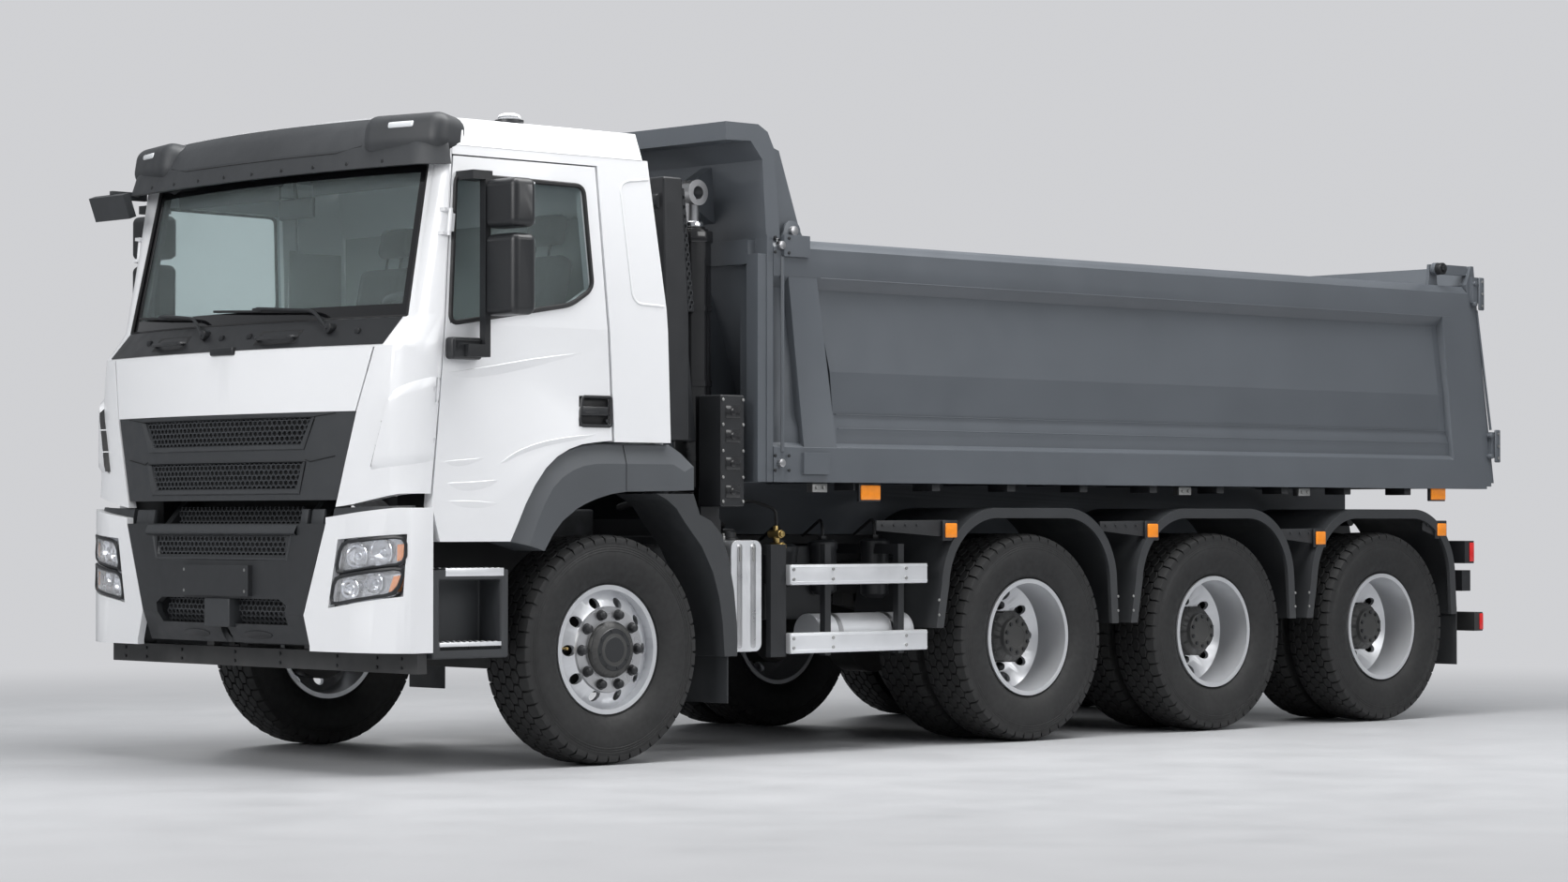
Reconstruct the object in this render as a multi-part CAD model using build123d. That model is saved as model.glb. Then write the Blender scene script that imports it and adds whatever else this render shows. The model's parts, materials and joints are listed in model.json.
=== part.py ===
"""Four-axle tipper truck: day cab, twin front hoists, steel load body, three twin-wheel rear axles.

Units are millimetres. +X is forward, +Y is the driver's side (left), +Z is up. The ground is z = 0
and the origin is under the middle of the truck's length and width.
"""
from build123d import *
import math
import os

os.makedirs("parts", exist_ok=True)

# ------------------------------------------------------------------ driving sizes
FRONT_OVERHANG = 1360.0      # front axle to the number plate's face
FIRST_WHEELBASE = 2800.0     # front axle to the first rear axle
BOGIE_STEP = 1450.0          # from one rear axle to the next
REAR_AXLES = 3
REAR_OVERHANG = 1040.0       # last axle to the tailgate's latches
TRUCK_LENGTH = FRONT_OVERHANG + FIRST_WHEELBASE + (REAR_AXLES - 1) * BOGIE_STEP + REAR_OVERHANG
FRONT_AXLE_X = TRUCK_LENGTH / 2 - FRONT_OVERHANG
REAR_AXLE_XS = [FRONT_AXLE_X - FIRST_WHEELBASE - i * BOGIE_STEP for i in range(REAR_AXLES)]
LAST_AXLE_X = REAR_AXLE_XS[-1]
BODY_HALF_WIDTH = 1250.0

RUNNING_FIT = 0.1            # radial clearance of a pin or shaft in its bore
SEAT_GAP = 0.3               # clearance between pieces that rest on one another
MOVING_GAP = 6.0             # clearance round a piece that moves

# tyres and rims
TYRE_RADIUS = 530.0
TYRE_BORE_RADIUS = 286.0
FLANGE_RADIUS = 298.0
RIM_WIDTH = 230.0
RIM_WALL = 10.0
FLANGE_WIDTH = 12.0
FRONT_TYRE_WIDTH = 300.0
REAR_TYRE_WIDTH = 285.0
FRONT_TYRE_Y = 1080.0
TWIN_MID_Y = 937.0           # the plane in which the two discs of a twin set meet
TWIN_SPACING = 325.0
AXLE_Z = TYRE_RADIUS
HAND_HOLES = 10
HAND_HOLE_RADIUS = 26.0
HAND_HOLE_CIRCLE = 222.0

# axles, hubs and steering
SPINDLE_RADIUS = 45.0
HUB_RADIUS = 130.0
DRUM_RADIUS = 200.0
KINGPIN_Y = 930.0
KINGPIN_RADIUS = 30.0
AXLE_TUBE_RADIUS = 80.0

# chassis rails
RAIL_TOP_Z = 1050.0
RAIL_HEIGHT = 300.0
RAIL_OUTER_Y = 430.0
RAIL_FLANGE = 85.0
RAIL_PLATE = 9.0
RAIL_FRONT_X = FRONT_AXLE_X + 1170.0
RAIL_REAR_X = LAST_AXLE_X - 760.0

# joint axes
CAB_PIVOT_X = FRONT_AXLE_X + 1235.0
CAB_PIVOT_Z = 1060.0
CAB_PIN_RADIUS = 30.0
BED_HINGE_X = LAST_AXLE_X - 600.0
BED_HINGE_Z = 1130.0
BED_PIN_RADIUS = 35.0
GATE_HINGE_X = LAST_AXLE_X - 520.0
GATE_HINGE_Z = 2573.0
GATE_PIN_RADIUS = 16.0
HOIST_X = FRONT_AXLE_X - 734.0
HOIST_Y = 950.0
HOIST_FOOT_Z = 1240.0
HOIST_EYE_Z = 2697.0
HOIST_PIN_RADIUS = 30.0

FOOT_HALF = 118.0            # from a hoist's middle to the outer face of its foot's cheek plates

# The barrel and the four nested stages of each hoist, shut.
# columns: node, outer radius, bottom z, top z
HOIST_TUBES = (
    ("hoist_barrels", 92.0, HOIST_FOOT_Z + 44.0, HOIST_FOOT_Z + 1270.0),
    ("hoist_stage_1", 78.0, HOIST_FOOT_Z + 66.0, HOIST_FOOT_Z + 1282.0),
    ("hoist_stage_2", 64.0, HOIST_FOOT_Z + 68.0, HOIST_FOOT_Z + 1294.0),
    ("hoist_stage_3", 50.0, HOIST_FOOT_Z + 70.0, HOIST_FOOT_Z + 1306.0),
    ("hoist_stage_4", 36.0, HOIST_FOOT_Z + 72.0, HOIST_EYE_Z - 40.0),
)


# ------------------------------------------------------------------ helpers
def front(offset):
    """X of a place given from the front axle."""
    return FRONT_AXLE_X + offset


def rear(offset):
    """X of a place given from the last axle."""
    return LAST_AXLE_X + offset


def block(x0, x1, y0, y1, z0, z1):
    """A box between two corners, given in any order."""
    size = (abs(x1 - x0), abs(y1 - y0), abs(z1 - z0))
    return Pos((x0 + x1) / 2, (y0 + y1) / 2, (z0 + z1) / 2) * Box(*size)


def side_prism(points, y0, y1, grow=0.0):
    """A prism across the truck from an outline of (x, z) points, grown all round or drawn in."""
    face = make_face(Plane.XZ * Polyline(*points, close=True))
    if grow:
        face = offset(face, amount=grow, kind=Kind.INTERSECTION)
    return Pos(0, y0, 0) * extrude(face, amount=y1 - y0, dir=(0, 1, 0))


def side_curve(points, y0, y1):
    """A prism across the truck from (x, z, bulge) corners; the edge to the next corner bulges out by that share."""
    edges = []
    for (ax, az, bulge), (bx, bz, _) in zip(points, points[1:] + points[:1]):
        if bulge:
            middle = ((ax + bx) / 2 - bulge * (bz - az), (az + bz) / 2 + bulge * (bx - ax))
            edges.append(ThreePointArc((ax, 0, az), (middle[0], 0, middle[1]), (bx, 0, bz)))
        else:
            edges.append(Line((ax, 0, az), (bx, 0, bz)))
    return Pos(0, y0, 0) * extrude(make_face(edges), amount=y1 - y0, dir=(0, 1, 0))


def long_prism(points, x0, x1):
    """A prism along the truck from an outline of (y, z) points."""
    face = make_face(Plane.YZ * Polyline(*points, close=True))
    return Pos(x0, 0, 0) * extrude(face, amount=x1 - x0, dir=(1, 0, 0))


def cross_rod(x, z, y0, y1, radius):
    """A round bar that lies across the truck."""
    return Pos(x, (y0 + y1) / 2, z) * Rot(90, 0, 0) * Cylinder(radius, abs(y1 - y0))


def post_rod(x, y, z0, z1, radius):
    """An upright round bar."""
    return Pos(x, y, (z0 + z1) / 2) * Cylinder(radius, abs(z1 - z0))


def turned(points, x, z):
    """A body of revolution about the cross axis at (x, z), from (y, radius) points."""
    face = make_face(Plane.XY * Polyline(*[(r, y) for y, r in points], close=True))
    return Pos(x, 0, z) * revolve(face, Axis.Y)


def other_side(solid):
    """The same piece on the other side of the truck."""
    return mirror(solid, about=Plane.XZ)


def pair(solid):
    """A piece and its mirror image."""
    return [solid, other_side(solid)]


def save(name, *solids):
    """Write one node."""
    pieces = []
    for solid in solids:
        pieces.extend(solid if isinstance(solid, list) else [solid])
    shapes = [s for piece in pieces for s in piece.solids()]
    export_step(shapes[0] if len(shapes) == 1 else Compound(children=shapes), f"parts/{name}.step")


# ------------------------------------------------------------------ wheels
def tyre(x, y_mid, width):
    """A tyre with flat tread, rounded shoulders and bulging walls."""
    half = width / 2
    tread_half = half - 28.0
    shoulder_drop = 22.0
    bead_half = RIM_WIDTH / 2 - FLANGE_WIDTH - SEAT_GAP
    bulge_radius = (TYRE_RADIUS + TYRE_BORE_RADIUS) / 2 + 10.0
    right = [(bead_half, TYRE_BORE_RADIUS), (bead_half, FLANGE_RADIUS + 4.0), (half - 12.0, FLANGE_RADIUS + 40.0),
             (half, bulge_radius), (half - 8.0, TYRE_RADIUS - 70.0), (half - 8.0, TYRE_RADIUS - shoulder_drop),
             (tread_half, TYRE_RADIUS)]
    outline = right + [(-y, r) for y, r in reversed(right)]
    return turned([(y_mid + y, r) for y, r in outline], x, AXLE_Z)


BARREL_BORE = TYRE_BORE_RADIUS - SEAT_GAP - RIM_WALL


def rim_barrel(y_mid):
    """(y, radius) points round the outside of one rim's barrel, from its inner edge to its outer one."""
    half = RIM_WIDTH / 2
    seat = TYRE_BORE_RADIUS - SEAT_GAP
    return [(y_mid - half, BARREL_BORE), (y_mid - half, FLANGE_RADIUS), (y_mid - half + FLANGE_WIDTH, FLANGE_RADIUS),
            (y_mid - half + FLANGE_WIDTH, seat), (y_mid + half - FLANGE_WIDTH, seat),
            (y_mid + half - FLANGE_WIDTH, FLANGE_RADIUS), (y_mid + half, FLANGE_RADIUS), (y_mid + half, BARREL_BORE)]


def hand_holes(x, y0, y1):
    """The round holes through a wheel disc."""
    holes = []
    for i in range(HAND_HOLES):
        angle = 2 * math.pi * (i + 0.5) / HAND_HOLES
        hole_x = x + HAND_HOLE_CIRCLE * math.sin(angle)
        hole_z = AXLE_Z + HAND_HOLE_CIRCLE * math.cos(angle)
        holes.append(cross_rod(hole_x, hole_z, y0, y1, HAND_HOLE_RADIUS))
    return holes


def front_wheel(x):
    """Front rim with its outward disc, and the hub bored for the spindle."""
    foot = FRONT_TYRE_Y + 40.0
    face = FRONT_TYRE_Y + 122.0
    hub_inner = FRONT_TYRE_Y - 60.0
    drum_end = hub_inner + 90.0
    outline = [(hub_inner, 0.0), (hub_inner, DRUM_RADIUS), (drum_end, DRUM_RADIUS), (drum_end, HUB_RADIUS),
               (face - 16.0, HUB_RADIUS), (face - 16.0, 168.0), (face - 26.0, 188.0), (foot, BARREL_BORE)]
    outline += rim_barrel(FRONT_TYRE_Y)
    outline += [(foot + 22.0, BARREL_BORE), (face - 10.0, 205.0), (face, 175.0), (face, HUB_RADIUS),
                (face + 20.0, HUB_RADIUS), (face + 40.0, 95.0), (face + 40.0, 0.0)]
    wheel = turned(outline, x, AXLE_Z)
    wheel -= hand_holes(x, foot - 30.0, face + 30.0)
    return wheel - cross_rod(x, AXLE_Z, hub_inner - 1.0, FRONT_TYRE_Y + 100.0, SPINDLE_RADIUS + RUNNING_FIT)


def twin_wheel(x):
    """Two dished rims back to back on one hub with its brake drum, bored for the axle end."""
    mid, plate, foot = TWIN_MID_Y, 16.0, 66.0
    drum_inner = mid - 240.0
    outline = [(drum_inner, 0.0), (drum_inner, DRUM_RADIUS - 20.0), (mid - plate, DRUM_RADIUS - 20.0),
               (mid - plate, 186.0), (mid - foot - 20.0, BARREL_BORE)]
    outline += rim_barrel(mid - TWIN_SPACING / 2)
    outline += [(mid - foot, BARREL_BORE), (mid, 192.0), (mid + foot, BARREL_BORE)]
    outline += rim_barrel(mid + TWIN_SPACING / 2)
    outline += [(mid + foot + 20.0, BARREL_BORE), (mid + plate, 186.0), (mid + plate, HUB_RADIUS),
                (mid + 150.0, HUB_RADIUS), (mid + 175.0, 95.0), (mid + 195.0, 95.0), (mid + 195.0, 0.0)]
    wheel = turned(outline, x, AXLE_Z)
    wheel -= hand_holes(x, mid - 100.0, mid + 100.0)
    return wheel - cross_rod(x, AXLE_Z, drum_inner - 1.0, mid + 120.0, SPINDLE_RADIUS + RUNNING_FIT)


def build_wheels():
    """Tyres and rims of the two front wheels and the six twin sets."""
    sides = (("left", lambda s: s), ("right", other_side))
    front_tyre = tyre(FRONT_AXLE_X, FRONT_TYRE_Y, FRONT_TYRE_WIDTH)
    front_rim = front_wheel(FRONT_AXLE_X)
    for side, place in sides:
        save(f"front_{side}_tyre", place(front_tyre))
        save(f"front_{side}_rim", place(front_rim))
    for number, axle_x in enumerate(REAR_AXLE_XS, start=2):
        tyres = [tyre(axle_x, TWIN_MID_Y + s * TWIN_SPACING / 2, REAR_TYRE_WIDTH) for s in (-1, 1)]
        rims = twin_wheel(axle_x)
        for side, place in sides:
            save(f"axle{number}_{side}_tyres", [place(t) for t in tyres])
            save(f"axle{number}_{side}_rims", place(rims))


# ------------------------------------------------------------------ running gear
KNUCKLE_ARM = 26.0           # thickness of the knuckle's two arms
BEAM_END_HALF = 60.0         # half height of the beam's end round the kingpin


def build_running_gear():
    """Front axle with its knuckles, three rear axles, springs and the engine."""
    spindle_out = FRONT_TYRE_Y + 95.0
    arm_y = KINGPIN_Y + 45.0
    for side, place in (("left", lambda s: s), ("right", other_side)):
        knuckle = post_rod(FRONT_AXLE_X, KINGPIN_Y, AXLE_Z - BEAM_END_HALF - 40.0, AXLE_Z + BEAM_END_HALF + 40.0,
                           KINGPIN_RADIUS)
        for low in (-BEAM_END_HALF - SEAT_GAP - KNUCKLE_ARM, BEAM_END_HALF + SEAT_GAP):
            knuckle += post_rod(FRONT_AXLE_X, KINGPIN_Y, AXLE_Z + low, AXLE_Z + low + KNUCKLE_ARM, 48.0)
            knuckle += block(FRONT_AXLE_X - 48, FRONT_AXLE_X + 48, KINGPIN_Y, arm_y + 30.0, AXLE_Z + low,
                             AXLE_Z + low + KNUCKLE_ARM)
        knuckle += cross_rod(FRONT_AXLE_X, AXLE_Z, arm_y + 5.0, arm_y + 30.0, 95.0)
        knuckle += cross_rod(FRONT_AXLE_X, AXLE_Z, arm_y + 5.0, spindle_out, SPINDLE_RADIUS)
        save(f"knuckle_{side}", place(knuckle))

    beam_x = (FRONT_AXLE_X - 50, FRONT_AXLE_X + 50)
    beam = long_prism([(-KINGPIN_Y + 60, AXLE_Z - 50), (-640, AXLE_Z - 110), (640, AXLE_Z - 110),
                       (KINGPIN_Y - 60, AXLE_Z - 50), (KINGPIN_Y - 60, AXLE_Z + 50), (700, AXLE_Z + 50),
                       (600, AXLE_Z - 10), (-600, AXLE_Z - 10), (-700, AXLE_Z + 50),
                       (-KINGPIN_Y + 60, AXLE_Z + 50)], *beam_x)
    for sign in (-1, 1):
        beam += block(*beam_x, sign * (KINGPIN_Y - 100), sign * (KINGPIN_Y - 20), AXLE_Z - BEAM_END_HALF,
                      AXLE_Z + BEAM_END_HALF)
        beam += post_rod(FRONT_AXLE_X, sign * KINGPIN_Y, AXLE_Z - BEAM_END_HALF, AXLE_Z + BEAM_END_HALF, 50.0)
    for sign in (-1, 1):
        beam -= post_rod(FRONT_AXLE_X, sign * KINGPIN_Y, AXLE_Z - 80, AXLE_Z + 80, KINGPIN_RADIUS + RUNNING_FIT)
    axles = [beam]
    for axle_x in REAR_AXLE_XS:
        tube_end = TWIN_MID_Y - 260.0
        axle = cross_rod(axle_x, AXLE_Z, -tube_end, tube_end, AXLE_TUBE_RADIUS)
        axle += cross_rod(axle_x, AXLE_Z, -(TWIN_MID_Y + 110.0), TWIN_MID_Y + 110.0, SPINDLE_RADIUS)
        axle += turned([(-150, 0), (-150, 120), (-90, 210), (90, 210), (150, 120), (150, 0)], axle_x, AXLE_Z)
        axles.append(axle)
    save("axles", axles)

    save("leaf_springs", *[pair(s) for s in spring_packs()])
    engine = block(front(-650), front(980), -320, 320, 545, 1180) + block(front(-1500), front(-649), -190, 190, 560, 900)
    shelf = RAIL_TOP_Z - RAIL_HEIGHT + RAIL_PLATE + SEAT_GAP
    for x in (-300, 600):
        engine += block(front(x - 60), front(x + 60), -RAIL_OUTER_Y + 30, RAIL_OUTER_Y - 30, shelf, shelf + 45)
    save("engine", engine)


SPRING_HALF = 38.0           # half the width of a leaf


def spring_packs():
    """Stepped leaf packs on the left; each hangs from two rail brackets and sits on its axle."""
    packs = []
    mid_y = RAIL_OUTER_Y - SPRING_HALF - 4.0
    rows = [(FRONT_AXLE_X, AXLE_Z - 10.0 + SEAT_GAP, 700.0)]
    rows += [(x, AXLE_Z + AXLE_TUBE_RADIUS + SEAT_GAP, 560.0) for x in REAR_AXLE_XS]
    # columns: axle x, seat height, half length of the main leaf
    for axle_x, seat_z, half in rows:
        pack = side_prism([(axle_x - half * 0.35, seat_z), (axle_x + half * 0.35, seat_z),
                           (axle_x + half * 0.7, seat_z + 45), (axle_x + half, seat_z + 80),
                           (axle_x + half, seat_z + 100), (axle_x - half, seat_z + 100),
                           (axle_x - half, seat_z + 80), (axle_x - half * 0.7, seat_z + 45)],
                          mid_y - SPRING_HALF, mid_y + SPRING_HALF)
        for end in (-1, 1):
            x = axle_x + end * (half - 40)
            pack += block(x - 40, x + 40, mid_y - SPRING_HALF, mid_y + SPRING_HALF, seat_z + 90,
                          RAIL_TOP_Z - RAIL_HEIGHT - SEAT_GAP)
        packs.append(pack)
    return packs


# ------------------------------------------------------------------ chassis
COUPLING_STEP_Y = 160.0      # bolt pattern of a trailer coupling
COUPLING_STEP_Z = 100.0
COUPLING_HOLE_RADIUS = 10.5
COUPLING_Z = RAIL_TOP_Z - 170.0


def build_frame():
    """Rails and cross members with the cab pivot, hoist beam and bed hinge."""
    low = RAIL_TOP_Z - RAIL_HEIGHT
    inner = RAIL_OUTER_Y - RAIL_FLANGE
    channel = [(RAIL_OUTER_Y, low), (RAIL_OUTER_Y, RAIL_TOP_Z), (inner, RAIL_TOP_Z), (inner, RAIL_TOP_Z - RAIL_PLATE),
               (RAIL_OUTER_Y - RAIL_PLATE, RAIL_TOP_Z - RAIL_PLATE), (RAIL_OUTER_Y - RAIL_PLATE, low + RAIL_PLATE),
               (inner, low + RAIL_PLATE), (inner, low)]
    rail = long_prism(channel, RAIL_REAR_X, RAIL_FRONT_X)
    frame = rail + other_side(rail)
    web = RAIL_OUTER_Y - RAIL_PLATE + 1.0
    for x in (RAIL_FRONT_X - 60, front(-1700), REAR_AXLE_XS[0] + 725, REAR_AXLE_XS[0] - 725,
              REAR_AXLE_XS[1] - 725, RAIL_REAR_X + 60):
        frame += block(x - 50, x + 50, -web, web, low + 40, RAIL_TOP_Z - 40)
    # cab pivot tube on two cheek plates
    frame += cross_rod(CAB_PIVOT_X, CAB_PIVOT_Z, -600, 600, CAB_PIN_RADIUS)
    cheek = side_prism([(RAIL_FRONT_X - 180, low + 20), (RAIL_FRONT_X, low + 20), (CAB_PIVOT_X + 36, CAB_PIVOT_Z - 60),
                        (CAB_PIVOT_X + 36, CAB_PIVOT_Z + 36), (CAB_PIVOT_X - 40, CAB_PIVOT_Z + 36),
                        (RAIL_FRONT_X - 180, RAIL_TOP_Z - 20)], RAIL_OUTER_Y - 1.0, RAIL_OUTER_Y + 24.0)
    frame += cheek
    frame += other_side(cheek)
    # beam that carries the hoist feet, with a cheek plate on each side of a foot
    beam_top = HOIST_FOOT_Z - 110.0
    frame += block(HOIST_X - 80, HOIST_X + 50, -HOIST_Y - FOOT_HALF, HOIST_Y + FOOT_HALF, RAIL_TOP_Z - 12, beam_top)
    for sign in (-1, 1):
        for side in (-1, 1):
            inner = sign * HOIST_Y + side * (HOIST_TUBES[0][1] + MOVING_GAP)
            outer = sign * HOIST_Y + side * FOOT_HALF
            frame += block(HOIST_X - 70, HOIST_X + 48, inner, outer, beam_top - 1, HOIST_FOOT_Z + 34)
        frame += cross_rod(HOIST_X, HOIST_FOOT_Z, sign * HOIST_Y - FOOT_HALF, sign * HOIST_Y + FOOT_HALF, HOIST_PIN_RADIUS)
    # drilled plate for a trailer coupling under the rear cross member
    plate = block(RAIL_REAR_X - 12, RAIL_REAR_X + 11, -130, 130, RAIL_TOP_Z - 290, RAIL_TOP_Z - 50)
    for y in (-COUPLING_STEP_Y / 2, COUPLING_STEP_Y / 2):
        for z in (-COUPLING_STEP_Z / 2, COUPLING_STEP_Z / 2):
            hole = Pos(RAIL_REAR_X, y, COUPLING_Z + z) * Rot(0, 90, 0) * Cylinder(COUPLING_HOLE_RADIUS, 240)
            plate -= hole
            frame -= hole
    frame += plate
    # bed hinge tube on two uprights
    frame += cross_rod(BED_HINGE_X, BED_HINGE_Z, -520, 520, BED_PIN_RADIUS)
    upright = side_prism([(BED_HINGE_X - 140, RAIL_TOP_Z - 220), (BED_HINGE_X + 140, RAIL_TOP_Z - 220),
                          (BED_HINGE_X + 55, BED_HINGE_Z + 45), (BED_HINGE_X - 55, BED_HINGE_Z + 45)],
                         RAIL_OUTER_Y - 1.0, RAIL_OUTER_Y + 22.0)
    frame += upright
    frame += other_side(upright)
    save("chassis_frame", frame)


GUARD_TOP_Z = 1190.0
GUARD_LOW_Z = 590.0


def arch_outline(axle_x, inset):
    """(x, z, bulge) corners round a rear mudguard, drawn in by the inset but open at the bottom."""
    low = GUARD_LOW_Z - (1.0 if inset else 0.0)
    return [(axle_x - 655 + inset, low, 0.0), (axle_x - 640 + inset, 830, 0.19), (axle_x - 275, GUARD_TOP_Z - inset, 0.0),
            (axle_x + 275, GUARD_TOP_Z - inset, 0.19), (axle_x + 660 - inset, 810, 0.0), (axle_x + 700 - inset, low, 0.0)]


def build_chassis_units():
    """Tanks, boxes, guards, mudguards, steps and the rear beam."""
    web_y = RAIL_OUTER_Y + SEAT_GAP
    # aluminium tanks just behind the front wheels
    tank = block(front(-966), front(-770), web_y + 30, 1190, 500, 1030)
    tank = fillet(tank.edges().filter_by(Axis.Y), 40) + block(front(-920), front(-816), web_y, web_y + 40, 700, 980)
    # battery box and air tanks behind the side guards
    cells = block(front(-1640), front(-1200), web_y, 960, 640, 1000)
    reservoir = Pos(front(-1700), 1070, 575) * Rot(0, 90, 0) * Cylinder(95, 640)
    reservoir += block(front(-1520), front(-1480), 900, 1070, 600, 640 - SEAT_GAP)
    save("tanks", pair(tank), pair(reservoir))
    valve_box = block(HOIST_X - 85, HOIST_X + 65, HOIST_Y + FOOT_HALF + SEAT_GAP, 1230, 1190, 1721)
    save("chassis_boxes", pair(cells), pair(valve_box))
    # side guards
    guard_rows = ((486, 583), (816, 916))      # columns: bottom z, top z of a rail
    guard = None
    for z0, z1 in guard_rows:
        rail = block(front(-2040), front(-1112), 1205, 1240, z0, z1)
        guard = rail if guard is None else guard + rail
    for x0, x1 in ((-1112, -1012), (-1410, -1370), (-1910, -1870)):
        guard += block(front(x0), front(x1), 1170, 1206, 470, 1010)
    for x in (-1062, -1890):
        guard += block(front(x - 20), front(x + 20), web_y, 1175, 960, 1010)
    save("side_guards", pair(guard))
    # rear mudguards: one rounded arch of plate over each twin set, with a lip down its outer edge
    guards = []
    plate, lip = 8.0, 52.0
    for axle_x in REAR_AXLE_XS:
        outer = arch_outline(axle_x, 0.0)
        arch = side_curve(outer, 640, 1245) - side_curve(arch_outline(axle_x, plate), 600, 1300)
        arch += side_curve(outer, 1225, 1245) - side_curve(arch_outline(axle_x, lip), 1200, 1300)
        arch += block(axle_x - 30, axle_x + 30, web_y, 645, 1110, GUARD_TOP_Z - plate + 1)
        arch += block(axle_x - 30, axle_x + 30, web_y, web_y + 30, 960, 1120)
        if axle_x == LAST_AXLE_X:
            arch += block(axle_x - 661, axle_x - 655, 650, 1240, 300, GUARD_LOW_Z + 40)
        guards += pair(arch)
    save("rear_mudguards", guards)
    # fender halves and flaps behind the front wheels
    fender = side_prism([(front(-256), 1250), (front(-488), 1250), (front(-528), 1152), (front(-600), 1122), (front(-667), 1060),
                         (front(-712), 940), (front(-745), 793), (front(-763), 640), (front(-766), 482), (front(-684), 482),
                         (front(-672), 640), (front(-650), 760), (front(-610), 880), (front(-540), 1000), (front(-436), 1112),
                         (front(-380), 1180), (front(-320), 1222)], 935, 1240)
    flap = block(front(-712), front(-706), 935, 1235, 260, 520)
    stay = block(front(-650), front(-620), web_y, 940, 1010, 1050)
    save("front_mudguards", pair(fender + flap + stay))
    # steps below the doors
    step = block(front(625), front(1050), 935, 1238, 510, 905)
    step -= block(front(665), front(1010), 1080, 1300, 575, 860)
    stay = block(front(700), front(780), web_y, 936, 780, 860)
    save("cab_steps", pair(step + stay))
    # rear beam and lamps
    beam = block(rear(-963), rear(-883), -1200, 1200, 487, 596)
    for sign in (-1, 1):
        beam += block(rear(-900), rear(-860), sign * 380, sign * 460, 590, RAIL_TOP_Z - 30)
        beam += block(rear(-870), RAIL_REAR_X - SEAT_GAP, sign * 380, sign * 460, 800, RAIL_TOP_Z - 30)
    lamp = block(rear(-845), rear(-760), 780, 1225, 880, 1010) + block(rear(-845), rear(-765), 960, 1200, 720, 840)
    lamp += block(rear(-790), rear(-765), 960, 1000, 830, 890)
    arm = block(rear(-830), rear(-800), 460 + SEAT_GAP, 781, 920, 970)
    return beam, pair(lamp + arm)


# ------------------------------------------------------------------ cab front surfaces
# Plan sections of the cab's nose, bottom to top.
# columns: z, side half width, x where the side begins, corner (x, y), x on the centre line
NOSE = (
    (1185.0, 1245.0, 1000.0, (1225.0, 1150.0), 1335.0),
    (1610.0, 1245.0, 960.0, (1222.0, 1140.0), 1340.0),
    (1900.0, 1243.0, 930.0, (1205.0, 1135.0), 1310.0),
    (2035.0, 1240.0, 900.0, (1084.0, 1128.0), 1205.0),
    (2840.0, 1195.0, 780.0, (918.0, 1095.0), 1042.0),
)


CORNER_BULGE = 0.17          # of the chord of a corner's arc


def nose_section(row, inset):
    """A closed plan section of the nose, moved in by the inset."""
    z, half, side_x, (corner_x, corner_y), mid_x = row
    side_y = half - inset
    start_x, back = front(door_edge_x(z) + HINGE_LEAD), front(side_x - 300)
    cx, cy = front(corner_x - inset), corner_y - inset * 0.7
    bend = ((start_x + cx) / 2 + CORNER_BULGE * (side_y - cy), (side_y + cy) / 2 + CORNER_BULGE * (cx - start_x))
    outline = [Line((back, -side_y), (start_x, -side_y)),
               ThreePointArc((start_x, -side_y), (bend[0], -bend[1]), (cx, -cy)),
               ThreePointArc((cx, -cy), (front(mid_x - inset), 0), (cx, cy)),
               ThreePointArc((cx, cy), bend, (start_x, side_y)),
               Line((start_x, side_y), (back, side_y)), Line((back, side_y), (back, -side_y))]
    return Pos(0, 0, z) * make_face(outline)


def nose_solid(inset):
    """The filled nose, moved in by the inset."""
    body = None
    for low, high in zip(NOSE, NOSE[1:]):
        part = loft([nose_section(low, inset), nose_section(high, inset)], ruled=True)
        body = part if body is None else body + part
    return body


def nose_skin(outer_inset, inner_inset):
    """The shell between two insets."""
    return nose_solid(outer_inset) - nose_solid(inner_inset)


DOOR_FRONT_LOW = (1067.0, 1190.0)        # x from the front axle, z
DOOR_FRONT_HIGH = (930.0, 2640.0)
DOOR_TOP_Z = 2750.0
DOOR_SLOPE = (DOOR_FRONT_LOW[0] - DOOR_FRONT_HIGH[0]) / (DOOR_FRONT_HIGH[1] - DOOR_FRONT_LOW[1])
DOOR_THICKNESS = 60.0
DOOR_GAP = 7.0
ARCH_TOP_Z = 1478.0
LID_TOP_Z = 1893.0
LID_LOW_Z = 1215.0
LID_GAP = 9.0
LID_AXIS_X = 1312.0          # from the front axle
LID_AXIS_Z = 1900.0
LID_PIN_RADIUS = 4.0
LID_KNUCKLE_RADIUS = 9.0
LID_KNUCKLE_HALF = 60.0
SCREEN_LOW_Z = 2035.0
SCREEN_TOP_Z = 2735.0
HALF_AT_BELT = 1245.0
HALF_AT_TOP = 1200.0
BELT_Z = 2000.0
EAVE_Z = 2800.0


DOOR_AXIS_Y = HALF_AT_BELT - 9.0
KNUCKLE_RADIUS = 11.0
KNUCKLE_HALF = 45.0
HINGE_PIN_RADIUS = 5.0
HINGE_HEIGHTS = (1700.0, 2450.0)
HINGE_LEAD = 8.0             # from the door's edge line forward to the hinge axis


def wall_lean(z):
    """How far the wall has leaned in at a height."""
    return (HALF_AT_BELT - HALF_AT_TOP) / (EAVE_Z - BELT_Z) * max(0.0, z - BELT_Z)


def hinge_at(z):
    """The left door's hinge axis at a height, leaning back with the door's edge."""
    return Pos(front(door_edge_x(z) + HINGE_LEAD), DOOR_AXIS_Y, z) * Rot(0, -math.degrees(math.atan(DOOR_SLOPE)), 0)


def door_edge_x(z):
    """X of the door's front edge at a height, from the front axle."""
    return DOOR_FRONT_LOW[0] - DOOR_SLOPE * (z - DOOR_FRONT_LOW[1])


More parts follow.
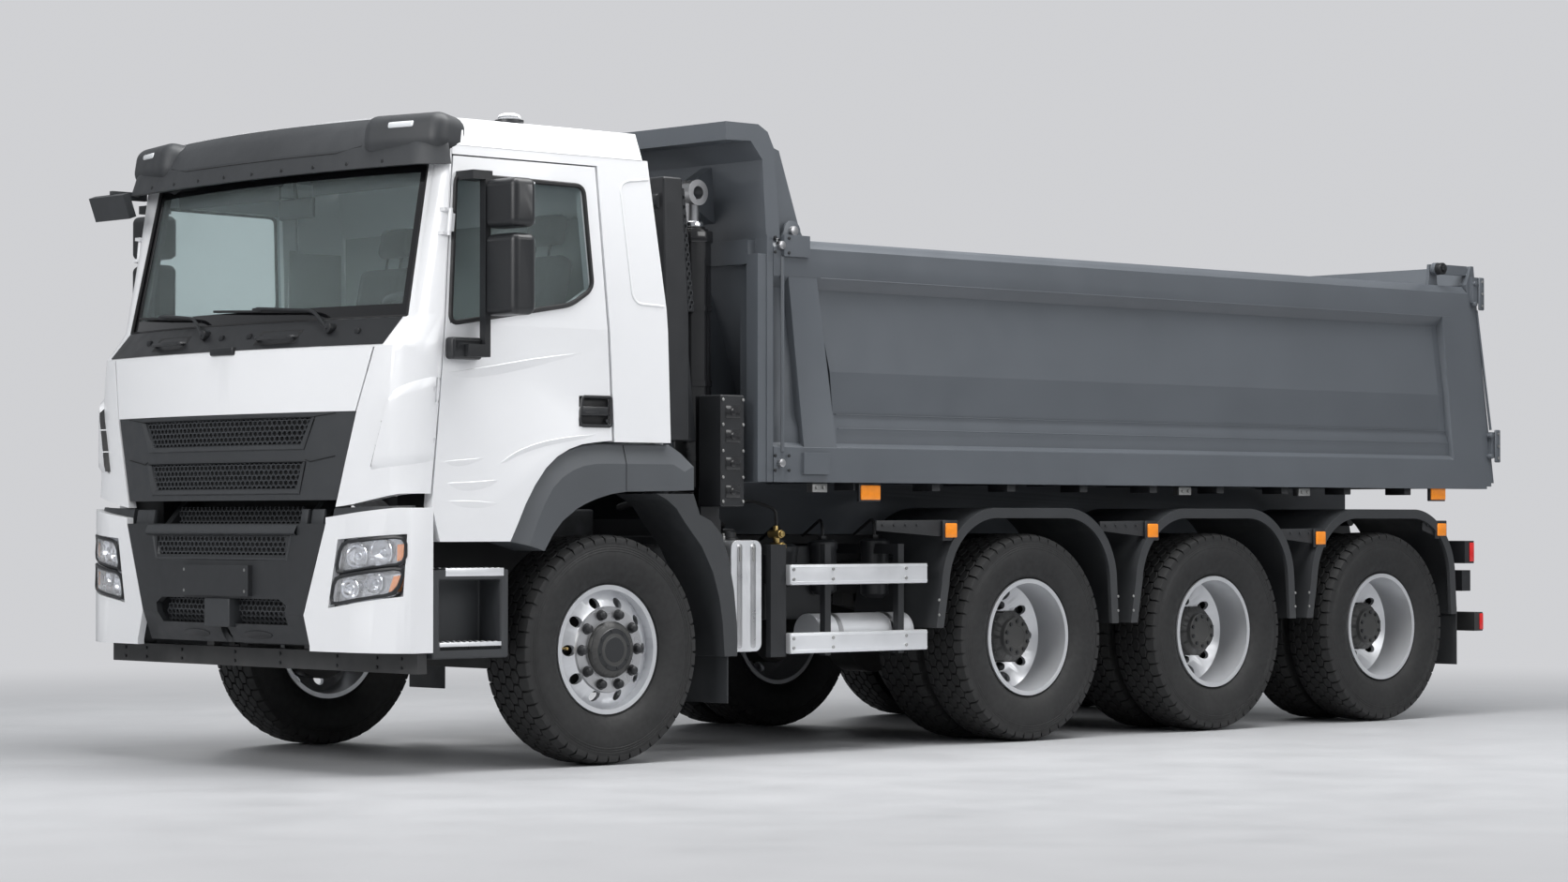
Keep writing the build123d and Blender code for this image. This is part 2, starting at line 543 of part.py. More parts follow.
def wall_band(inset, thickness, x0, x1, z0=900.0, z1=EAVE_Z):
    """The left wall's section, upright to the belt and leaning in above it."""
    top_y = HALF_AT_BELT - wall_lean(z1)
    outer = [(HALF_AT_BELT - inset, z0), (HALF_AT_BELT - inset, BELT_Z), (top_y - inset, z1)]
    inner = [(y - thickness, z) for y, z in reversed(outer)]
    return long_prism(outer + inner, x0, x1)


WINDOW = [(front(903), 2667), (front(164), 2658), (front(130), 2187), (front(263), 2108), (front(962), 1998)]


# The curve of the front wheel arch, which the door's lower edge follows.
# columns: x from the front axle, z
ARCH_LINE = ((597.0, 1034.0), (562.0, 1112.0), (523.0, 1190.0), (468.0, 1277.0), (404.0, 1355.0), (338.0, 1408.0),
             (265.0, 1444.0), (190.0, 1466.0), (111.0, 1476.0))


def door_outline(g=0.0):
    """The door's (x, z) corners, drawn in by a gap."""
    arch = [(front(x + g), z + g) for x, z in ARCH_LINE]
    return [(front(1015), 1030), (front(617), 1030), *arch[1:], (front(12 + g), 1492),
            (front(82 + g), DOOR_TOP_Z), (front(door_edge_x(DOOR_TOP_Z) - g), DOOR_TOP_Z),
            (front(DOOR_FRONT_LOW[0] - g), DOOR_FRONT_LOW[1])]


def lid_outline(z0, z1, grow):
    """(y, z) corners of a stretch of the nose lid, whose sides taper towards the bottom."""
    def half(z):
        return 828.0 + (1030.0 - 828.0) * (z - LID_LOW_Z) / (LID_TOP_Z - LID_LOW_Z)
    return [(-half(z0) - grow, z0), (half(z0) + grow, z0), (half(z1) + grow, z1), (-half(z1) - grow, z1)]


# columns: slot bottom, slot top, half width at the bottom, half width at the top
GRILLE_SLOTS = ((1470.0, 1584.0, 590.0, 660.0), (1270.0, 1384.0, 560.0, 600.0))
GRILLE_BARS = 14


SCREEN = [(-1100.0, SCREEN_LOW_Z), (1100.0, SCREEN_LOW_Z), (1068.0, SCREEN_TOP_Z), (-1068.0, SCREEN_TOP_Z)]


def build_cab_shell():
    """Nose frame, screen, lid, roof, side walls, rear wall and floor."""
    skin = nose_skin(0.0, 40.0)
    door_cut = side_prism([(front(door_edge_x(1000)), 1000), (front(door_edge_x(2900)), 2900), (front(300), 2900),
                           (front(300), 1000)], -1300, 1300)
    nose = skin - door_cut
    nose -= long_prism(lid_outline(LID_LOW_Z - 200, LID_TOP_Z, LID_GAP), front(700), front(1500))
    nose -= nose_solid(6.0) & long_prism(lid_outline(LID_TOP_Z - 100, LID_TOP_Z, 34.0), front(1000), front(1500))
    nose -= long_prism(SCREEN, front(600), front(1500))
    lid_axis_x = front(LID_AXIS_X)
    nose -= cross_rod(lid_axis_x, LID_AXIS_Z, -LID_KNUCKLE_HALF - 2, LID_KNUCKLE_HALF + 2, LID_KNUCKLE_RADIUS + MOVING_GAP)
    nose += cross_rod(lid_axis_x, LID_AXIS_Z, -LID_KNUCKLE_HALF - 16, LID_KNUCKLE_HALF + 16, LID_PIN_RADIUS)
    for end in (-1, 1):
        nose += block(lid_axis_x - 24, lid_axis_x + 6, end * (LID_KNUCKLE_HALF + 4), end * (LID_KNUCKLE_HALF + 16),
                      LID_AXIS_Z - LID_PIN_RADIUS, LID_AXIS_Z + 14)
    for z in HINGE_HEIGHTS:
        nose -= hinge_at(z) * Cylinder(KNUCKLE_RADIUS + MOVING_GAP, 2 * KNUCKLE_HALF + 20)
        nose -= other_side(hinge_at(z) * Cylinder(KNUCKLE_RADIUS + MOVING_GAP, 2 * KNUCKLE_HALF + 20))
        lean = wall_lean(z)
        hinge = hinge_at(z) * Cylinder(HINGE_PIN_RADIUS, 2 * KNUCKLE_HALF + 30)
        for end in (-1, 1):
            ear = hinge_at(z) * Pos(0, 0, end * (KNUCKLE_HALF + SEAT_GAP + 8)) * Cylinder(KNUCKLE_RADIUS - 2, 16)
            ear += hinge_at(z) * Pos(16, -8 - lean / 2, end * (KNUCKLE_HALF + SEAT_GAP + 8)) * Box(34, 14 + lean, 16)
            hinge += ear
        nose += hinge
        nose += other_side(hinge)
    nose -= block(front(600), front(1300), -1300, 1300, EAVE_Z - SEAT_GAP, 3000)
    save("cab_front", nose)

    glass = nose_skin(14.0, 24.0) & long_prism(SCREEN, front(600), front(1500))
    save("windscreen", glass)
    hood_low = 1610.0
    hood = nose_skin(0.0, 34.0) & long_prism(lid_outline(hood_low, LID_TOP_Z, 0), front(900), front(1500))
    hood += cross_rod(lid_axis_x, LID_AXIS_Z, -LID_KNUCKLE_HALF, LID_KNUCKLE_HALF, LID_KNUCKLE_RADIUS)
    hood += block(lid_axis_x - 12, lid_axis_x - 2, -LID_KNUCKLE_HALF, LID_KNUCKLE_HALF, LID_TOP_Z - 12, LID_AXIS_Z)
    hood -= cross_rod(lid_axis_x, LID_AXIS_Z, -100, 100, LID_PIN_RADIUS + RUNNING_FIT)
    # the upper corners are thin, so that they swing clear of the frame
    hood -= (nose_solid(6.0) & long_prism(lid_outline(LID_TOP_Z - 110, LID_TOP_Z, 1.0), front(1000), front(1500))) - long_prism(
        lid_outline(LID_TOP_Z - 111, LID_TOP_Z + 1, -40.0), front(900), front(1500))
    save("hood_panel", hood)
    grille = nose_skin(4.0, 34.0) & long_prism(lid_outline(LID_LOW_Z, hood_low - SEAT_GAP, 0), front(900), front(1500))
    bars = None
    for z0, z1, half_low, half_top in GRILLE_SLOTS:
        slot = [(-half_low, z0), (half_low, z0), (half_top, z1), (-half_top, z1)]
        surround = [(-half_low - 30, z0 - 26), (half_low + 30, z0 - 26), (half_top + 34, z1 + 4), (-half_top - 34, z1 + 4)]
        grille -= long_prism(surround, front(1000), front(1500)) - nose_solid(14.0)
        grille -= long_prism(slot, front(1000), front(1500))
        mesh = nose_skin(24.0, 30.0) & long_prism(slot, front(1000), front(1500))
        pitch = 2 * half_low / GRILLE_BARS
        for i in range(GRILLE_BARS):
            y = -half_low + (i + 0.5) * pitch
            mesh -= block(front(1000), front(1500), y - pitch * 0.36, y + pitch * 0.36, z0 + 8, (z0 + z1) / 2 - 5)
            mesh -= block(front(1000), front(1500), y - pitch * 0.36, y + pitch * 0.36, (z0 + z1) / 2 + 5, z1 - 8)
        bars = mesh if bars is None else bars + mesh
    save("grille", grille + bars)

    cowl = nose_skin(-6.0, -SEAT_GAP) & long_prism([(-1085, 1905), (1085, 1905), (1085, SCREEN_LOW_Z - 6),
                                              (-1085, SCREEN_LOW_Z - 6)], front(900), front(1500))
    cowl -= block(front(1250), front(1400), -LID_KNUCKLE_HALF - 22, LID_KNUCKLE_HALF + 22, 1900, LID_AXIS_Z + 20)
    save("cowl", cowl)

    # roof: crowned across, with a thick rim
    roof_edge = 1150.0
    z_edge, z_mid, roof_wall = 2875.0, 2962.0, 45.0
    lip = 50.0
    arc_top = ((-roof_edge, z_edge), (0, z_mid), (roof_edge, z_edge))
    arc_under = ((roof_edge - lip, z_edge - roof_wall), (0, z_mid - roof_wall), (-roof_edge + lip, z_edge - roof_wall))
    rim_left = ((roof_edge, z_edge), (HALF_AT_TOP + 2, EAVE_Z), (HALF_AT_TOP - lip, EAVE_Z), arc_under[0])
    rim_right = (arc_under[2], (-HALF_AT_TOP + lip, EAVE_Z), (-HALF_AT_TOP - 2, EAVE_Z), arc_top[0])
    edges = [ThreePointArc(*[(0, y, z) for y, z in arc]) for arc in (arc_top, arc_under)]
    edges += [Line((0, *a), (0, *b)) for rim in (rim_left, rim_right) for a, b in zip(rim, rim[1:])]
    face = make_face(edges)
    roof = Pos(front(-200), 0, 0) * extrude(face, amount=1150, dir=(1, 0, 0))
    header = nose_solid(46.0) & long_prism([(-1140, SCREEN_TOP_Z + 20), (1140, SCREEN_TOP_Z + 20), (1140, EAVE_Z), (-1140, EAVE_Z)],
                                           front(860), front(1200))
    header += block(front(850), front(950), -1120, 1120, EAVE_Z, z_edge - 20)
    header += nose_solid(0.0) & block(front(850), front(1200), -1300, 1300, EAVE_Z, EAVE_Z + 40)
    roof += post_rod(front(300), 838, 2880, 2992, 52) + post_rod(front(300), 838, 2990, 3010, 30)
    save("cab_roof", roof + header)

    # side walls behind and over the doors
    wall = side_prism([(front(4), ARCH_TOP_Z + 8), (front(-340), ARCH_TOP_Z + 8), (front(-318), 2110), (front(-232), EAVE_Z),
                       (front(door_edge_x(EAVE_Z)), EAVE_Z), (front(door_edge_x(DOOR_TOP_Z + DOOR_GAP)), DOOR_TOP_Z + DOOR_GAP),
                       (front(75), DOOR_TOP_Z + DOOR_GAP)], 900, 1300)
    wall &= wall_band(0.0, DOOR_THICKNESS, front(-400), front(1100), z1=EAVE_Z - SEAT_GAP)
    rear_outline = [(front(-345), 1300), (front(-345), 1500), (front(-322), 2110), (front(-232), EAVE_Z - SEAT_GAP),
                    (front(-182), EAVE_Z - SEAT_GAP), (front(-272), 2110), (front(-295), 1500), (front(-295), 1300)]
    rear_wall = side_prism(rear_outline, -1190, 1190)
    rear_wall -= side_prism([(front(-400), 1200), (front(-200), 1200), (front(-200), ARCH_TOP_Z + 8), (front(-400), ARCH_TOP_Z + 8)],
                            1184, 1300)
    rear_wall -= side_prism([(front(-400), 1200), (front(-200), 1200), (front(-200), ARCH_TOP_Z + 8), (front(-400), ARCH_TOP_Z + 8)],
                            -1300, -1184)
    save("cab_rear_shell", rear_wall + wall + other_side(wall))
    stack = side_prism([(front(-400), 1500), (front(-400), 2090), (front(-385), 2745), (front(-505), 2745),
                        (front(-550), 2090), (front(-555), 1500)], 960, 1140)
    for z0, z1 in ((1540, 1620), (2600, 2660)):
        stack += block(front(-420), front(-300), 1000, 1100, z0, z1) & side_prism(
            [(front(-420), 1300), (front(-420), 2700), (front(-245), 2700), (front(-325), 2110), (front(-340), 1500)], 900, 1200)
    stack -= side_prism(rear_outline, 900, 1200, grow=SEAT_GAP)
    save("air_intake", stack)

    # floor with step wells, firewall and the arms that reach the pivot tube
    floor = block(front(-294.7), front(1060), -1179, 1179, 1300, 1360)
    floor += block(front(1030), front(1060), -1100, 1100, 1359, 1905)
    for sign in (-1, 1):
        well = block(front(620), front(1014), sign * 930, sign * 1179, 1036, 1301)
        well -= block(front(640), front(994), sign * 960, sign * 1300, 1060, 1301)
        floor -= block(front(640), front(994), sign * 960, sign * 1184, 1290, 1361)
        floor += well
        arm = side_prism([(CAB_PIVOT_X - 30, CAB_PIVOT_Z + 26), (CAB_PIVOT_X + 30, CAB_PIVOT_Z + 26), (front(1060), 1310),
                          (front(940), 1310)], sign * 530, sign * 575)
        arm += cross_rod(CAB_PIVOT_X, CAB_PIVOT_Z, sign * 530, sign * 575, 42)
        floor += arm
        floor -= cross_rod(CAB_PIVOT_X, CAB_PIVOT_Z, sign * 500, sign * 610, CAB_PIN_RADIUS + RUNNING_FIT)
    save("cab_floor", floor)
    arch = side_prism([(front(418), 987), *[(front(x), z) for x, z in ARCH_LINE], (front(-357), ARCH_TOP_Z),
                       (front(-430), 1440), (front(-484), 1381), (front(-496), 1267), (front(-68), 1258), (front(28), 1245),
                       (front(124), 1220), (front(224), 1180), (front(313), 1122), (front(370), 1060)],
                      1020, HALF_AT_BELT)
    arch -= block(front(-600), front(700), 900, 1184 + SEAT_GAP, 1300 - SEAT_GAP, 1500)
    save("wheel_arches", pair(arch))


# ------------------------------------------------------------------ doors
def build_doors():
    """Each door with its hinge knuckles, its glass and its mirrors."""
    door = side_prism(door_outline(DOOR_GAP), 900, 1300) & wall_band(0.0, DOOR_THICKNESS - 0.6, front(-100), front(1200))
    door -= side_prism(WINDOW, 900, 1300)
    door -= block(front(22), front(218), HALF_AT_BELT - 26, HALF_AT_BELT + 20, 1553, 1695)
    door += block(front(70), front(214), HALF_AT_BELT - 12, HALF_AT_BELT - 1, 1608, 1644)
    door += block(front(190), front(214), HALF_AT_BELT - 27, HALF_AT_BELT - 1, 1608, 1644)
    door += block(front(70), front(90), HALF_AT_BELT - 27, HALF_AT_BELT - 1, 1608, 1644)
    for z in HINGE_HEIGHTS:
        lean = wall_lean(z)
        door += hinge_at(z) * Cylinder(KNUCKLE_RADIUS, 2 * KNUCKLE_HALF)
        door += hinge_at(z) * Pos(-13, -5.5, 0) * Box(26, 11, 2 * KNUCKLE_HALF - 10)
        door += hinge_at(z) * Pos(-20, -6 - lean / 2, 0) * Box(12, 12 + lean, 2 * KNUCKLE_HALF - 10)
        door -= hinge_at(z) * Cylinder(HINGE_PIN_RADIUS + RUNNING_FIT, 2 * KNUCKLE_HALF + 10)
    glass = side_prism(WINDOW, 900, 1300, grow=-SEAT_GAP) & wall_band(24.0, 6.0, front(-100), front(1200))
    near, far = HALF_AT_BELT + 50.0, HALF_AT_BELT + 280.0
    upper = fillet(block(front(690), front(822), near, far, 2424, 2642).edges(), 34)
    lower = fillet(block(front(690), front(822), near, far, 2034, 2396).edges(), 34)
    spine = block(front(800), front(830), near - 5, near + 35, 1900, 2660)
    top_arm = block(front(790), front(900), HALF_AT_TOP + 5, near + 35, 2640, 2680)
    low_arm = block(front(800), front(925), HALF_AT_BELT + 1, near + 35, 1850, 1905)
    low_box = fillet(block(front(824), front(994), HALF_AT_BELT + 1, HALF_AT_BELT + 62, 1838, 1936).edges(), 16)
    mirrors = upper + lower + spine + top_arm + low_arm + low_box
    mirrors -= wall_band(-SEAT_GAP, DOOR_THICKNESS + 200.0, front(-100), front(1200))
    mirrors -= nose_solid(-MOVING_GAP) & block(front(930), front(1300), 0, 1300, 1700, 2100)
    for side, place in (("left", lambda s: s), ("right", other_side)):
        save(f"door_{side}", place(door))
        save(f"door_{side}_glass", place(glass))
        save(f"door_{side}_mirrors", place(mirrors))


# Plan sections of the sun visor, bottom to top.
# columns: z, half width, x where the side begins, corner (x, y), x on the centre line
VISOR = (
    (2708.0, 1240.0, 900.0, (1078.0, 1085.0), 1162.0),
    (2800.0, 1228.0, 890.0, (1052.0, 1060.0), 1140.0),
    (2895.0, 1150.0, 870.0, (1008.0, 985.0), 1096.0),
    (2945.0, 1020.0, 850.0, (950.0, 880.0), 1046.0),
)


def visor_section(row, inset):
    """A closed plan section of the visor, moved in by the inset."""
    z, half, side_x, (corner_x, corner_y), mid_x = row
    start, side_y = front(side_x), half - inset
    cx, cy = front(corner_x - inset), corner_y - inset * 0.7
    bend = ((start + cx) / 2 + 0.22 * (side_y - cy), (side_y + cy) / 2 + 0.22 * (cx - start))
    back = front(side_x - 60)
    outline = [Line((back, -side_y), (start, -side_y)), ThreePointArc((start, -side_y), (bend[0], -bend[1]), (cx, -cy)),
               ThreePointArc((cx, -cy), (front(mid_x - inset), 0), (cx, cy)), ThreePointArc((cx, cy), bend, (start, side_y)),
               Line((start, side_y), (back, side_y)), Line((back, side_y), (back, -side_y))]
    return Pos(0, 0, z) * make_face(outline)


def build_cab_fittings():
    """Visor, front mirror, seats, dashboard and steering wheel."""
    shells = []
    for inset in (0.0, 32.0):
        body = None
        for low, high in zip(VISOR, VISOR[1:]):
            part = loft([visor_section(low, inset), visor_section(high, inset)], ruled=True)
            body = part if body is None else body + part
        shells.append(body)
    visor = shells[0] - (shells[1] & block(front(0), front(1400), -1400, 1400, 2600, VISOR[-1][0] - 26))
    visor -= nose_solid(-SEAT_GAP)
    visor -= block(front(500), front(950) + SEAT_GAP, -1300, 1300, 2600, 3000)
    mirror_arm = block(front(960), front(1160), -1190, -1165, 2690, 2730)
    front_mirror = Pos(front(1150), -1180, 2650) * Rot(0, 20, 0) * Box(40, 300, 120)
    save("sun_visor", visor + mirror_arm + front_mirror)

    seats = []
    for y in (-600, 600):
        seat = block(front(-160), front(360), y - 250, y + 250, 1560, 1700)
        seat += side_prism([(front(-160), 1690), (front(-20), 1690), (front(-110), 2360), (front(-230), 2360)], y - 240, y + 240)
        seat += side_prism([(front(-160), 2350), (front(-130), 2350), (front(-130), 2400), (front(-160), 2400)], y - 60, y + 60)
        seat += side_prism([(front(-190), 2390), (front(-100), 2390), (front(-110), 2560), (front(-190), 2560)], y - 150, y + 150)
        seat += block(front(-60), front(260), y - 180, y + 180, 1360 + SEAT_GAP, 1561)
        seats.append(seat)
    save("seats", seats)
    dash = side_prism([(front(1030) - SEAT_GAP, 1560), (front(1030) - SEAT_GAP, 1990), (front(900), 1990), (front(740), 1930), (front(700), 1780),
                       (front(820), 1560)], -1080, 1080)
    tilt = 52.0
    wheel_at = Pos(front(590), 600, 2010) * Rot(0, -90 + tilt, 0)
    wheel = wheel_at * Torus(225, 16)
    wheel += wheel_at * Cylinder(60, 30)
    for angle in (0, 120, 240):
        wheel += wheel_at * Rot(0, 0, angle + 90) * Pos(112, 0, 0) * Box(220, 30, 14)
    wheel += wheel_at * Pos(0, 0, -110) * Cylinder(30, 220)
    save("dashboard", dash + wheel)


# ------------------------------------------------------------------ bumper
def bumper_section(z, inset):
    """Plan section of the bumper's outer form."""
    half = BODY_HALF_WIDTH - inset
    corner_x, corner_y, mid_x = 1300.0 - inset, 930.0 - inset * 0.5, 1338.0 - inset
    start = (front(1180), half)
    bend = (front(1262 - inset * 0.9), 1130 - inset * 0.8)
    back = front(900)
    outline = [Line((back, -half), (start[0], -half)),
               ThreePointArc((start[0], -half), (bend[0], -bend[1]), (front(corner_x), -corner_y)),
               ThreePointArc((front(corner_x), -corner_y), (front(mid_x), 0), (front(corner_x), corner_y)),
               ThreePointArc((front(corner_x), corner_y), bend, start),
               Line(start, (back, half)), Line((back, half), (back, -half))]
    return Pos(0, 0, z) * make_face(outline)


def bumper_solid(inset):
    """The filled bumper form, moved in by the inset."""
    return loft([bumper_section(540, inset), bumper_section(1150, inset)], ruled=True)


def cone_bowl(y, z, radius):
    """The hollow of a lamp's bowl, square to the bumper's corner."""
    turn = math.degrees(math.atan2(y - 700, 900))
    return Pos(front(1318 - (y - 900) * 0.28), y, z) * Rot(0, 0, turn) * Rot(0, 90, 0) * Cone(radius * 0.4, radius, 50)


def bumper_skin(z0, z1, outer_inset, inner_inset):
    """A stretch of the bumper shell."""
    outer = loft([bumper_section(z0, outer_inset), bumper_section(z1, outer_inset)], ruled=True)
    inner = loft([bumper_section(z0, inner_inset), bumper_section(z1, inner_inset)], ruled=True)
    return outer - inner


TOW_PIN_RADIUS = 20.0
TOW_PIN_X = front(1280.0)
CHIN_LOW_Z = 565.0
CHIN_HALF = 684.0


def build_bumper(rear_beam, tail_lamps):
    """Bumper centre, its two corners with lamps, and the beams under both ends."""
    centre_half_low, centre_half_top = 640.0, 792.0
    centre = bumper_skin(700, 1110, 0.0, 30.0) & long_prism([(-centre_half_low, 700), (centre_half_low, 700), (centre_half_top, 1110),
                                                           (-centre_half_top, 1110)], front(1100), front(1400))
    chin = loft([bumper_section(CHIN_LOW_Z, 75.0), bumper_section(701, 0.0)], ruled=True)
    chin -= loft([bumper_section(CHIN_LOW_Z, 100.0), bumper_section(701, 30.0)], ruled=True)
    centre += chin & long_prism([(-CHIN_HALF, CHIN_LOW_Z), (CHIN_HALF, CHIN_LOW_Z), (centre_half_low, 701), (-centre_half_low, 701)],
                                front(1100), front(1400))
    centre -= long_prism([(-500, 652), (500, 652), (520, 740), (470, 768), (-470, 768), (-520, 740)], front(1100), front(1400))
    for z0, z1, half in ((968, 1052, 516),):      # columns: slot bottom, top, half width
        centre -= block(front(1100), front(1400), -half, half, z0, z1)
        centre += bumper_skin(z0 - 1, z1 + 1, 18.0, 25.0) & block(front(1100), front(1400), -half - 1, half + 1, z0 - 1, z1 + 1)
    centre += block(front(1315), front(1360), -272, 272, 780, 921)
    centre -= post_rod(TOW_PIN_X, 0, 500, 700, TOW_PIN_RADIUS + 14.0)
    jaw = block(front(1180), front(1330), -98, 98, 640, 800)
    jaw -= block(front(1230), front(1400), -110, 110, 690, 738)
    jaw -= post_rod(TOW_PIN_X, 0, 500, 900, TOW_PIN_RADIUS)
    centre += jaw
    for sign in (-1, 1):
        centre += block(RAIL_FRONT_X + SEAT_GAP, front(1310), sign * (RAIL_OUTER_Y - 30), sign * (RAIL_OUTER_Y - 2), 800, 960)
    corner = bumper_skin(540, 1150, 0.0, 35.0)
    corner -= block(front(700), front(1056), -1300, 1300, 400, 1300)
    seam = 5.0
    seam_line = [(CHIN_HALF + seam, 400), (CHIN_HALF + seam, CHIN_LOW_Z), (centre_half_low + seam, 700), (centre_half_top + seam, 1110),
                 (centre_half_top + seam, 1300)]
    corner -= long_prism(seam_line + [(-y, z) for y, z in reversed(seam_line)], front(900), front(1500))
    lamp_zone = long_prism([(815, 735), (1225, 790), (1238, 1065), (880, 1040)], front(1130), front(1400))
    corner_l = corner & block(front(1000), front(1500), 0, 1300, 500, 1200)
    lamp = bumper_skin(540, 1150, 4.0, 60.0) & lamp_zone
    lamp -= long_prism([(800, 872), (1260, 925), (1260, 937), (800, 884)], front(1000), front(1400)) - bumper_solid(16.0)
    for y, z, r in ((985, 985, 58), (1110, 990, 54), (945, 815, 44), (1075, 835, 44)):      # columns: y, z, bowl radius
        lamp -= cone_bowl(y, z, r)
    corner_l -= lamp_zone
    corner_l += block(front(1060), front(1100), RAIL_OUTER_Y + 24 + SEAT_GAP, 1216, 800, 860)
    save("bumper", centre, pair(corner_l))
    beam = block(front(1060), front(1115), -1212, 1212, 446, 536)
    for sign in (-1, 1):
        beam += block(front(1060), front(1110), sign * 360, sign * 420, 530, RAIL_TOP_Z - RAIL_HEIGHT - SEAT_GAP)
    save("underrun_beams", beam, rear_beam)
    save("lamps", pair(lamp), tail_lamps)


# ------------------------------------------------------------------ load body
BED_FRONT_X = front(-950)
BED_REAR_X = rear(-920)
BED_LOW_Z = 1310.0
BED_FLOOR_Z = 1345.0
BED_FLOOR_TOP_Z = 1400.0
BED_RAIL_TOP_Z = 2479.0
BED_SHEET_Y = 1200.0
BED_WALL = 40.0


def gate_line(z):
    """X of the rear posts' back edge, from the last axle."""
    return -749.0 - 0.161 * (2508.0 - z)


# A slanting recess in the headboard lets each hoist lean back as the body tips.
RECESS_INNER_Y = HOIST_Y - 106.0
RECESS_OUTER_Y = HOIST_Y + 106.0
RECESS_PLATE = 14.0
RECESS_TOP_Z = 2330.0
RECESS_SLOPE = 0.35


def recess_x(z):
    """X of a recess's slanting face at a height."""
    return front(-892.0) - RECESS_SLOPE * (2400.0 - z)


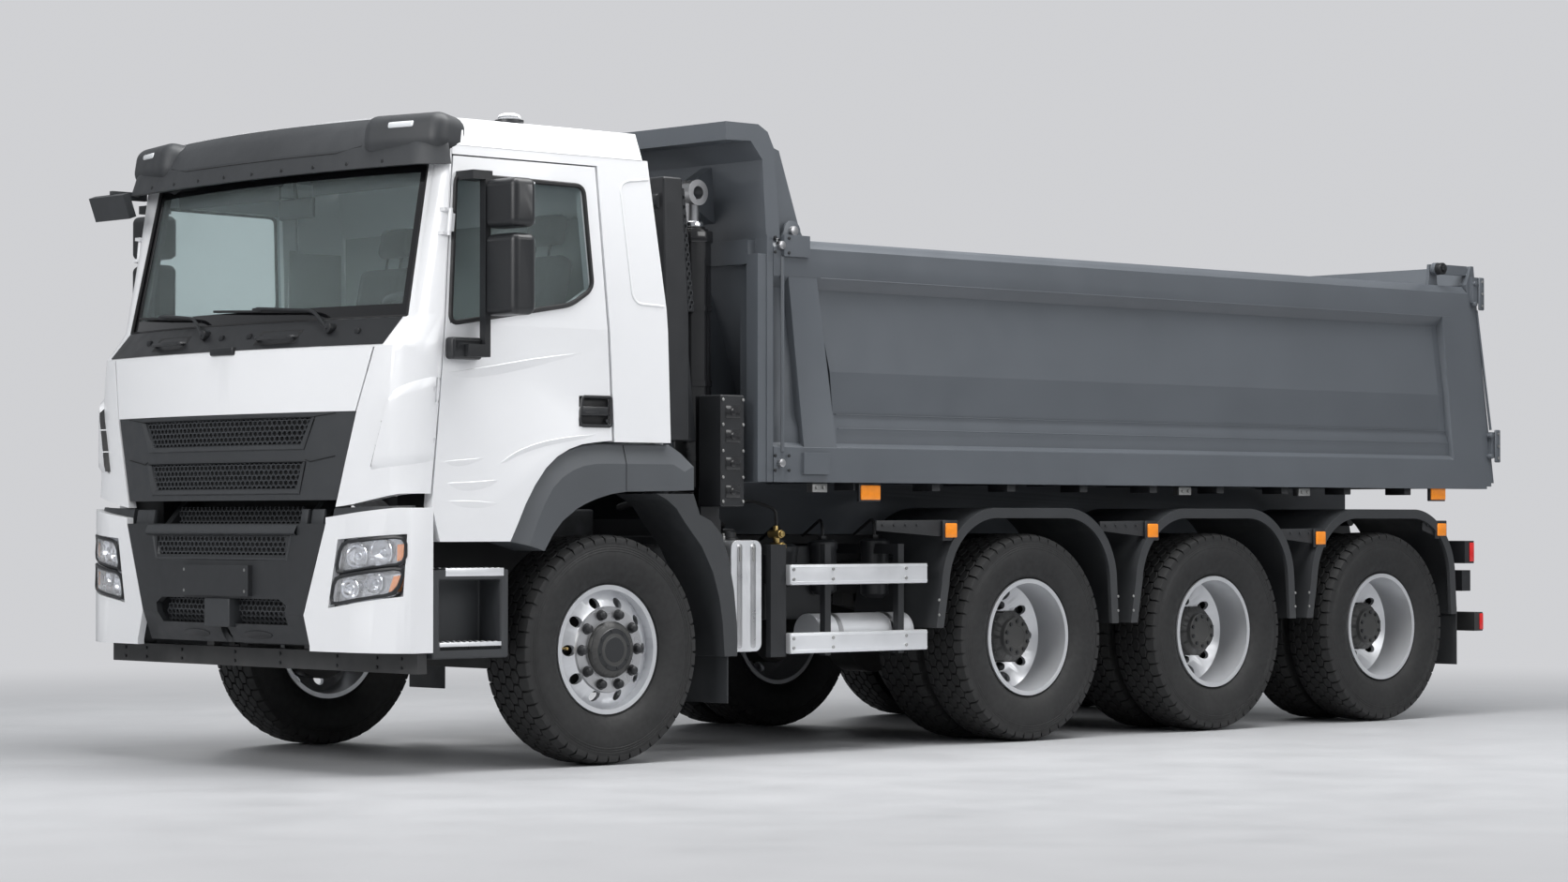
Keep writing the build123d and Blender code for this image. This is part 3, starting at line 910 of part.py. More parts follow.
def build_bed():
    """Floor on two beams, two sides, headboard with canopy and the tailgate."""
    beam_low = RAIL_TOP_Z + MOVING_GAP
    floor = block(BED_FRONT_X - 40, rear(gate_line(BED_FLOOR_Z)) + 4, -BED_SHEET_Y + BED_WALL, BED_SHEET_Y - BED_WALL, BED_FLOOR_Z, BED_FLOOR_TOP_Z)
    for sign in (-1, 1):
        beam = block(BED_HINGE_X, BED_FRONT_X - 60, sign * 350, sign * 425, beam_low, BED_FLOOR_Z + 1)
        beam += cross_rod(BED_HINGE_X, BED_HINGE_Z, sign * 350, sign * 425, BED_HINGE_Z - beam_low)
        beam += block(BED_HINGE_X - 70, BED_HINGE_X, sign * 350, sign * 425, BED_HINGE_Z, BED_FLOOR_Z + 1)
        floor += beam
    for i in range(9):
        x = BED_FRONT_X - 160 - i * 640
        floor += block(x - 45, x + 45, -BED_SHEET_Y + BED_WALL, BED_SHEET_Y - BED_WALL, BED_LOW_Z, BED_FLOOR_Z + 1)
    floor -= cross_rod(BED_HINGE_X, BED_HINGE_Z, -600, 600, BED_PIN_RADIUS + RUNNING_FIT)
    for sign in (-1, 1):
        floor -= block(recess_x(BED_LOW_Z) - RECESS_PLATE - SEAT_GAP, BED_FRONT_X + 50, sign * (RECESS_INNER_Y - RECESS_PLATE),
                       sign * (RECESS_OUTER_Y + RECESS_PLATE), 1200, 1500)
    save("bed_floor", floor)

    inner = BED_SHEET_Y - BED_WALL + SEAT_GAP
    # columns: y, z of the side's section, up the outside
    section = [(1250, BED_LOW_Z), (1250, 1477), (1216, 1500), (1216, 1572), (BED_SHEET_Y, 1641), (BED_SHEET_Y + 6, 1850),
               (BED_SHEET_Y - 2, 2245), (1250, 2300), (1250, 2437), (1215, BED_RAIL_TOP_Z), (inner + 20, BED_RAIL_TOP_Z),
               (inner, 2437), (inner, BED_LOW_Z)]
    side = long_prism(section, rear(-985), BED_FRONT_X - 41)
    side -= side_prism([(rear(-1000), 1200), (rear(-1000), 2600), (rear(gate_line(2600)), 2600), (rear(gate_line(1200)), 1200)], 1000, 1300)
    front_post = side_prism([(front(-1086), 2310), (front(-1273), 2310), (front(-1411), 1470), (front(-1192), 1470)], BED_SHEET_Y - 10, 1248)
    rear_post = side_prism([(rear(-524), 2300), (rear(gate_line(2300)), 2300), (rear(gate_line(1400)), 1400), (rear(-634), 1400)],
                           BED_SHEET_Y - 10, 1250)
    side = side + front_post + rear_post
    ear = side_prism([(GATE_HINGE_X - 45, 2470), (GATE_HINGE_X + 45, 2470), (GATE_HINGE_X + 28, 2600), (GATE_HINGE_X - 28, 2600)], 1165, 1185)
    pin = cross_rod(GATE_HINGE_X, GATE_HINGE_Z, 1170, 1240, GATE_PIN_RADIUS)
    front_ear = side_prism([(front(-1080), 2470), (front(-1180), 2470), (front(-1150), 2545), (front(-1110), 2545)], 1206, 1226)
    front_ear += cross_rod(front(-1129), 2519, 1202, 1248, 18)
    # hinge brackets on the front post
    for z, x_mid in ((2445, -1120), (1400, -1250)):       # columns: z, x from the front axle
        front_ear += block(front(x_mid - 95), front(x_mid + 75), 1248, 1266, z - 52, z + 52)
        front_ear += block(front(x_mid + 20), front(x_mid + 75), 1204, 1266, z - 34, z + 34)
    save("bed_sides", pair(side + ear + pin + front_ear))

    head = block(BED_FRONT_X - 40, BED_FRONT_X, -1245, 1245, BED_LOW_Z, 2495)
    for sign in (-1, 1):
        y0, y1 = sign * RECESS_INNER_Y, sign * RECESS_OUTER_Y
        outer = [(BED_FRONT_X, RECESS_TOP_Z), (BED_FRONT_X, BED_LOW_Z), (recess_x(BED_LOW_Z) - RECESS_PLATE, BED_LOW_Z),
                 (recess_x(RECESS_TOP_Z) - RECESS_PLATE - 30, RECESS_TOP_Z)]
        head += side_prism(outer, min(y0, y1) - RECESS_PLATE, max(y0, y1) + RECESS_PLATE)
        hollow = [(BED_FRONT_X + 50, 2290), (BED_FRONT_X + 50, 1200), (recess_x(1200), 1200), (recess_x(2290), 2290)]
        head -= side_prism(hollow, min(y0, y1), max(y0, y1))
    head += block(BED_FRONT_X - 2, front(-905), -1160, 1160, 2355, 2470)
    for y in (-1200, -420, 420, 1200):
        head += block(BED_FRONT_X - 2, front(-895), y - 40, y + 40, BED_LOW_Z, 2400)
    canopy = side_prism([(front(-690), 2930), (front(-690), 3018), (front(-898), 3018), (front(-960), 2985), (front(-1000), 2910),
                         (front(-1040), 2480), (front(-950), 2480), (front(-925), 2850), (front(-850), 2935)], -1240, 1240)
    cheek = side_prism([(front(-936), 2880), (front(-930), 2950), (front(-1070), 2905), (front(-1218), 2498), (front(-991), 2498)], 1165, 1200)
    head += canopy
    head += cheek
    head += other_side(cheek)
    for sign in (-1, 1):
        y_in, y_out = HOIST_Y - 150, HOIST_Y - 52
        bracket = side_prism([(BED_FRONT_X - 2, 2560), (HOIST_X - 45, 2650), (HOIST_X + 40, 2650), (HOIST_X + 40, 2750),
                              (HOIST_X - 45, 2750), (front(-930), 2840)], sign * y_in, sign * (y_out - 20))
        bracket += cross_rod(HOIST_X, HOIST_EYE_Z, sign * y_in, sign * y_out, HOIST_PIN_RADIUS)
        head += bracket
    save("bed_headboard", head)

    gap = 10.0
    gate_low = 1325.0
    gate = side_prism([(rear(gate_line(2490) - gap), 2490), (rear(gate_line(2490) - gap - 45), 2600), (rear(gate_line(2490) - gap - 70), 2600),
                       (rear(gate_line(gate_low) - gap - 48), gate_low), (rear(gate_line(gate_low) - gap), gate_low)], -1240, 1240)
    for y in (-1195, -400, 400, 1195):
        gate += side_prism([(rear(gate_line(2490) - gap - 40), 2480), (rear(gate_line(gate_low) - gap - 40), gate_low + 20),
                            (rear(gate_line(gate_low) - gap - 85), gate_low + 20), (rear(gate_line(2490) - gap - 85), 2480)], y - 35, y + 35)
    for sign in (-1, 1):
        arm = side_prism([(GATE_HINGE_X + 20, 2600), (rear(gate_line(2490) - gap - 30), 2600), (rear(gate_line(2490) - gap - 30), 2545),
                          (GATE_HINGE_X + 20, 2545)], sign * 1192, sign * 1222)
        arm += cross_rod(GATE_HINGE_X, GATE_HINGE_Z, sign * 1192, sign * 1222, GATE_PIN_RADIUS + 20)
        gate += arm
        gate -= cross_rod(GATE_HINGE_X, GATE_HINGE_Z, sign * 1100, sign * 1300, GATE_PIN_RADIUS + RUNNING_FIT)
    # latches down the gate's ends
    for z, x_back in ((2460, -865), (1566, -REAR_OVERHANG)):      # columns: z, x of the back face from the last axle
        for sign in (-1, 1):
            gate += block(rear(x_back), rear(x_back + 70), sign * 1222, sign * 1262, z - 75, z + 75)
            gate += block(rear(gate_line(z) - gap - 60), rear(gate_line(z) - gap - 12), sign * 1180, sign * 1230, z - 40, z + 40)
    save("tailgate", gate)


# ------------------------------------------------------------------ hoists
HOIST_FLOOR = 20.0
EYE_RADIUS = 62.0
EYE_BORE = 31.0
EYE_HALF = 45.0


def build_hoists():
    """Barrel on its foot, three hollow stages and the last one with its eye."""
    for i, (name, radius, z0, z1) in enumerate(HOIST_TUBES):
        tube = post_rod(HOIST_X, HOIST_Y, z0, z1, radius)
        if i + 1 < len(HOIST_TUBES):
            bore = HOIST_TUBES[i + 1][1] + 1.0
            floor = HOIST_FLOOR if i == 0 else 1.0
            tube -= post_rod(HOIST_X, HOIST_Y, z0 + floor, z1 + 1.0, bore)
        if i == 0:
            tube += cross_rod(HOIST_X, HOIST_FOOT_Z, HOIST_Y - 80, HOIST_Y + 80, 62)
            tube -= cross_rod(HOIST_X, HOIST_FOOT_Z, HOIST_Y - 120, HOIST_Y + 120, HOIST_PIN_RADIUS + RUNNING_FIT)
        if i + 1 == len(HOIST_TUBES):
            tube += cross_rod(HOIST_X, HOIST_EYE_Z, HOIST_Y - EYE_HALF, HOIST_Y + EYE_HALF, EYE_RADIUS)
            tube -= cross_rod(HOIST_X, HOIST_EYE_Z, HOIST_Y - 60, HOIST_Y + 60, EYE_BORE)
        save(name, pair(tube))


build_wheels()
build_running_gear()
build_frame()
rear_beam, tail_lamps = build_chassis_units()
build_cab_shell()
build_doors()
build_cab_fittings()
build_bumper(rear_beam, tail_lamps)
build_bed()
build_hoists()
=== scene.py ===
"""Looks of a four-axle tipper truck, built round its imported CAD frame.

Every piece is in metres in the truck's own frame: +X is forward, +Y is the driver's side (left)
and +Z is up, with the ground at z = 0 and the origin under the middle of the truck.
"""

import json
import logging
import math
from collections.abc import Callable, Iterable, Sequence
from dataclasses import dataclass, field
from enum import Enum

import bmesh
import bpy
from mathutils import Matrix, Vector
from mathutils.bvhtree import BVHTree

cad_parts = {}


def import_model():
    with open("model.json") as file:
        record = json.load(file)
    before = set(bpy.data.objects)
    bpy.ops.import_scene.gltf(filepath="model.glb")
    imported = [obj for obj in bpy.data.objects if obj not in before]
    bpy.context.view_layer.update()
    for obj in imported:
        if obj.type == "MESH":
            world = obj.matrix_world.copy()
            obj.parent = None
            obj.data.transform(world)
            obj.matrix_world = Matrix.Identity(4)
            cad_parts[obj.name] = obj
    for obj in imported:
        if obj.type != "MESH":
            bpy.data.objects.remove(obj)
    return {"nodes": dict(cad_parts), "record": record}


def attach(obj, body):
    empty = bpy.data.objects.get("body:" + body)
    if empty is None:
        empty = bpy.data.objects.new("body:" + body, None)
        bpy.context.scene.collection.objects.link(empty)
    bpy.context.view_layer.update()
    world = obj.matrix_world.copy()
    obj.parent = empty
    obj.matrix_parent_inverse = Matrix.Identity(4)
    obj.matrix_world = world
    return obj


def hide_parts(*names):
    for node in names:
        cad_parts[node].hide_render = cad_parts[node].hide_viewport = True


LOG = logging.getLogger("truck")

Point = tuple[float, float, float]
Flat = tuple[float, float]
Colour = tuple[float, float, float]

FRONT_AXLE_X = 2.690
REAR_AXLES_X = (-0.110, -1.560, -3.010)
LAST_AXLE_X = REAR_AXLES_X[-1]
AXLE_Z = 0.530
ORIGIN: Point = (0.0, 0.0, 0.0)
SOFT_ANGLE = 60.0  # degrees of bend that still shade as one face
FLAT_ANGLE = math.radians(0.6)  # faces that bend less than this are joined
CAD_MERGE = 2e-5  # metres between corners of a node that are one
CELL_MERGE = 2e-4  # metres between corners of touching cells that are one
MERGE = 1e-6  # metres between corners of a made mesh that are one
COAT_ROUGHNESS = 0.05
# the cab glass lets 94 % of light through; the other 6 % shows its pale grey-green colour as a diffuse film,
# a painted reflection haze
GLASS_CLARITY, GLASS_IOR = 0.94, 1.05
LENS_CLARITY, LENS_IOR = 0.85, 1.12
DUST_FOOT, DUST_TOP = 0.1, 1.1  # heights between which dust thins out
DUST_COLOUR = (0.28, 0.27, 0.25, 1.0)
NOISE_RANGE = (0.3, 0.7)  # values that noise mostly keeps between


def front(offset: float) -> float:
    """X of a place given from the front axle."""
    return FRONT_AXLE_X + offset


def fronts(first: float, second: float) -> Flat:
    """Two x places given from the front axle."""
    return front(first), front(second)


def from_front(*points: Flat | Point) -> list:
    """Places whose x is given from the front axle."""
    return [(front(point[0]), *point[1:]) for point in points]


def band(middle: float, half: float) -> Flat:
    """The two places that lie a half width from a middle."""
    return middle - half, middle + half


def front_band(offset: float, half: float) -> Flat:
    """The two x places about a middle given from the front axle."""
    return front(offset - half), front(offset + half)


def rear(offset: float) -> float:
    """X of a place given from the last axle."""
    return LAST_AXLE_X + offset


class Side(Enum):
    """A side of the truck, with the sign of its y."""

    LEFT = 1
    RIGHT = -1

    @property
    def word(self) -> str:
        """The side's name in a piece's or body's name."""
        return self.name.lower()


# ---------------------------------------------------------------- finishes
class Pattern(Enum):
    """What varies over a finish, besides its mottling."""

    PLAIN = "plain"
    GRAIN = "grain"
    BRUSHED = "brushed"
    RUBBER = "rubber"
    WEAVE = "weave"
    GLASS = "glass"
    LENS = "lens"
    TREADPLATE = "treadplate"


@dataclass(frozen=True)
class Finish:
    """A procedural surface finish.

    Args:
        name: name of the material.
        colour: main colour, linear.
        roughness: mean roughness.
        metallic: 0 for paint and plastic, 1 for bare metal.
        pattern: the detail that it carries.
        mottle: share by which the colour varies.
        mottle_scale: how many patches a metre.
        wear: how far the roughness varies, as a share of it.
        grain_scale: scale of its bump, per metre.
        grain: depth of its bump.
        coat: strength of a clear coat.
        dust: share of pale dust low on the truck.
        glow: strength of emission.
        slot: group of like finishes that its pieces belong to; not used.
    """

    name: str
    colour: Colour
    roughness: float
    metallic: float = 0.0
    pattern: Pattern = Pattern.GRAIN
    mottle: float = 0.06
    mottle_scale: float = 3.0
    wear: float = 0.15
    grain_scale: float = 900.0
    grain: float = 0.02
    coat: float = 0.0
    dust: float = 0.0
    glow: float = 0.0
    slot: str = ""

    def material(self) -> bpy.types.Material:
        """The Blender material, made at its first use."""
        made = bpy.data.materials.get(self.name)
        return made if made else MaterialMaker(self).make()


class MaterialMaker:
    """Builds the node tree of one finish."""

    def __init__(self, finish: Finish) -> None:
        """Start an empty tree for the finish."""
        self.finish = finish
        self.material = bpy.data.materials.new(finish.name)
        self.material.use_nodes = True
        self.tree = self.material.node_tree
        self.shader = self.tree.nodes["Principled BSDF"]
        self.place = self.node("ShaderNodeTexCoord").outputs["Object"]

    def node(self, kind: str, **settings: object) -> bpy.types.Node:
        """Add a node and set its properties."""
        made = self.tree.nodes.new(kind)
        for key, value in settings.items():
            setattr(made, key, value)
        return made

    def link(self, source: bpy.types.NodeSocket, target: bpy.types.NodeSocket) -> None:
        """Join two sockets."""
        self.tree.links.new(source, target)

    def noise(self, scale: float, detail: float = 4.0,
              stretch: Point = (1.0, 1.0, 1.0)) -> bpy.types.NodeSocket:
        """Noise on the object's own coordinates.

        Args:
            scale: cells a metre.
            detail: octaves.
            stretch: factor along each axis.

        Returns:
            The noise's value socket.
        """
        mapping = self.node("ShaderNodeMapping")
        mapping.inputs["Scale"].default_value = stretch
        self.link(self.place, mapping.inputs["Vector"])
        texture = self.node("ShaderNodeTexNoise")
        texture.inputs["Scale"].default_value = scale
        texture.inputs["Detail"].default_value = detail
        self.link(mapping.outputs["Vector"], texture.inputs["Vector"])
        return texture.outputs["Fac"]

    def ramp(self, value: bpy.types.NodeSocket,
             stops: Sequence[tuple[float, Colour]]) -> bpy.types.NodeSocket:
        """Colours along a value."""
        ramp = self.node("ShaderNodeValToRGB")
        elements = ramp.color_ramp.elements
        while len(elements) < len(stops):
            elements.new(0.5)
        for element, (position, colour) in zip(elements, stops):
            element.position = position
            element.color = (*colour, 1.0)
        self.link(value, ramp.inputs["Fac"])
        return ramp.outputs["Color"]

    def spread(self, value: bpy.types.NodeSocket, low: float, high: float) -> bpy.types.NodeSocket:
        """A noise value brought into a range."""
        remap = self.node("ShaderNodeMapRange")
        remap.inputs["From Min"].default_value = NOISE_RANGE[0]
        remap.inputs["From Max"].default_value = NOISE_RANGE[1]
        remap.inputs["To Min"].default_value = low
        remap.inputs["To Max"].default_value = high
        self.link(value, remap.inputs["Value"])
        return remap.outputs["Result"]

    def bump(self, height: bpy.types.NodeSocket, strength: float, distance: float) -> None:
        """Feed a height to the shader's normal."""
        bump = self.node("ShaderNodeBump")
        bump.inputs["Strength"].default_value = strength
        bump.inputs["Distance"].default_value = distance
        self.link(height, bump.inputs["Height"])
        self.link(bump.outputs["Normal"], self.shader.inputs["Normal"])

    def make(self) -> bpy.types.Material:
        """Build the tree and return the material."""
        finish = self.finish
        socket = self.shader.inputs
        socket["Metallic"].default_value = finish.metallic
        socket["Coat Weight"].default_value = finish.coat
        socket["Coat Roughness"].default_value = COAT_ROUGHNESS
        low = tuple(c * (1.0 - finish.mottle) for c in finish.colour)
        high = tuple(min(1.0, c * (1.0 + finish.mottle)) for c in finish.colour)
        base = self.ramp(self.noise(finish.mottle_scale), ((0.35, low), (0.65, high)))
        if finish.dust:
            base = self.dusted(base)
        self.link(base, socket["Base Color"])
        wear = finish.wear
        rough = self.spread(self.noise(finish.mottle_scale * 4.0), finish.roughness * (1 - wear),
                            finish.roughness * (1 + wear))
        self.link(rough, socket["Roughness"])
        special = {Pattern.BRUSHED: self.brushed, Pattern.RUBBER: self.rubber, Pattern.WEAVE: self.weave,
                   Pattern.GLASS: self.glass, Pattern.LENS: self.lens, Pattern.TREADPLATE: self.treadplate,
                   Pattern.GRAIN: self.grained}
        if finish.pattern in special:
            special[finish.pattern]()
        if finish.glow:
            socket["Emission Color"].default_value = (*finish.colour, 1.0)
            socket["Emission Strength"].default_value = finish.glow
        return self.material

    def dusted(self, base: bpy.types.NodeSocket) -> bpy.types.NodeSocket:
        """Pale dust that thickens towards the ground."""
        split = self.node("ShaderNodeSeparateXYZ")
        self.link(self.place, split.inputs["Vector"])
        height = self.node("ShaderNodeMapRange")
        height.inputs["From Min"].default_value = DUST_TOP
        height.inputs["From Max"].default_value = DUST_FOOT
        height.inputs["To Max"].default_value = self.finish.dust
        self.link(split.outputs["Z"], height.inputs["Value"])
        patch = self.node("ShaderNodeMath", operation="MULTIPLY")
        self.link(height.outputs["Result"], patch.inputs[0])
        self.link(self.noise(7.0, 6.0), patch.inputs[1])
        mix = self.node("ShaderNodeMix", data_type="RGBA")
        mix.inputs["B"].default_value = DUST_COLOUR
        self.link(patch.outputs[0], mix.inputs["Factor"])
        self.link(base, mix.inputs["A"])
        return mix.outputs["Result"]

    def grained(self) -> None:
        """Fine moulded or sprayed grain."""
        if self.finish.grain:
            self.bump(self.noise(self.finish.grain_scale, 2.0), self.finish.grain, 0.002)

    def brushed(self) -> None:
        """Fine scratches that run along the truck."""
        scratches = self.noise(self.finish.grain_scale, 3.0, (0.02, 1.0, 1.0))
        self.bump(scratches, self.finish.grain, 0.001)

    def rubber(self) -> None:
        """Fine pores and rings left by the mould."""
        self.bump(self.noise(self.finish.grain_scale, 5.0), self.finish.grain, 0.001)

    def weave(self) -> None:
        """Crossed yarns."""
        waves = []
        for axis in ("Y", "Z"):
            wave = self.node("ShaderNodeTexWave", bands_direction=axis)
            wave.inputs["Scale"].default_value = self.finish.grain_scale
            self.link(self.place, wave.inputs["Vector"])
            waves.append(wave.outputs["Fac"])
        both = self.node("ShaderNodeMath", operation="ADD")
        self.link(waves[0], both.inputs[0])
        self.link(waves[1], both.inputs[1])
        self.bump(both.outputs[0], self.finish.grain, 0.002)

    def glass(self) -> None:
        """Tinted glass that lets most light through; the rest shows its pale colour as a diffuse film, a
        painted reflection haze.
        """
        socket = self.shader.inputs
        socket["Transmission Weight"].default_value = GLASS_CLARITY
        socket["IOR"].default_value = GLASS_IOR

    def lens(self) -> None:
        """A moulded lamp lens with upright flutes."""
        socket = self.shader.inputs
        socket["Transmission Weight"].default_value = LENS_CLARITY
        socket["IOR"].default_value = LENS_IOR
        wave = self.node("ShaderNodeTexWave", bands_direction="Y")
        wave.inputs["Scale"].default_value = self.finish.grain_scale
        self.link(self.place, wave.inputs["Vector"])
        self.bump(wave.outputs["Fac"], self.finish.grain, 0.002)

    def treadplate(self) -> None:
        """Raised tears of a pressed tread."""
        cells = self.node("ShaderNodeTexVoronoi", feature="SMOOTH_F1")
        cells.inputs["Scale"].default_value = self.finish.grain_scale
        self.link(self.place, cells.inputs["Vector"])
        self.bump(cells.outputs["Distance"], self.finish.grain, 0.004)


class Paints:
    """The truck's finishes."""

    CAB = Finish("cab_white_enamel", (0.81, 0.815, 0.83), 0.32, mottle=0.004, mottle_scale=1.2, wear=0.02,
                 grain_scale=90, grain=0.001, coat=0.6, slot="paint")
    BODY = Finish("body_charcoal_enamel", (0.089, 0.099, 0.112), 0.42, mottle=0.05, mottle_scale=1.6,
                  grain_scale=300, grain=0.05, coat=0.15, slot="steelbody")
    CHASSIS = Finish("chassis_black_paint", (0.018, 0.019, 0.021), 0.45, mottle=0.2, grain_scale=260,
                     grain=0.08, dust=0.25, slot="frame")
    AXLE = Finish("axle_black_paint", (0.015, 0.016, 0.017), 0.5, mottle=0.2, grain_scale=180, grain=0.1,
                  dust=0.35, slot="cast")
    GREY_PLASTIC = Finish("grained_grey_plastic", (0.035, 0.0375, 0.041), 0.52, mottle=0.05, grain_scale=1500,
                          grain=0.12, slot="plastic")
    BUMPER = Finish("grained_bumper_plastic", (0.023, 0.0245, 0.027), 0.5, mottle=0.05, grain_scale=1500,
                    grain=0.12, slot="plastic")
    FENDER = Finish("grained_fender_plastic", (0.070, 0.076, 0.084), 0.5, mottle=0.06, grain_scale=1500,
                    grain=0.12, dust=0.15, slot="mudguard")
    MUDGUARD = Finish("dark_mudguard_plastic", (0.030, 0.032, 0.035), 0.48, mottle=0.08, grain_scale=1200,
                      grain=0.06, dust=0.10, slot="mudguard")
    BLACK_PLASTIC = Finish("black_moulded_plastic", (0.016, 0.017, 0.019), 0.38, mottle=0.1, grain_scale=1200,
                           grain=0.06, slot="plastic")
    GLOSS_BLACK = Finish("black_gloss_trim", (0.010, 0.010, 0.011), 0.16, mottle=0.05, grain=0.0, coat=0.5,
                         slot="mirror")
    RUBBER = Finish("tyre_rubber", (0.0095, 0.0097, 0.0102), 0.66, pattern=Pattern.RUBBER, mottle=0.2,
                    mottle_scale=9.0, grain_scale=700, grain=0.12, dust=0.05, slot="tyre")
    SEAL = Finish("window_seal_rubber", (0.012, 0.012, 0.013), 0.6, pattern=Pattern.RUBBER, grain_scale=500,
                  grain=0.1, slot="plastic")
    WHEEL = Finish("wheel_silver_paint", (0.66, 0.67, 0.69), 0.34, 0.6, mottle=0.02, mottle_scale=5.0,
                   grain_scale=400, grain=0.004, coat=0.3, slot="rim")
    ALUMINIUM = Finish("brushed_aluminium", (0.80, 0.81, 0.83), 0.38, 0.7, Pattern.BRUSHED, mottle=0.05,
                       grain_scale=400, grain=0.15, slot="tank")
    STEEL = Finish("machined_steel", (0.52, 0.52, 0.53), 0.30, 1.0, mottle=0.08, grain_scale=500, grain=0.06,
                   slot="rod")
    CHROME = Finish("hard_chrome", (0.72, 0.73, 0.75), 0.09, 1.0, mottle=0.02, grain=0.0, slot="rod")
    ZINC = Finish("zinc_plated_bolts", (0.42, 0.42, 0.41), 0.4, 1.0, mottle=0.15, grain_scale=300, grain=0.1,
                  slot="rod")
    DARK_STEEL = Finish("dark_hub_steel", (0.030, 0.031, 0.033), 0.42, 0.5, mottle=0.2, grain_scale=300,
                        grain=0.1, slot="cast")
    BRASS = Finish("brass_fitting", (0.55, 0.40, 0.16), 0.32, 1.0, mottle=0.1, grain_scale=300, grain=0.05,
                   slot="rod")
    GLASS = Finish("tinted_cab_glass", (0.72, 0.80, 0.80), 0.02, pattern=Pattern.GLASS, mottle=0.01,
                   slot="glass")
    BANDED_GLASS = Finish("glass_black_band", (0.006, 0.006, 0.007), 0.08, mottle=0.02, grain=0.0, coat=0.6,
                          slot="glass")
    LENS = Finish("clear_lamp_lens", (0.95, 0.96, 0.98), 0.03, pattern=Pattern.LENS, mottle=0.01,
                  grain_scale=40, grain=0.01, slot="lamp")
    GLASS_BEAD = Finish("lamp_eye_glass", (0.55, 0.58, 0.62), 0.04, mottle=0.02, grain=0.0, coat=1.0,
                        slot="lamp")
    REFLECTOR = Finish("lamp_reflector", (0.86, 0.87, 0.89), 0.10, 1.0, mottle=0.03, mottle_scale=20,
                       grain_scale=40, grain=0.02, slot="lamp")
    AMBER = Finish("amber_lens", (0.80, 0.24, 0.010), 0.18, mottle=0.06, mottle_scale=30, grain_scale=90,
                   grain=0.05, coat=0.5, glow=0.12, slot="lamp")
    RED = Finish("red_lens", (0.62, 0.012, 0.012), 0.18, mottle=0.06, mottle_scale=30, grain_scale=90,
                 grain=0.05, coat=0.5, glow=0.12, slot="lamp")
    LAMP_GLASS = Finish("bright_lamp_glass", (0.70, 0.72, 0.74), 0.10, mottle=0.02, grain=0.0, coat=0.8,
                        slot="lamp")
    LAMP_BACK = Finish("lamp_housing_chrome", (0.50, 0.51, 0.53), 0.18, 0.9, mottle=0.05, mottle_scale=20,
                       grain=0.0, slot="lamp")
    # Near-black: behind the grille meshes it is painted shade for the space behind them, and it also draws
    # the dark seam lines.
    HOLLOW = Finish("dark_hollow", (0.0025, 0.0025, 0.003), 0.9, pattern=Pattern.PLAIN, slot="grille")
    MESH = Finish("grille_mesh_plastic", (0.050, 0.053, 0.058), 0.42, mottle=0.05, grain_scale=900,
                  grain=0.03, slot="grille")
    SEAT = Finish("seat_cloth", (0.045, 0.048, 0.053), 0.85, pattern=Pattern.WEAVE, mottle=0.15,
                  mottle_scale=60, grain_scale=220, grain=0.4, slot="seat")
    DASH = Finish("dashboard_moulding", (0.050, 0.053, 0.058), 0.6, mottle=0.08, grain_scale=1300, grain=0.15,
                  slot="dash")
    LINING = Finish("cab_lining", (0.32, 0.33, 0.34), 0.75, mottle=0.05, grain_scale=900, grain=0.1,
                    slot="dash")
    MIRROR_GLASS = Finish("mirror_glass", (0.75, 0.77, 0.79), 0.04, 1.0, mottle=0.01, grain=0.0,
                          slot="mirror")
    TREAD = Finish("step_tread_plate", (0.60, 0.61, 0.62), 0.38, 1.0, Pattern.TREADPLATE, mottle=0.1,
                   grain_scale=70, grain=0.5, slot="step")
    ENGINE = Finish("engine_casting", (0.055, 0.058, 0.062), 0.6, 0.3, mottle=0.25, mottle_scale=12,
                    grain_scale=150, grain=0.3, slot="engine")


# ---------------------------------------------------------------- mesh workshop
class Axis(Enum):
    """A direction of the truck's frame."""

    X = 0
    Y = 1
    Z = 2


def in_order(elements: Iterable[object]) -> list:
    """The elements once each, in the order in which they come."""
    return list(dict.fromkeys(elements))


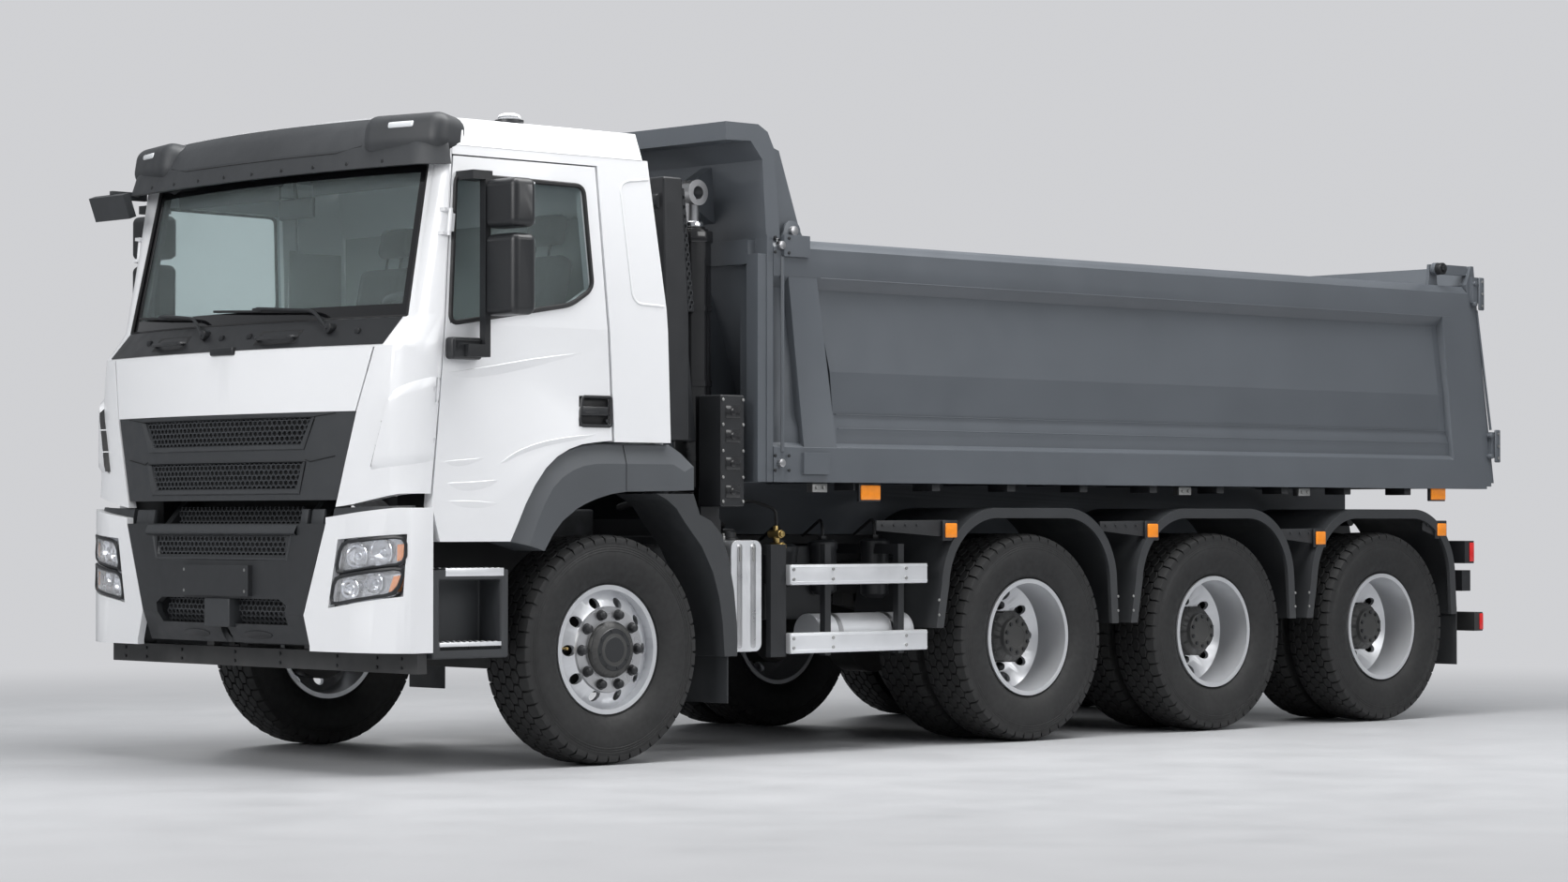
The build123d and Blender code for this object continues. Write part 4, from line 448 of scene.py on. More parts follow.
@dataclass
class Form:
    """A mesh being built from bmesh operators, in metres in the truck's frame."""

    bm: bmesh.types.BMesh = field(default_factory=bmesh.new)

    def _soften(self, verts: Iterable[bmesh.types.BMVert], width: float, segments: int) -> None:
        """Round the edges between the given vertices."""
        if width <= 0.0:
            return
        chosen = set(verts)
        edges = [e for e in self.bm.edges if e.verts[0] in chosen and e.verts[1] in chosen
                 and len(e.link_faces) == 2 and e.calc_face_angle(0.0) > 0.5]
        bmesh.ops.bevel(self.bm, geom=edges, offset=width, offset_type="OFFSET", segments=segments,
                        profile=0.5, affect="EDGES", clamp_overlap=True, material=-1)

    def box(self, x: Flat, y: Flat, z: Flat, round_by: float = 0.0, segments: int = 2,
            turn: Matrix | None = None) -> "Form":
        """Add a box.

        Args:
            x: its two x places.
            y: its two y places.
            z: its two z places.
            round_by: width of its rounded edges.
            segments: steps in a rounded edge.
            turn: rotation about its own centre.

        Returns:
            The form itself.
        """
        made = bmesh.ops.create_cube(self.bm, size=1.0)["verts"]
        centre = Vector([(a + b) / 2 for a, b in (x, y, z)])
        bmesh.ops.scale(self.bm, vec=Vector([abs(b - a) for a, b in (x, y, z)]), verts=made)
        if turn is not None:
            bmesh.ops.transform(self.bm, matrix=turn.to_4x4(), verts=made)
        bmesh.ops.translate(self.bm, vec=centre, verts=made)
        self._soften(made, round_by, segments)
        return self

    def rod(self, start: Point, end: Point, radius: float, steps: int = 24, end_radius: float | None = None,
            round_by: float = 0.0) -> "Form":
        """Add a round bar or cone between two points.

        Args:
            start: centre of its first end.
            end: centre of its other end.
            radius: radius at the start.
            steps: faces round it.
            end_radius: radius at the end, if it differs.
            round_by: width of the rounded rims.

        Returns:
            The form itself.
        """
        a, b = Vector(start), Vector(end)
        reach = b - a
        turn = reach.to_track_quat("Z", "Y").to_matrix().to_4x4()
        made = bmesh.ops.create_cone(
            self.bm, cap_ends=True, segments=steps, radius1=radius,
            radius2=radius if end_radius is None else end_radius, depth=reach.length,
            matrix=Matrix.Translation((a + b) / 2) @ turn)["verts"]
        if round_by:
            rims = in_order(e for v in made for e in v.link_edges
                            if any(len(f.verts) > 4 for f in e.link_faces))
            bmesh.ops.bevel(self.bm, geom=rims, offset=round_by, offset_type="OFFSET", segments=2,
                            profile=0.5, affect="EDGES", clamp_overlap=True, material=-1)
        return self

    def prism(self, outline: Sequence[Flat], across: Axis, span: Flat, round_by: float = 0.0,
              segments: int = 2) -> "Form":
        """Extrude a flat outline.

        Args:
            outline: its corners: (y, z) across X, (x, z) across Y or (x, y) across Z.
            across: the direction of the extrusion.
            span: its two places on that axis.
            round_by: width of its rounded edges.
            segments: steps in a rounded edge.

        Returns:
            The form itself.
        """
        def corner(flat: Flat) -> Point:
            """A corner in space."""
            place = list(flat)
            place.insert(across.value, span[0])
            return tuple(place)
        verts = [self.bm.verts.new(corner(p)) for p in outline]
        face = self.bm.faces.new(verts)
        grown = bmesh.ops.extrude_face_region(self.bm, geom=[face])["geom"]
        moved = [g for g in grown if isinstance(g, bmesh.types.BMVert)]
        step = Vector(ORIGIN)
        step[across.value] = span[1] - span[0]
        bmesh.ops.translate(self.bm, vec=step, verts=moved)
        faces = in_order(f for v in verts + moved for f in v.link_faces)
        bmesh.ops.recalc_face_normals(self.bm, faces=faces)
        self._soften(verts + moved, round_by, segments)
        return self

    def turned(self, profile: Sequence[Flat], centre: Point, along: Axis = Axis.Y, steps: int = 64,
               closed: bool = False) -> "Form":
        """Spin a profile about an axis.

        Args:
            profile: (place along the axis, radius) points.
            centre: a point on the axis.
            along: the axis.
            steps: faces round it.
            closed: whether the profile's ends join.

        Returns:
            The form itself.
        """
        spare = (along.value + 1) % 3
        verts = []
        for place, radius in profile:
            at = Vector(centre)
            at[along.value] = centre[along.value] + place
            at[spare] += radius
            verts.append(self.bm.verts.new(at))
        edges = [self.bm.edges.new(pair) for pair in zip(verts, verts[1:])]
        if closed:
            edges.append(self.bm.edges.new((verts[-1], verts[0])))
        axis = Vector(ORIGIN)
        axis[along.value] = 1.0
        before = set(self.bm.faces)
        bmesh.ops.spin(self.bm, geom=verts + edges, cent=centre, axis=axis, angle=math.tau, steps=steps,
                       use_merge=True, use_normal_flip=False)
        new = [f for f in self.bm.faces if f not in before]
        points = in_order(v for f in new for v in f.verts)
        bmesh.ops.remove_doubles(self.bm, verts=points, dist=MERGE)
        new = [f for f in self.bm.faces if f not in before]
        bmesh.ops.recalc_face_normals(self.bm, faces=new)
        return self

    def bolt(self, at: Point, radius: float, height: float, along: Axis = Axis.Y,
             sign: float = 1.0) -> "Form":
        """Add a hexagon head that stands up from a surface."""
        end = Vector(at)
        end[along.value] += height * sign
        return self.rod(at, tuple(end), radius, 6, round_by=radius * 0.12)

    def bar(self, path: Sequence[Point], radius: float, corner: float = 0.0, steps: int = 10) -> "Form":
        """Sweep a round bar along a path with rounded corners.

        Args:
            path: its corner points.
            radius: radius of the bar.
            corner: radius of its bends.
            steps: faces round it.

        Returns:
            The form itself.
        """
        line = rounded_path([Vector(p) for p in path], corner)
        curve = bpy.data.curves.new("bar_line", "CURVE")
        curve.dimensions = "3D"
        curve.bevel_depth = radius
        curve.bevel_resolution = max(1, steps // 4 - 1)
        curve.use_fill_caps = True
        spline = curve.splines.new("POLY")
        spline.points.add(len(line) - 1)
        for point, place in zip(spline.points, line):
            point.co = (*place, 1.0)
        holder = bpy.data.objects.new("bar_holder", curve)
        mesh = bpy.data.meshes.new_from_object(holder)
        self.bm.from_mesh(mesh)
        bpy.data.objects.remove(holder)
        bpy.data.curves.remove(curve)
        bpy.data.meshes.remove(mesh)
        bmesh.ops.remove_doubles(self.bm, verts=self.bm.verts, dist=MERGE)
        return self

    def sheet(self, columns: int, rows: int, place: Callable[[float, float], Point]) -> "Form":
        """Add a sheet whose points are placed by two shares, from 0 to 1.

        Args:
            columns: steps along the first share.
            rows: steps along the second one.
            place: the place of a pair of shares.

        Returns:
            The form itself.
        """
        for vert in bmesh.ops.create_grid(self.bm, x_segments=columns, y_segments=rows, size=0.5)["verts"]:
            vert.co = place(vert.co.x + 0.5, vert.co.y + 0.5)
        return self

    def thicken(self, step: Point) -> "Form":
        """Extrude the whole sheet by a step and close it."""
        grown = bmesh.ops.extrude_face_region(self.bm, geom=self.bm.faces[:])["geom"]
        bmesh.ops.translate(self.bm, vec=Vector(step),
                            verts=[g for g in grown if isinstance(g, bmesh.types.BMVert)])
        bmesh.ops.recalc_face_normals(self.bm, faces=self.bm.faces)
        return self

    def patch(self, columns: int, rows: int, place: Callable[[float, float], Point],
              thickness: float) -> "Form":
        """Add a sheet as sheet() does, thickened behind it in x."""
        single = Form().sheet(columns, rows, place).thicken((-thickness, 0.0, 0.0))
        return self.joined(single)

    def facing(self, along: Axis) -> "Form":
        """Turn the faces of a sheet so that most of them look along an axis."""
        bmesh.ops.recalc_face_normals(self.bm, faces=self.bm.faces)
        if sum(face.normal[along.value] for face in self.bm.faces) < 0.0:
            bmesh.ops.reverse_faces(self.bm, faces=self.bm.faces)
        return self

    def pierced(self, wall: float) -> "Form":
        """Turn flat cells that touch into the walls between them."""
        bmesh.ops.remove_doubles(self.bm, verts=self.bm.verts, dist=CELL_MERGE)
        cells = self.bm.faces[:]
        bmesh.ops.inset_individual(self.bm, faces=cells, thickness=wall)
        bmesh.ops.delete(self.bm, geom=cells, context="FACES")
        return self

    def joined(self, other: "Form") -> "Form":
        """Take in another form, which is used up."""
        mesh = bpy.data.meshes.new("joined")
        other.bm.to_mesh(mesh)
        other.bm.free()
        self.bm.from_mesh(mesh)
        bpy.data.meshes.remove(mesh)
        return self

    def mirrored(self) -> "Form":
        """Add the mirror image on the truck's other side."""
        geom = self.bm.verts[:] + self.bm.edges[:] + self.bm.faces[:]
        copy = bmesh.ops.duplicate(self.bm, geom=geom)["geom"]
        verts = [g for g in copy if isinstance(g, bmesh.types.BMVert)]
        faces = [g for g in copy if isinstance(g, bmesh.types.BMFace)]
        bmesh.ops.scale(self.bm, vec=Vector((1.0, -1.0, 1.0)), verts=verts)
        bmesh.ops.reverse_faces(self.bm, faces=faces)
        return self

    def flipped(self) -> "Form":
        """Move the whole form to the truck's other side."""
        bmesh.ops.scale(self.bm, vec=Vector((1.0, -1.0, 1.0)), verts=self.bm.verts)
        bmesh.ops.reverse_faces(self.bm, faces=self.bm.faces)
        return self

    def placed(self, matrix: Matrix) -> "Form":
        """Transform the whole form."""
        bmesh.ops.transform(self.bm, matrix=matrix, verts=self.bm.verts)
        return self

    def ring_copies(self, count: int, centre: Point, along: Axis = Axis.Y, first: float = 0.0) -> "Form":
        """Repeat the whole form round an axis."""
        geom = self.bm.verts[:] + self.bm.edges[:] + self.bm.faces[:]
        axis = Vector(ORIGIN)
        axis[along.value] = 1.0
        bmesh.ops.rotate(self.bm, cent=centre, matrix=Matrix.Rotation(first, 3, axis), verts=self.bm.verts)
        for i in range(1, count):
            copy = bmesh.ops.duplicate(self.bm, geom=geom)["geom"]
            verts = [g for g in copy if isinstance(g, bmesh.types.BMVert)]
            bmesh.ops.rotate(self.bm, cent=centre, matrix=Matrix.Rotation(math.tau * i / count, 3, axis),
                             verts=verts)
        return self

    def islands(self) -> list[set[bmesh.types.BMVert]]:
        """The vertices of each separate shell."""
        left, found = set(self.bm.verts), []
        while left:
            shell, edge = set(), [left.pop()]
            while edge:
                vert = edge.pop()
                shell.add(vert)
                fresh = [e.other_vert(vert) for e in vert.link_edges if e.other_vert(vert) in left]
                left.difference_update(fresh)
                edge.extend(fresh)
            found.append(shell)
        return found

    def drop_islands(self, keep: Callable[[Vector], bool]) -> "Form":
        """Delete the shells whose centre fails a test."""
        doomed = []
        for shell in self.islands():
            low = Vector([min(v.co[i] for v in shell) for i in range(3)])
            high = Vector([max(v.co[i] for v in shell) for i in range(3)])
            if not keep((low + high) / 2):
                doomed.extend(shell)
        bmesh.ops.delete(self.bm, geom=doomed, context="VERTS")
        return self

    def piece(self, name: str, finish: Finish, body: str, *stands_for: str,
              smooth: float = 40.0) -> bpy.types.Object:
        """Finish the form as a piece that rides on a body.

        Args:
            name: the piece's name.
            finish: its finish.
            body: the CAD body that it rides on.
            stands_for: CAD nodes that it replaces.
            smooth: angle in degrees above which an edge stays sharp.

        Returns:
            The new object.
        """
        mesh = bpy.data.meshes.new(name)
        self.bm.to_mesh(mesh)
        self.bm.free()
        mesh.shade_smooth()
        mesh.set_sharp_from_angle(angle=math.radians(smooth))
        made = bpy.data.objects.new(name, mesh)
        bpy.context.scene.collection.objects.link(made)
        made.data.materials.append(finish.material())
        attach(made, body)
        if stands_for:
            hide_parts(*stands_for)
        LOG.info("%s: %d faces on %s", name, len(mesh.polygons), body)
        return made


def rounded_path(points: Sequence[Vector], radius: float, steps: int = 6) -> list[Vector]:
    """A path whose inner corners are rounded.

    Args:
        points: corner points.
        radius: distance from a corner at which its bend starts.
        steps: points in a bend.

    Returns:
        The path's points.
    """
    if radius <= 0.0 or len(points) < 3:
        return list(points)
    line = [points[0]]
    for before, corner, after in zip(points, points[1:], points[2:]):
        back, ahead = before - corner, after - corner
        reach = min(radius, back.length * 0.49, ahead.length * 0.49)
        start, end = corner + back.normalized() * reach, corner + ahead.normalized() * reach
        for i in range(steps + 1):
            t = i / steps
            line.append(start.lerp(corner, t).lerp(corner.lerp(end, t), t))
    line.append(points[-1])
    return line


class Frame:
    """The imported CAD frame, whose nodes are dressed or stood for."""

    def __init__(self) -> None:
        """Load the frame."""
        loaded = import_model()
        self.nodes: dict[str, bpy.types.Object] = loaded["nodes"]
        groups = loaded["record"]["behaviour"]["bodies"]
        self.body_of = {node: body for body, nodes in groups.items() for node in nodes}

    def dress(self, node: str, finish: Finish, round_by: float = 0.003,
              keep: Callable[[Vector], bool] | None = None, smooth: float = 32.0) -> bpy.types.Object:
        """Stand a rounded copy of a CAD node in its place.

        Args:
            node: the node's name.
            finish: its finish.
            round_by: width of its rounded edges.
            keep: test of a solid's centre, where a node's solids differ in finish.
            smooth: angle in degrees above which an edge stays sharp.

        Returns:
            The new piece.
        """
        form = Form()
        form.bm.from_mesh(self.nodes[node].data)
        bmesh.ops.remove_doubles(form.bm, verts=form.bm.verts, dist=CAD_MERGE)
        if keep is not None:
            form.drop_islands(keep)
        bmesh.ops.dissolve_limit(form.bm, angle_limit=FLAT_ANGLE, verts=form.bm.verts, edges=form.bm.edges)
        name = f"{node}_dressed" if keep is None else f"{node}_{finish.name}"
        made = form.piece(name, finish, self.body_of[node], node, smooth=smooth)
        if round_by:
            bevel = made.modifiers.new("rounding", "BEVEL")
            bevel.width = round_by
            bevel.segments = 2
            bevel.limit_method = "ANGLE"
            bevel.angle_limit = math.radians(34.0)
            bevel.harden_normals = True
        return made


def both_sides(body: str, rows: Sequence[tuple[Form, str, Finish]], smooth: float = 40.0) -> None:
    """Mirror each form across the middle and make it a piece of a body.

    Args:
        body: the body that carries the pieces.
        rows: each form with its piece's name and its finish.
        smooth: the angle in degrees up to which faces shade as one.
    """
    for form, name, finish in rows:
        form.mirrored()
        form.piece(name, finish, body, smooth=smooth)


# ---------------------------------------------------------------- tyres
@dataclass
class TyreMould:
    """The shape of one tyre: a spun casing with rows of interlocking blocks and shoulder lugs."""

    pitches: int = 48
    block_half: float = 0.0305
    row_half: float = 0.0150
    point: float = 0.0115
    rows: tuple[float, ...] = (-0.069, -0.023, 0.023, 0.069)
    tread_radius: float = 0.5290

    # columns: distance from the middle plane, radius
    casing: tuple[Flat, ...] = (
        (0.1025, 0.2865), (0.1045, 0.3005), (0.1110, 0.3090), (0.1160, 0.3092), (0.1185, 0.3125),
        (0.1270, 0.3240), (0.1390, 0.3450), (0.1465, 0.3750), (0.1494, 0.4050), (0.1496, 0.4250),
        (0.1478, 0.4480), (0.1466, 0.4510), (0.1482, 0.4535), (0.1468, 0.4600), (0.1452, 0.4622),
        (0.1468, 0.4645), (0.1452, 0.4705), (0.1437, 0.4725), (0.1452, 0.4748), (0.1432, 0.4840),
        (0.1412, 0.4950), (0.1370, 0.5030), (0.1290, 0.5105), (0.1100, 0.5140), (0.0, 0.5155))

    def mesh(self) -> bpy.types.Mesh:
        """The tyre about the world's origin, with its axle along Y."""
        tread = Form()
        for number, row in enumerate(self.rows):
            self.row_block(tread, row, 0.5 * (number % 2))
        for sign, shift in ((-1, 0.5), (1, 0.0)):
            self.lug(tread, sign, shift)
        tread.ring_copies(self.pitches, ORIGIN)
        right = list(self.casing)
        tread.turned(right + [(-y, r) for y, r in reversed(right[:-1])], ORIGIN, steps=96, closed=True)
        mesh = bpy.data.meshes.new("tyre_mould")
        tread.bm.to_mesh(mesh)
        tread.bm.free()
        return mesh

    def crown(self, y: float) -> float:
        """Radius of the tread's face at a distance from the middle plane."""
        away = abs(y)
        if away < 0.120:
            return self.tread_radius - 0.10 * away * away
        return self.tread_radius - 0.0014 - 0.62 * (away - 0.120)

    def row_block(self, form: Form, row: float, shift: float) -> None:
        """Add one six-sided block of a row.

        Args:
            form: the form that it joins.
            row: the row's distance from the middle plane.
            shift: how far round it sits, in pitches.
        """
        a, b, p = self.block_half, self.row_half, self.point
        outline = [(a, row - b), (a, row + b), (0.0, row + b + p), (-a, row + b), (-a, row - b),
                   (0.0, row - b - p)]
        self.stand(form, outline, 0.508, shift)

    def lug(self, form: Form, sign: int, shift: float) -> None:
        """Add one shoulder lug, whose inner edge fits the zigzag of the outer row."""
        a = self.block_half - 0.001
        outline = [(a, 0.1010), (a, 0.1240), (a * 0.96, 0.1437), (-a * 0.96, 0.1437), (-a, 0.1240),
                   (-a, 0.1010), (0.0, 0.0895)]
        self.stand(form, [(x, y * sign) for x, y in outline], 0.488, shift)

    def stand(self, form: Form, outline: Sequence[Flat], foot: float, shift: float) -> None:
        """Stand a block on the casing, its face on the tread's crown and its upper edges softened.

        Args:
            form: the form that it joins.
            outline: its (x, y) corners.
            foot: radius of its hidden foot.
            shift: how far round it sits, in pitches.
        """
        before = set(form.bm.verts)
        form.prism(outline, Axis.Z, (foot, self.tread_radius))
        made = [v for v in form.bm.verts if v not in before]
        top = [v for v in made if v.co.z > foot + 1e-4]
        for vert in top:
            vert.co.z = self.crown(vert.co.y)
        edges = in_order(e for v in top for e in v.link_edges if e.verts[0] in top and e.verts[1] in top)
        bmesh.ops.bevel(form.bm, geom=edges, offset=0.0022, offset_type="OFFSET", segments=1,
                        profile=0.5, affect="EDGES", clamp_overlap=True, material=-1)
        made = [v for v in form.bm.verts if v not in before]
        turn = Matrix.Rotation(math.tau / self.pitches * shift, 3, "Y")
        bmesh.ops.rotate(form.bm, cent=ORIGIN, matrix=turn, verts=made)


@dataclass
class Tyres:
    """The two front tyres and the six twin sets."""

    front_y: float = 1.080
    twin_y: tuple[float, float] = (0.7745, 1.0995)
    rear_width: float = 0.95
    mould: TyreMould = field(default_factory=TyreMould)

    def build(self) -> None:
        """Mould each tyre node's tyres."""
        mesh = self.mould.mesh()
        for side in Side:
            self.mount(mesh, f"front_{side.word}_tyre", f"front_{side.word}_wheel",
                       FRONT_AXLE_X, (self.front_y * side.value,), 1.0)
            for number, x in enumerate(REAR_AXLES_X, start=2):
                self.mount(mesh, f"axle{number}_{side.word}_tyres", f"axle{number}_{side.word}_wheels", x,
                           tuple(y * side.value for y in self.twin_y), self.rear_width)
        bpy.data.meshes.remove(mesh)

    def mount(self, mesh: bpy.types.Mesh, node: str, body: str, x: float, places: Sequence[float],
              width: float) -> None:
        """Place copies of the moulded tyre on an axle.

        Args:
            mesh: the moulded tyre.
            node: the CAD node that they replace.
            body: the body that they ride on.
            x: x of the axle.
            places: y of each tyre's middle plane.
            width: share of the mould's width.
        """
        form = Form()
        for number, y in enumerate(places):
            before = set(form.bm.verts)
            form.bm.from_mesh(mesh)
            new = [v for v in form.bm.verts if v not in before]
            turn = Matrix.Rotation(0.7 * number + 0.3 * abs(x), 4, "Y")
            bmesh.ops.transform(form.bm, verts=new, matrix=Matrix.Translation((x, y, AXLE_Z)) @ turn
                                @ Matrix.Diagonal((1.0, width, 1.0, 1.0)))
        form.piece(f"{node}_rubber", Paints.RUBBER, body, node, smooth=34.0)


# ---------------------------------------------------------------- rims and hubs
@dataclass
class Wheels:
    """Silver rims parted from their black hubs, with nuts, covers and valves."""

    frame: Frame
    nut_circle: float = 0.1665
    nuts: int = 10
    nut_radius: float = 0.0215
    front_face: float = 1.202
    rear_face: float = 0.953

    def build(self) -> None:
        """Dress every wheel."""
        for side in Side:
            self.wheel(f"front_{side.word}_rim", side, FRONT_AXLE_X, True)
            for number, x in enumerate(REAR_AXLES_X, start=2):
                self.wheel(f"axle{number}_{side.word}_rims", side, x, False)

    def wheel(self, node: str, side: Side, x: float, steered: bool) -> None:
        """Part one wheel's rim from its hub and add the small parts.

        Args:
            node: the CAD node.
            side: the side of the truck.
            x: x of its axle.
            steered: whether it is a front wheel.
        """
        def is_hub(face: bmesh.types.BMFace) -> bool:
            """Whether a face belongs to the hub or the brake drum."""
            middle = face.calc_center_median()
            radius = max(math.hypot(v.co.x - x, v.co.z - AXLE_Z) for v in face.verts)
            return radius < 0.1302 or (radius < 0.2006 and abs(middle.y) < (1.112 if steered else 0.920))

        body = self.frame.body_of[node]
        for hub in (False, True):
            form = Form()
            form.bm.from_mesh(self.frame.nodes[node].data)
            bmesh.ops.remove_doubles(form.bm, verts=form.bm.verts, dist=CAD_MERGE)
            doomed = [f for f in form.bm.faces if is_hub(f) != hub]
            bmesh.ops.delete(form.bm, geom=doomed, context="FACES")
            bmesh.ops.dissolve_limit(form.bm, angle_limit=FLAT_ANGLE, verts=form.bm.verts,
                                     edges=form.bm.edges)
            made = form.piece(f"{node}_{'hub' if hub else 'silver'}", Paints.AXLE if hub else Paints.WHEEL,
                              body, node, smooth=30.0)
            if not hub:
                bevel = made.modifiers.new("rolled_edges", "BEVEL")
                bevel.width = 0.004
                bevel.segments = 3
                bevel.limit_method = "ANGLE"
                bevel.angle_limit = math.radians(38.0)
        face = self.front_face if steered else self.rear_face
        sign = side.value
        self.studs(f"{node}_nuts", body, x, face * sign, sign)
        if steered:
            self.front_cover(node, body, x, face * sign, sign)
        else:
            self.rear_cover(node, body, x, sign)
        self.valve(node, body, x, face * sign, sign, steered)

    def studs(self, name: str, body: str, x: float, y: float, sign: int) -> None:
        """A ring of nuts under dark domed covers, each on a washer."""
        form = Form()
        top = (x, y, AXLE_Z + self.nut_circle)
        profile = ((-0.004, 0.0), (-0.004, 0.026), (0.003, 0.026), (0.004, self.nut_radius), (0.020, 0.0205),
                   (0.028, 0.0175), (0.033, 0.0120), (0.035, 0.0))
        form.turned([(place * sign, radius) for place, radius in profile], top, steps=20)
        form.ring_copies(self.nuts, (x, y, AXLE_Z), first=math.pi / self.nuts)
        form.piece(name, Paints.DARK_STEEL, body, smooth=50.0)

    def front_cover(self, node: str, body: str, x: float, y: float, sign: int) -> None:
        """The stepped black cover in the middle of a front wheel, and the bright ring round it."""
        cover = Form()
        profile = ((-0.010, 0.1285), (0.021, 0.1275), (0.024, 0.1245), (0.024, 0.1190), (0.016, 0.1130),
                   (0.016, 0.1050), (0.036, 0.1010), (0.0405, 0.0965), (0.0405, 0.0760), (0.0375, 0.0730),
                   (0.0375, 0.0600), (0.0415, 0.0570), (0.0415, 0.0), (-0.010, 0.0))
        cover.turned([(place * sign, radius) for place, radius in profile], (x, y, AXLE_Z), steps=56)
        cover.piece(f"{node}_cover", Paints.BLACK_PLASTIC, body, smooth=36.0)
        small = Form()
        small.bolt((x, y + 0.040 * sign, AXLE_Z + 0.087), 0.0075, 0.0035, Axis.Y, sign)
        small.ring_copies(8, (x, y, AXLE_Z), first=0.2)
        small.piece(f"{node}_cover_bolts", Paints.DARK_STEEL, body)
        ring = Form()
        lip = ((-0.002, 0.2020), (0.0010, 0.2000), (0.0016, 0.1960), (0.0016, 0.1345), (-0.002, 0.1325))
        ring.turned([(place * sign, radius) for place, radius in lip], (x, y, AXLE_Z), steps=72, closed=True)
        ring.bm.verts.ensure_lookup_table()
        outer = [v for v in ring.bm.verts if math.hypot(v.co.x - x, v.co.z - AXLE_Z) > 0.19]
        bmesh.ops.translate(ring.bm, vec=Vector((0.0, -0.0085 * sign, 0.0)),
                            verts=[v for v in outer if math.hypot(v.co.x - x, v.co.z - AXLE_Z) > 0.199])
        ring.piece(f"{node}_bolting_face", Paints.STEEL, body, smooth=30.0)

    def rear_cover(self, node: str, body: str, x: float, sign: int) -> None:
        """The ribbed hub end of a driven wheel, with its ring of shaft bolts."""
        hub = Form()
        profile = ((0.953, 0.1335), (0.975, 0.1335), (0.978, 0.1312), (1.085, 0.1312), (1.0895, 0.1270),
                   (1.0900, 0.1080), (1.1010, 0.1010), (1.1130, 0.0985), (1.1300, 0.0970), (1.1335, 0.0930),
                   (1.1335, 0.0560), (1.1285, 0.0520), (1.1285, 0.0), (0.953, 0.0))
        hub.turned([(place * sign, radius) for place, radius in profile], (x, 0.0, AXLE_Z), steps=56)
        hub.piece(f"{node}_hub_end", Paints.AXLE, body, smooth=36.0)
        bolts = Form()
        bolts.bolt((x, 1.1330 * sign, AXLE_Z + 0.0790), 0.0105, 0.0080, Axis.Y, sign)
        bolts.ring_copies(10, (x, 0.0, AXLE_Z))
        bolts.piece(f"{node}_shaft_bolts", Paints.DARK_STEEL, body)
        ribs = Form()
        ribs.box(band(x, 0.006), (1.000 * sign, 1.083 * sign), (AXLE_Z + 0.120, AXLE_Z + 0.137), 0.002)
        ribs.ring_copies(10, (x, 0.0, AXLE_Z), first=0.31)
        ribs.piece(f"{node}_hub_ribs", Paints.AXLE, body)

    def valve(self, node: str, body: str, x: float, y: float, sign: int, steered: bool) -> None:
        """The tyre's valve, bent out through a hand hole."""
        form = Form()
        reach = 0.040 if steered else 0.110
        form.bar([(x + 0.262, y - 0.060 * sign, AXLE_Z + 0.012),
                  (x + 0.246, y - 0.030 * sign, AXLE_Z + 0.010),
                  (x + 0.244, y + (reach - 0.060) * sign, AXLE_Z + 0.010)], 0.0045, 0.012)
        form.rod((x + 0.244, y + (reach - 0.062) * sign, AXLE_Z + 0.010),
                 (x + 0.244, y + (reach - 0.044) * sign, AXLE_Z + 0.010), 0.0062, 12, round_by=0.001)
        form.piece(f"{node}_valve", Paints.BRASS, body)


# ---------------------------------------------------------------- surfaces to build on
class Skin:
    """The outer surface of some CAD nodes, found by casting rays onto it."""

    def __init__(self, frame: Frame, *nodes: str) -> None:
        """Gather the nodes' faces in one tree."""
        form = Form()
        for node in nodes:
            form.bm.from_mesh(frame.nodes[node].data)
        self.tree = BVHTree.FromBMesh(form.bm)
        form.bm.free()

    def hit(self, start: Point, toward: Point) -> Vector | None:
        """Where a ray meets the surface."""
        return self.tree.ray_cast(Vector(start), Vector(toward).normalized())[0]

    def front(self, y: float, z: float, fallback: float = 3.9) -> float:
        """X of the foremost surface at a place of the truck's face."""
        met = self.hit((6.0, y, z), (-1.0, 0.0, 0.0))
        return met.x if met else fallback


# columns: z, x of the corner, y of the corner, x on the centre line, from the front axle
NOSE_ROWS = ((1.185, 1.225, 1.150, 1.335), (1.610, 1.222, 1.140, 1.340), (1.900, 1.205, 1.135, 1.310),
             (2.035, 1.084, 1.128, 1.205), (2.840, 0.918, 1.095, 1.042))


def nose_face(y: float, z: float) -> float:
    """X of the nose between its corners."""
    for low, high in zip(NOSE_ROWS, NOSE_ROWS[1:]):
        if z <= high[0] or high is NOSE_ROWS[-1]:
            t = (z - low[0]) / (high[0] - low[0])
            corner_x, corner_y, middle = (low[i] + t * (high[i] - low[i]) for i in (1, 2, 3))
            return front(middle - (middle - corner_x) * (y / corner_y) ** 2)
    return front(1.3)


def bumper_face(y: float, z: float) -> float:
    """X of the bumper's centre, whose chin leans back."""
    lean = 0.075 * (0.701 - z) / 0.136 if z < 0.701 else 0.0
    return front(1.338 - 0.038 * (y / 0.930) ** 2 - lean)


@dataclass(frozen=True)
class Slot:
    """A trapezoid slot in the truck's face, filled with honeycomb."""

    name: str
    body: str
    low_z: float
    high_z: float
    low_half: float
    high_half: float
    depth: float
    face: Callable[[float, float], float]
    border: float = 0.0

    def outline(self, grow: float = 0.0, foot: float | None = None) -> list[Flat]:
        """(y, z) corners, grown at the sides and the foot."""
        low = self.low_z - (grow if foot is None else foot)
        return [(-self.low_half - grow, low), (self.low_half + grow, low),
                (self.high_half + grow, self.high_z + min(grow, 0.003)),
                (-self.high_half - grow, self.high_z + min(grow, 0.003))]


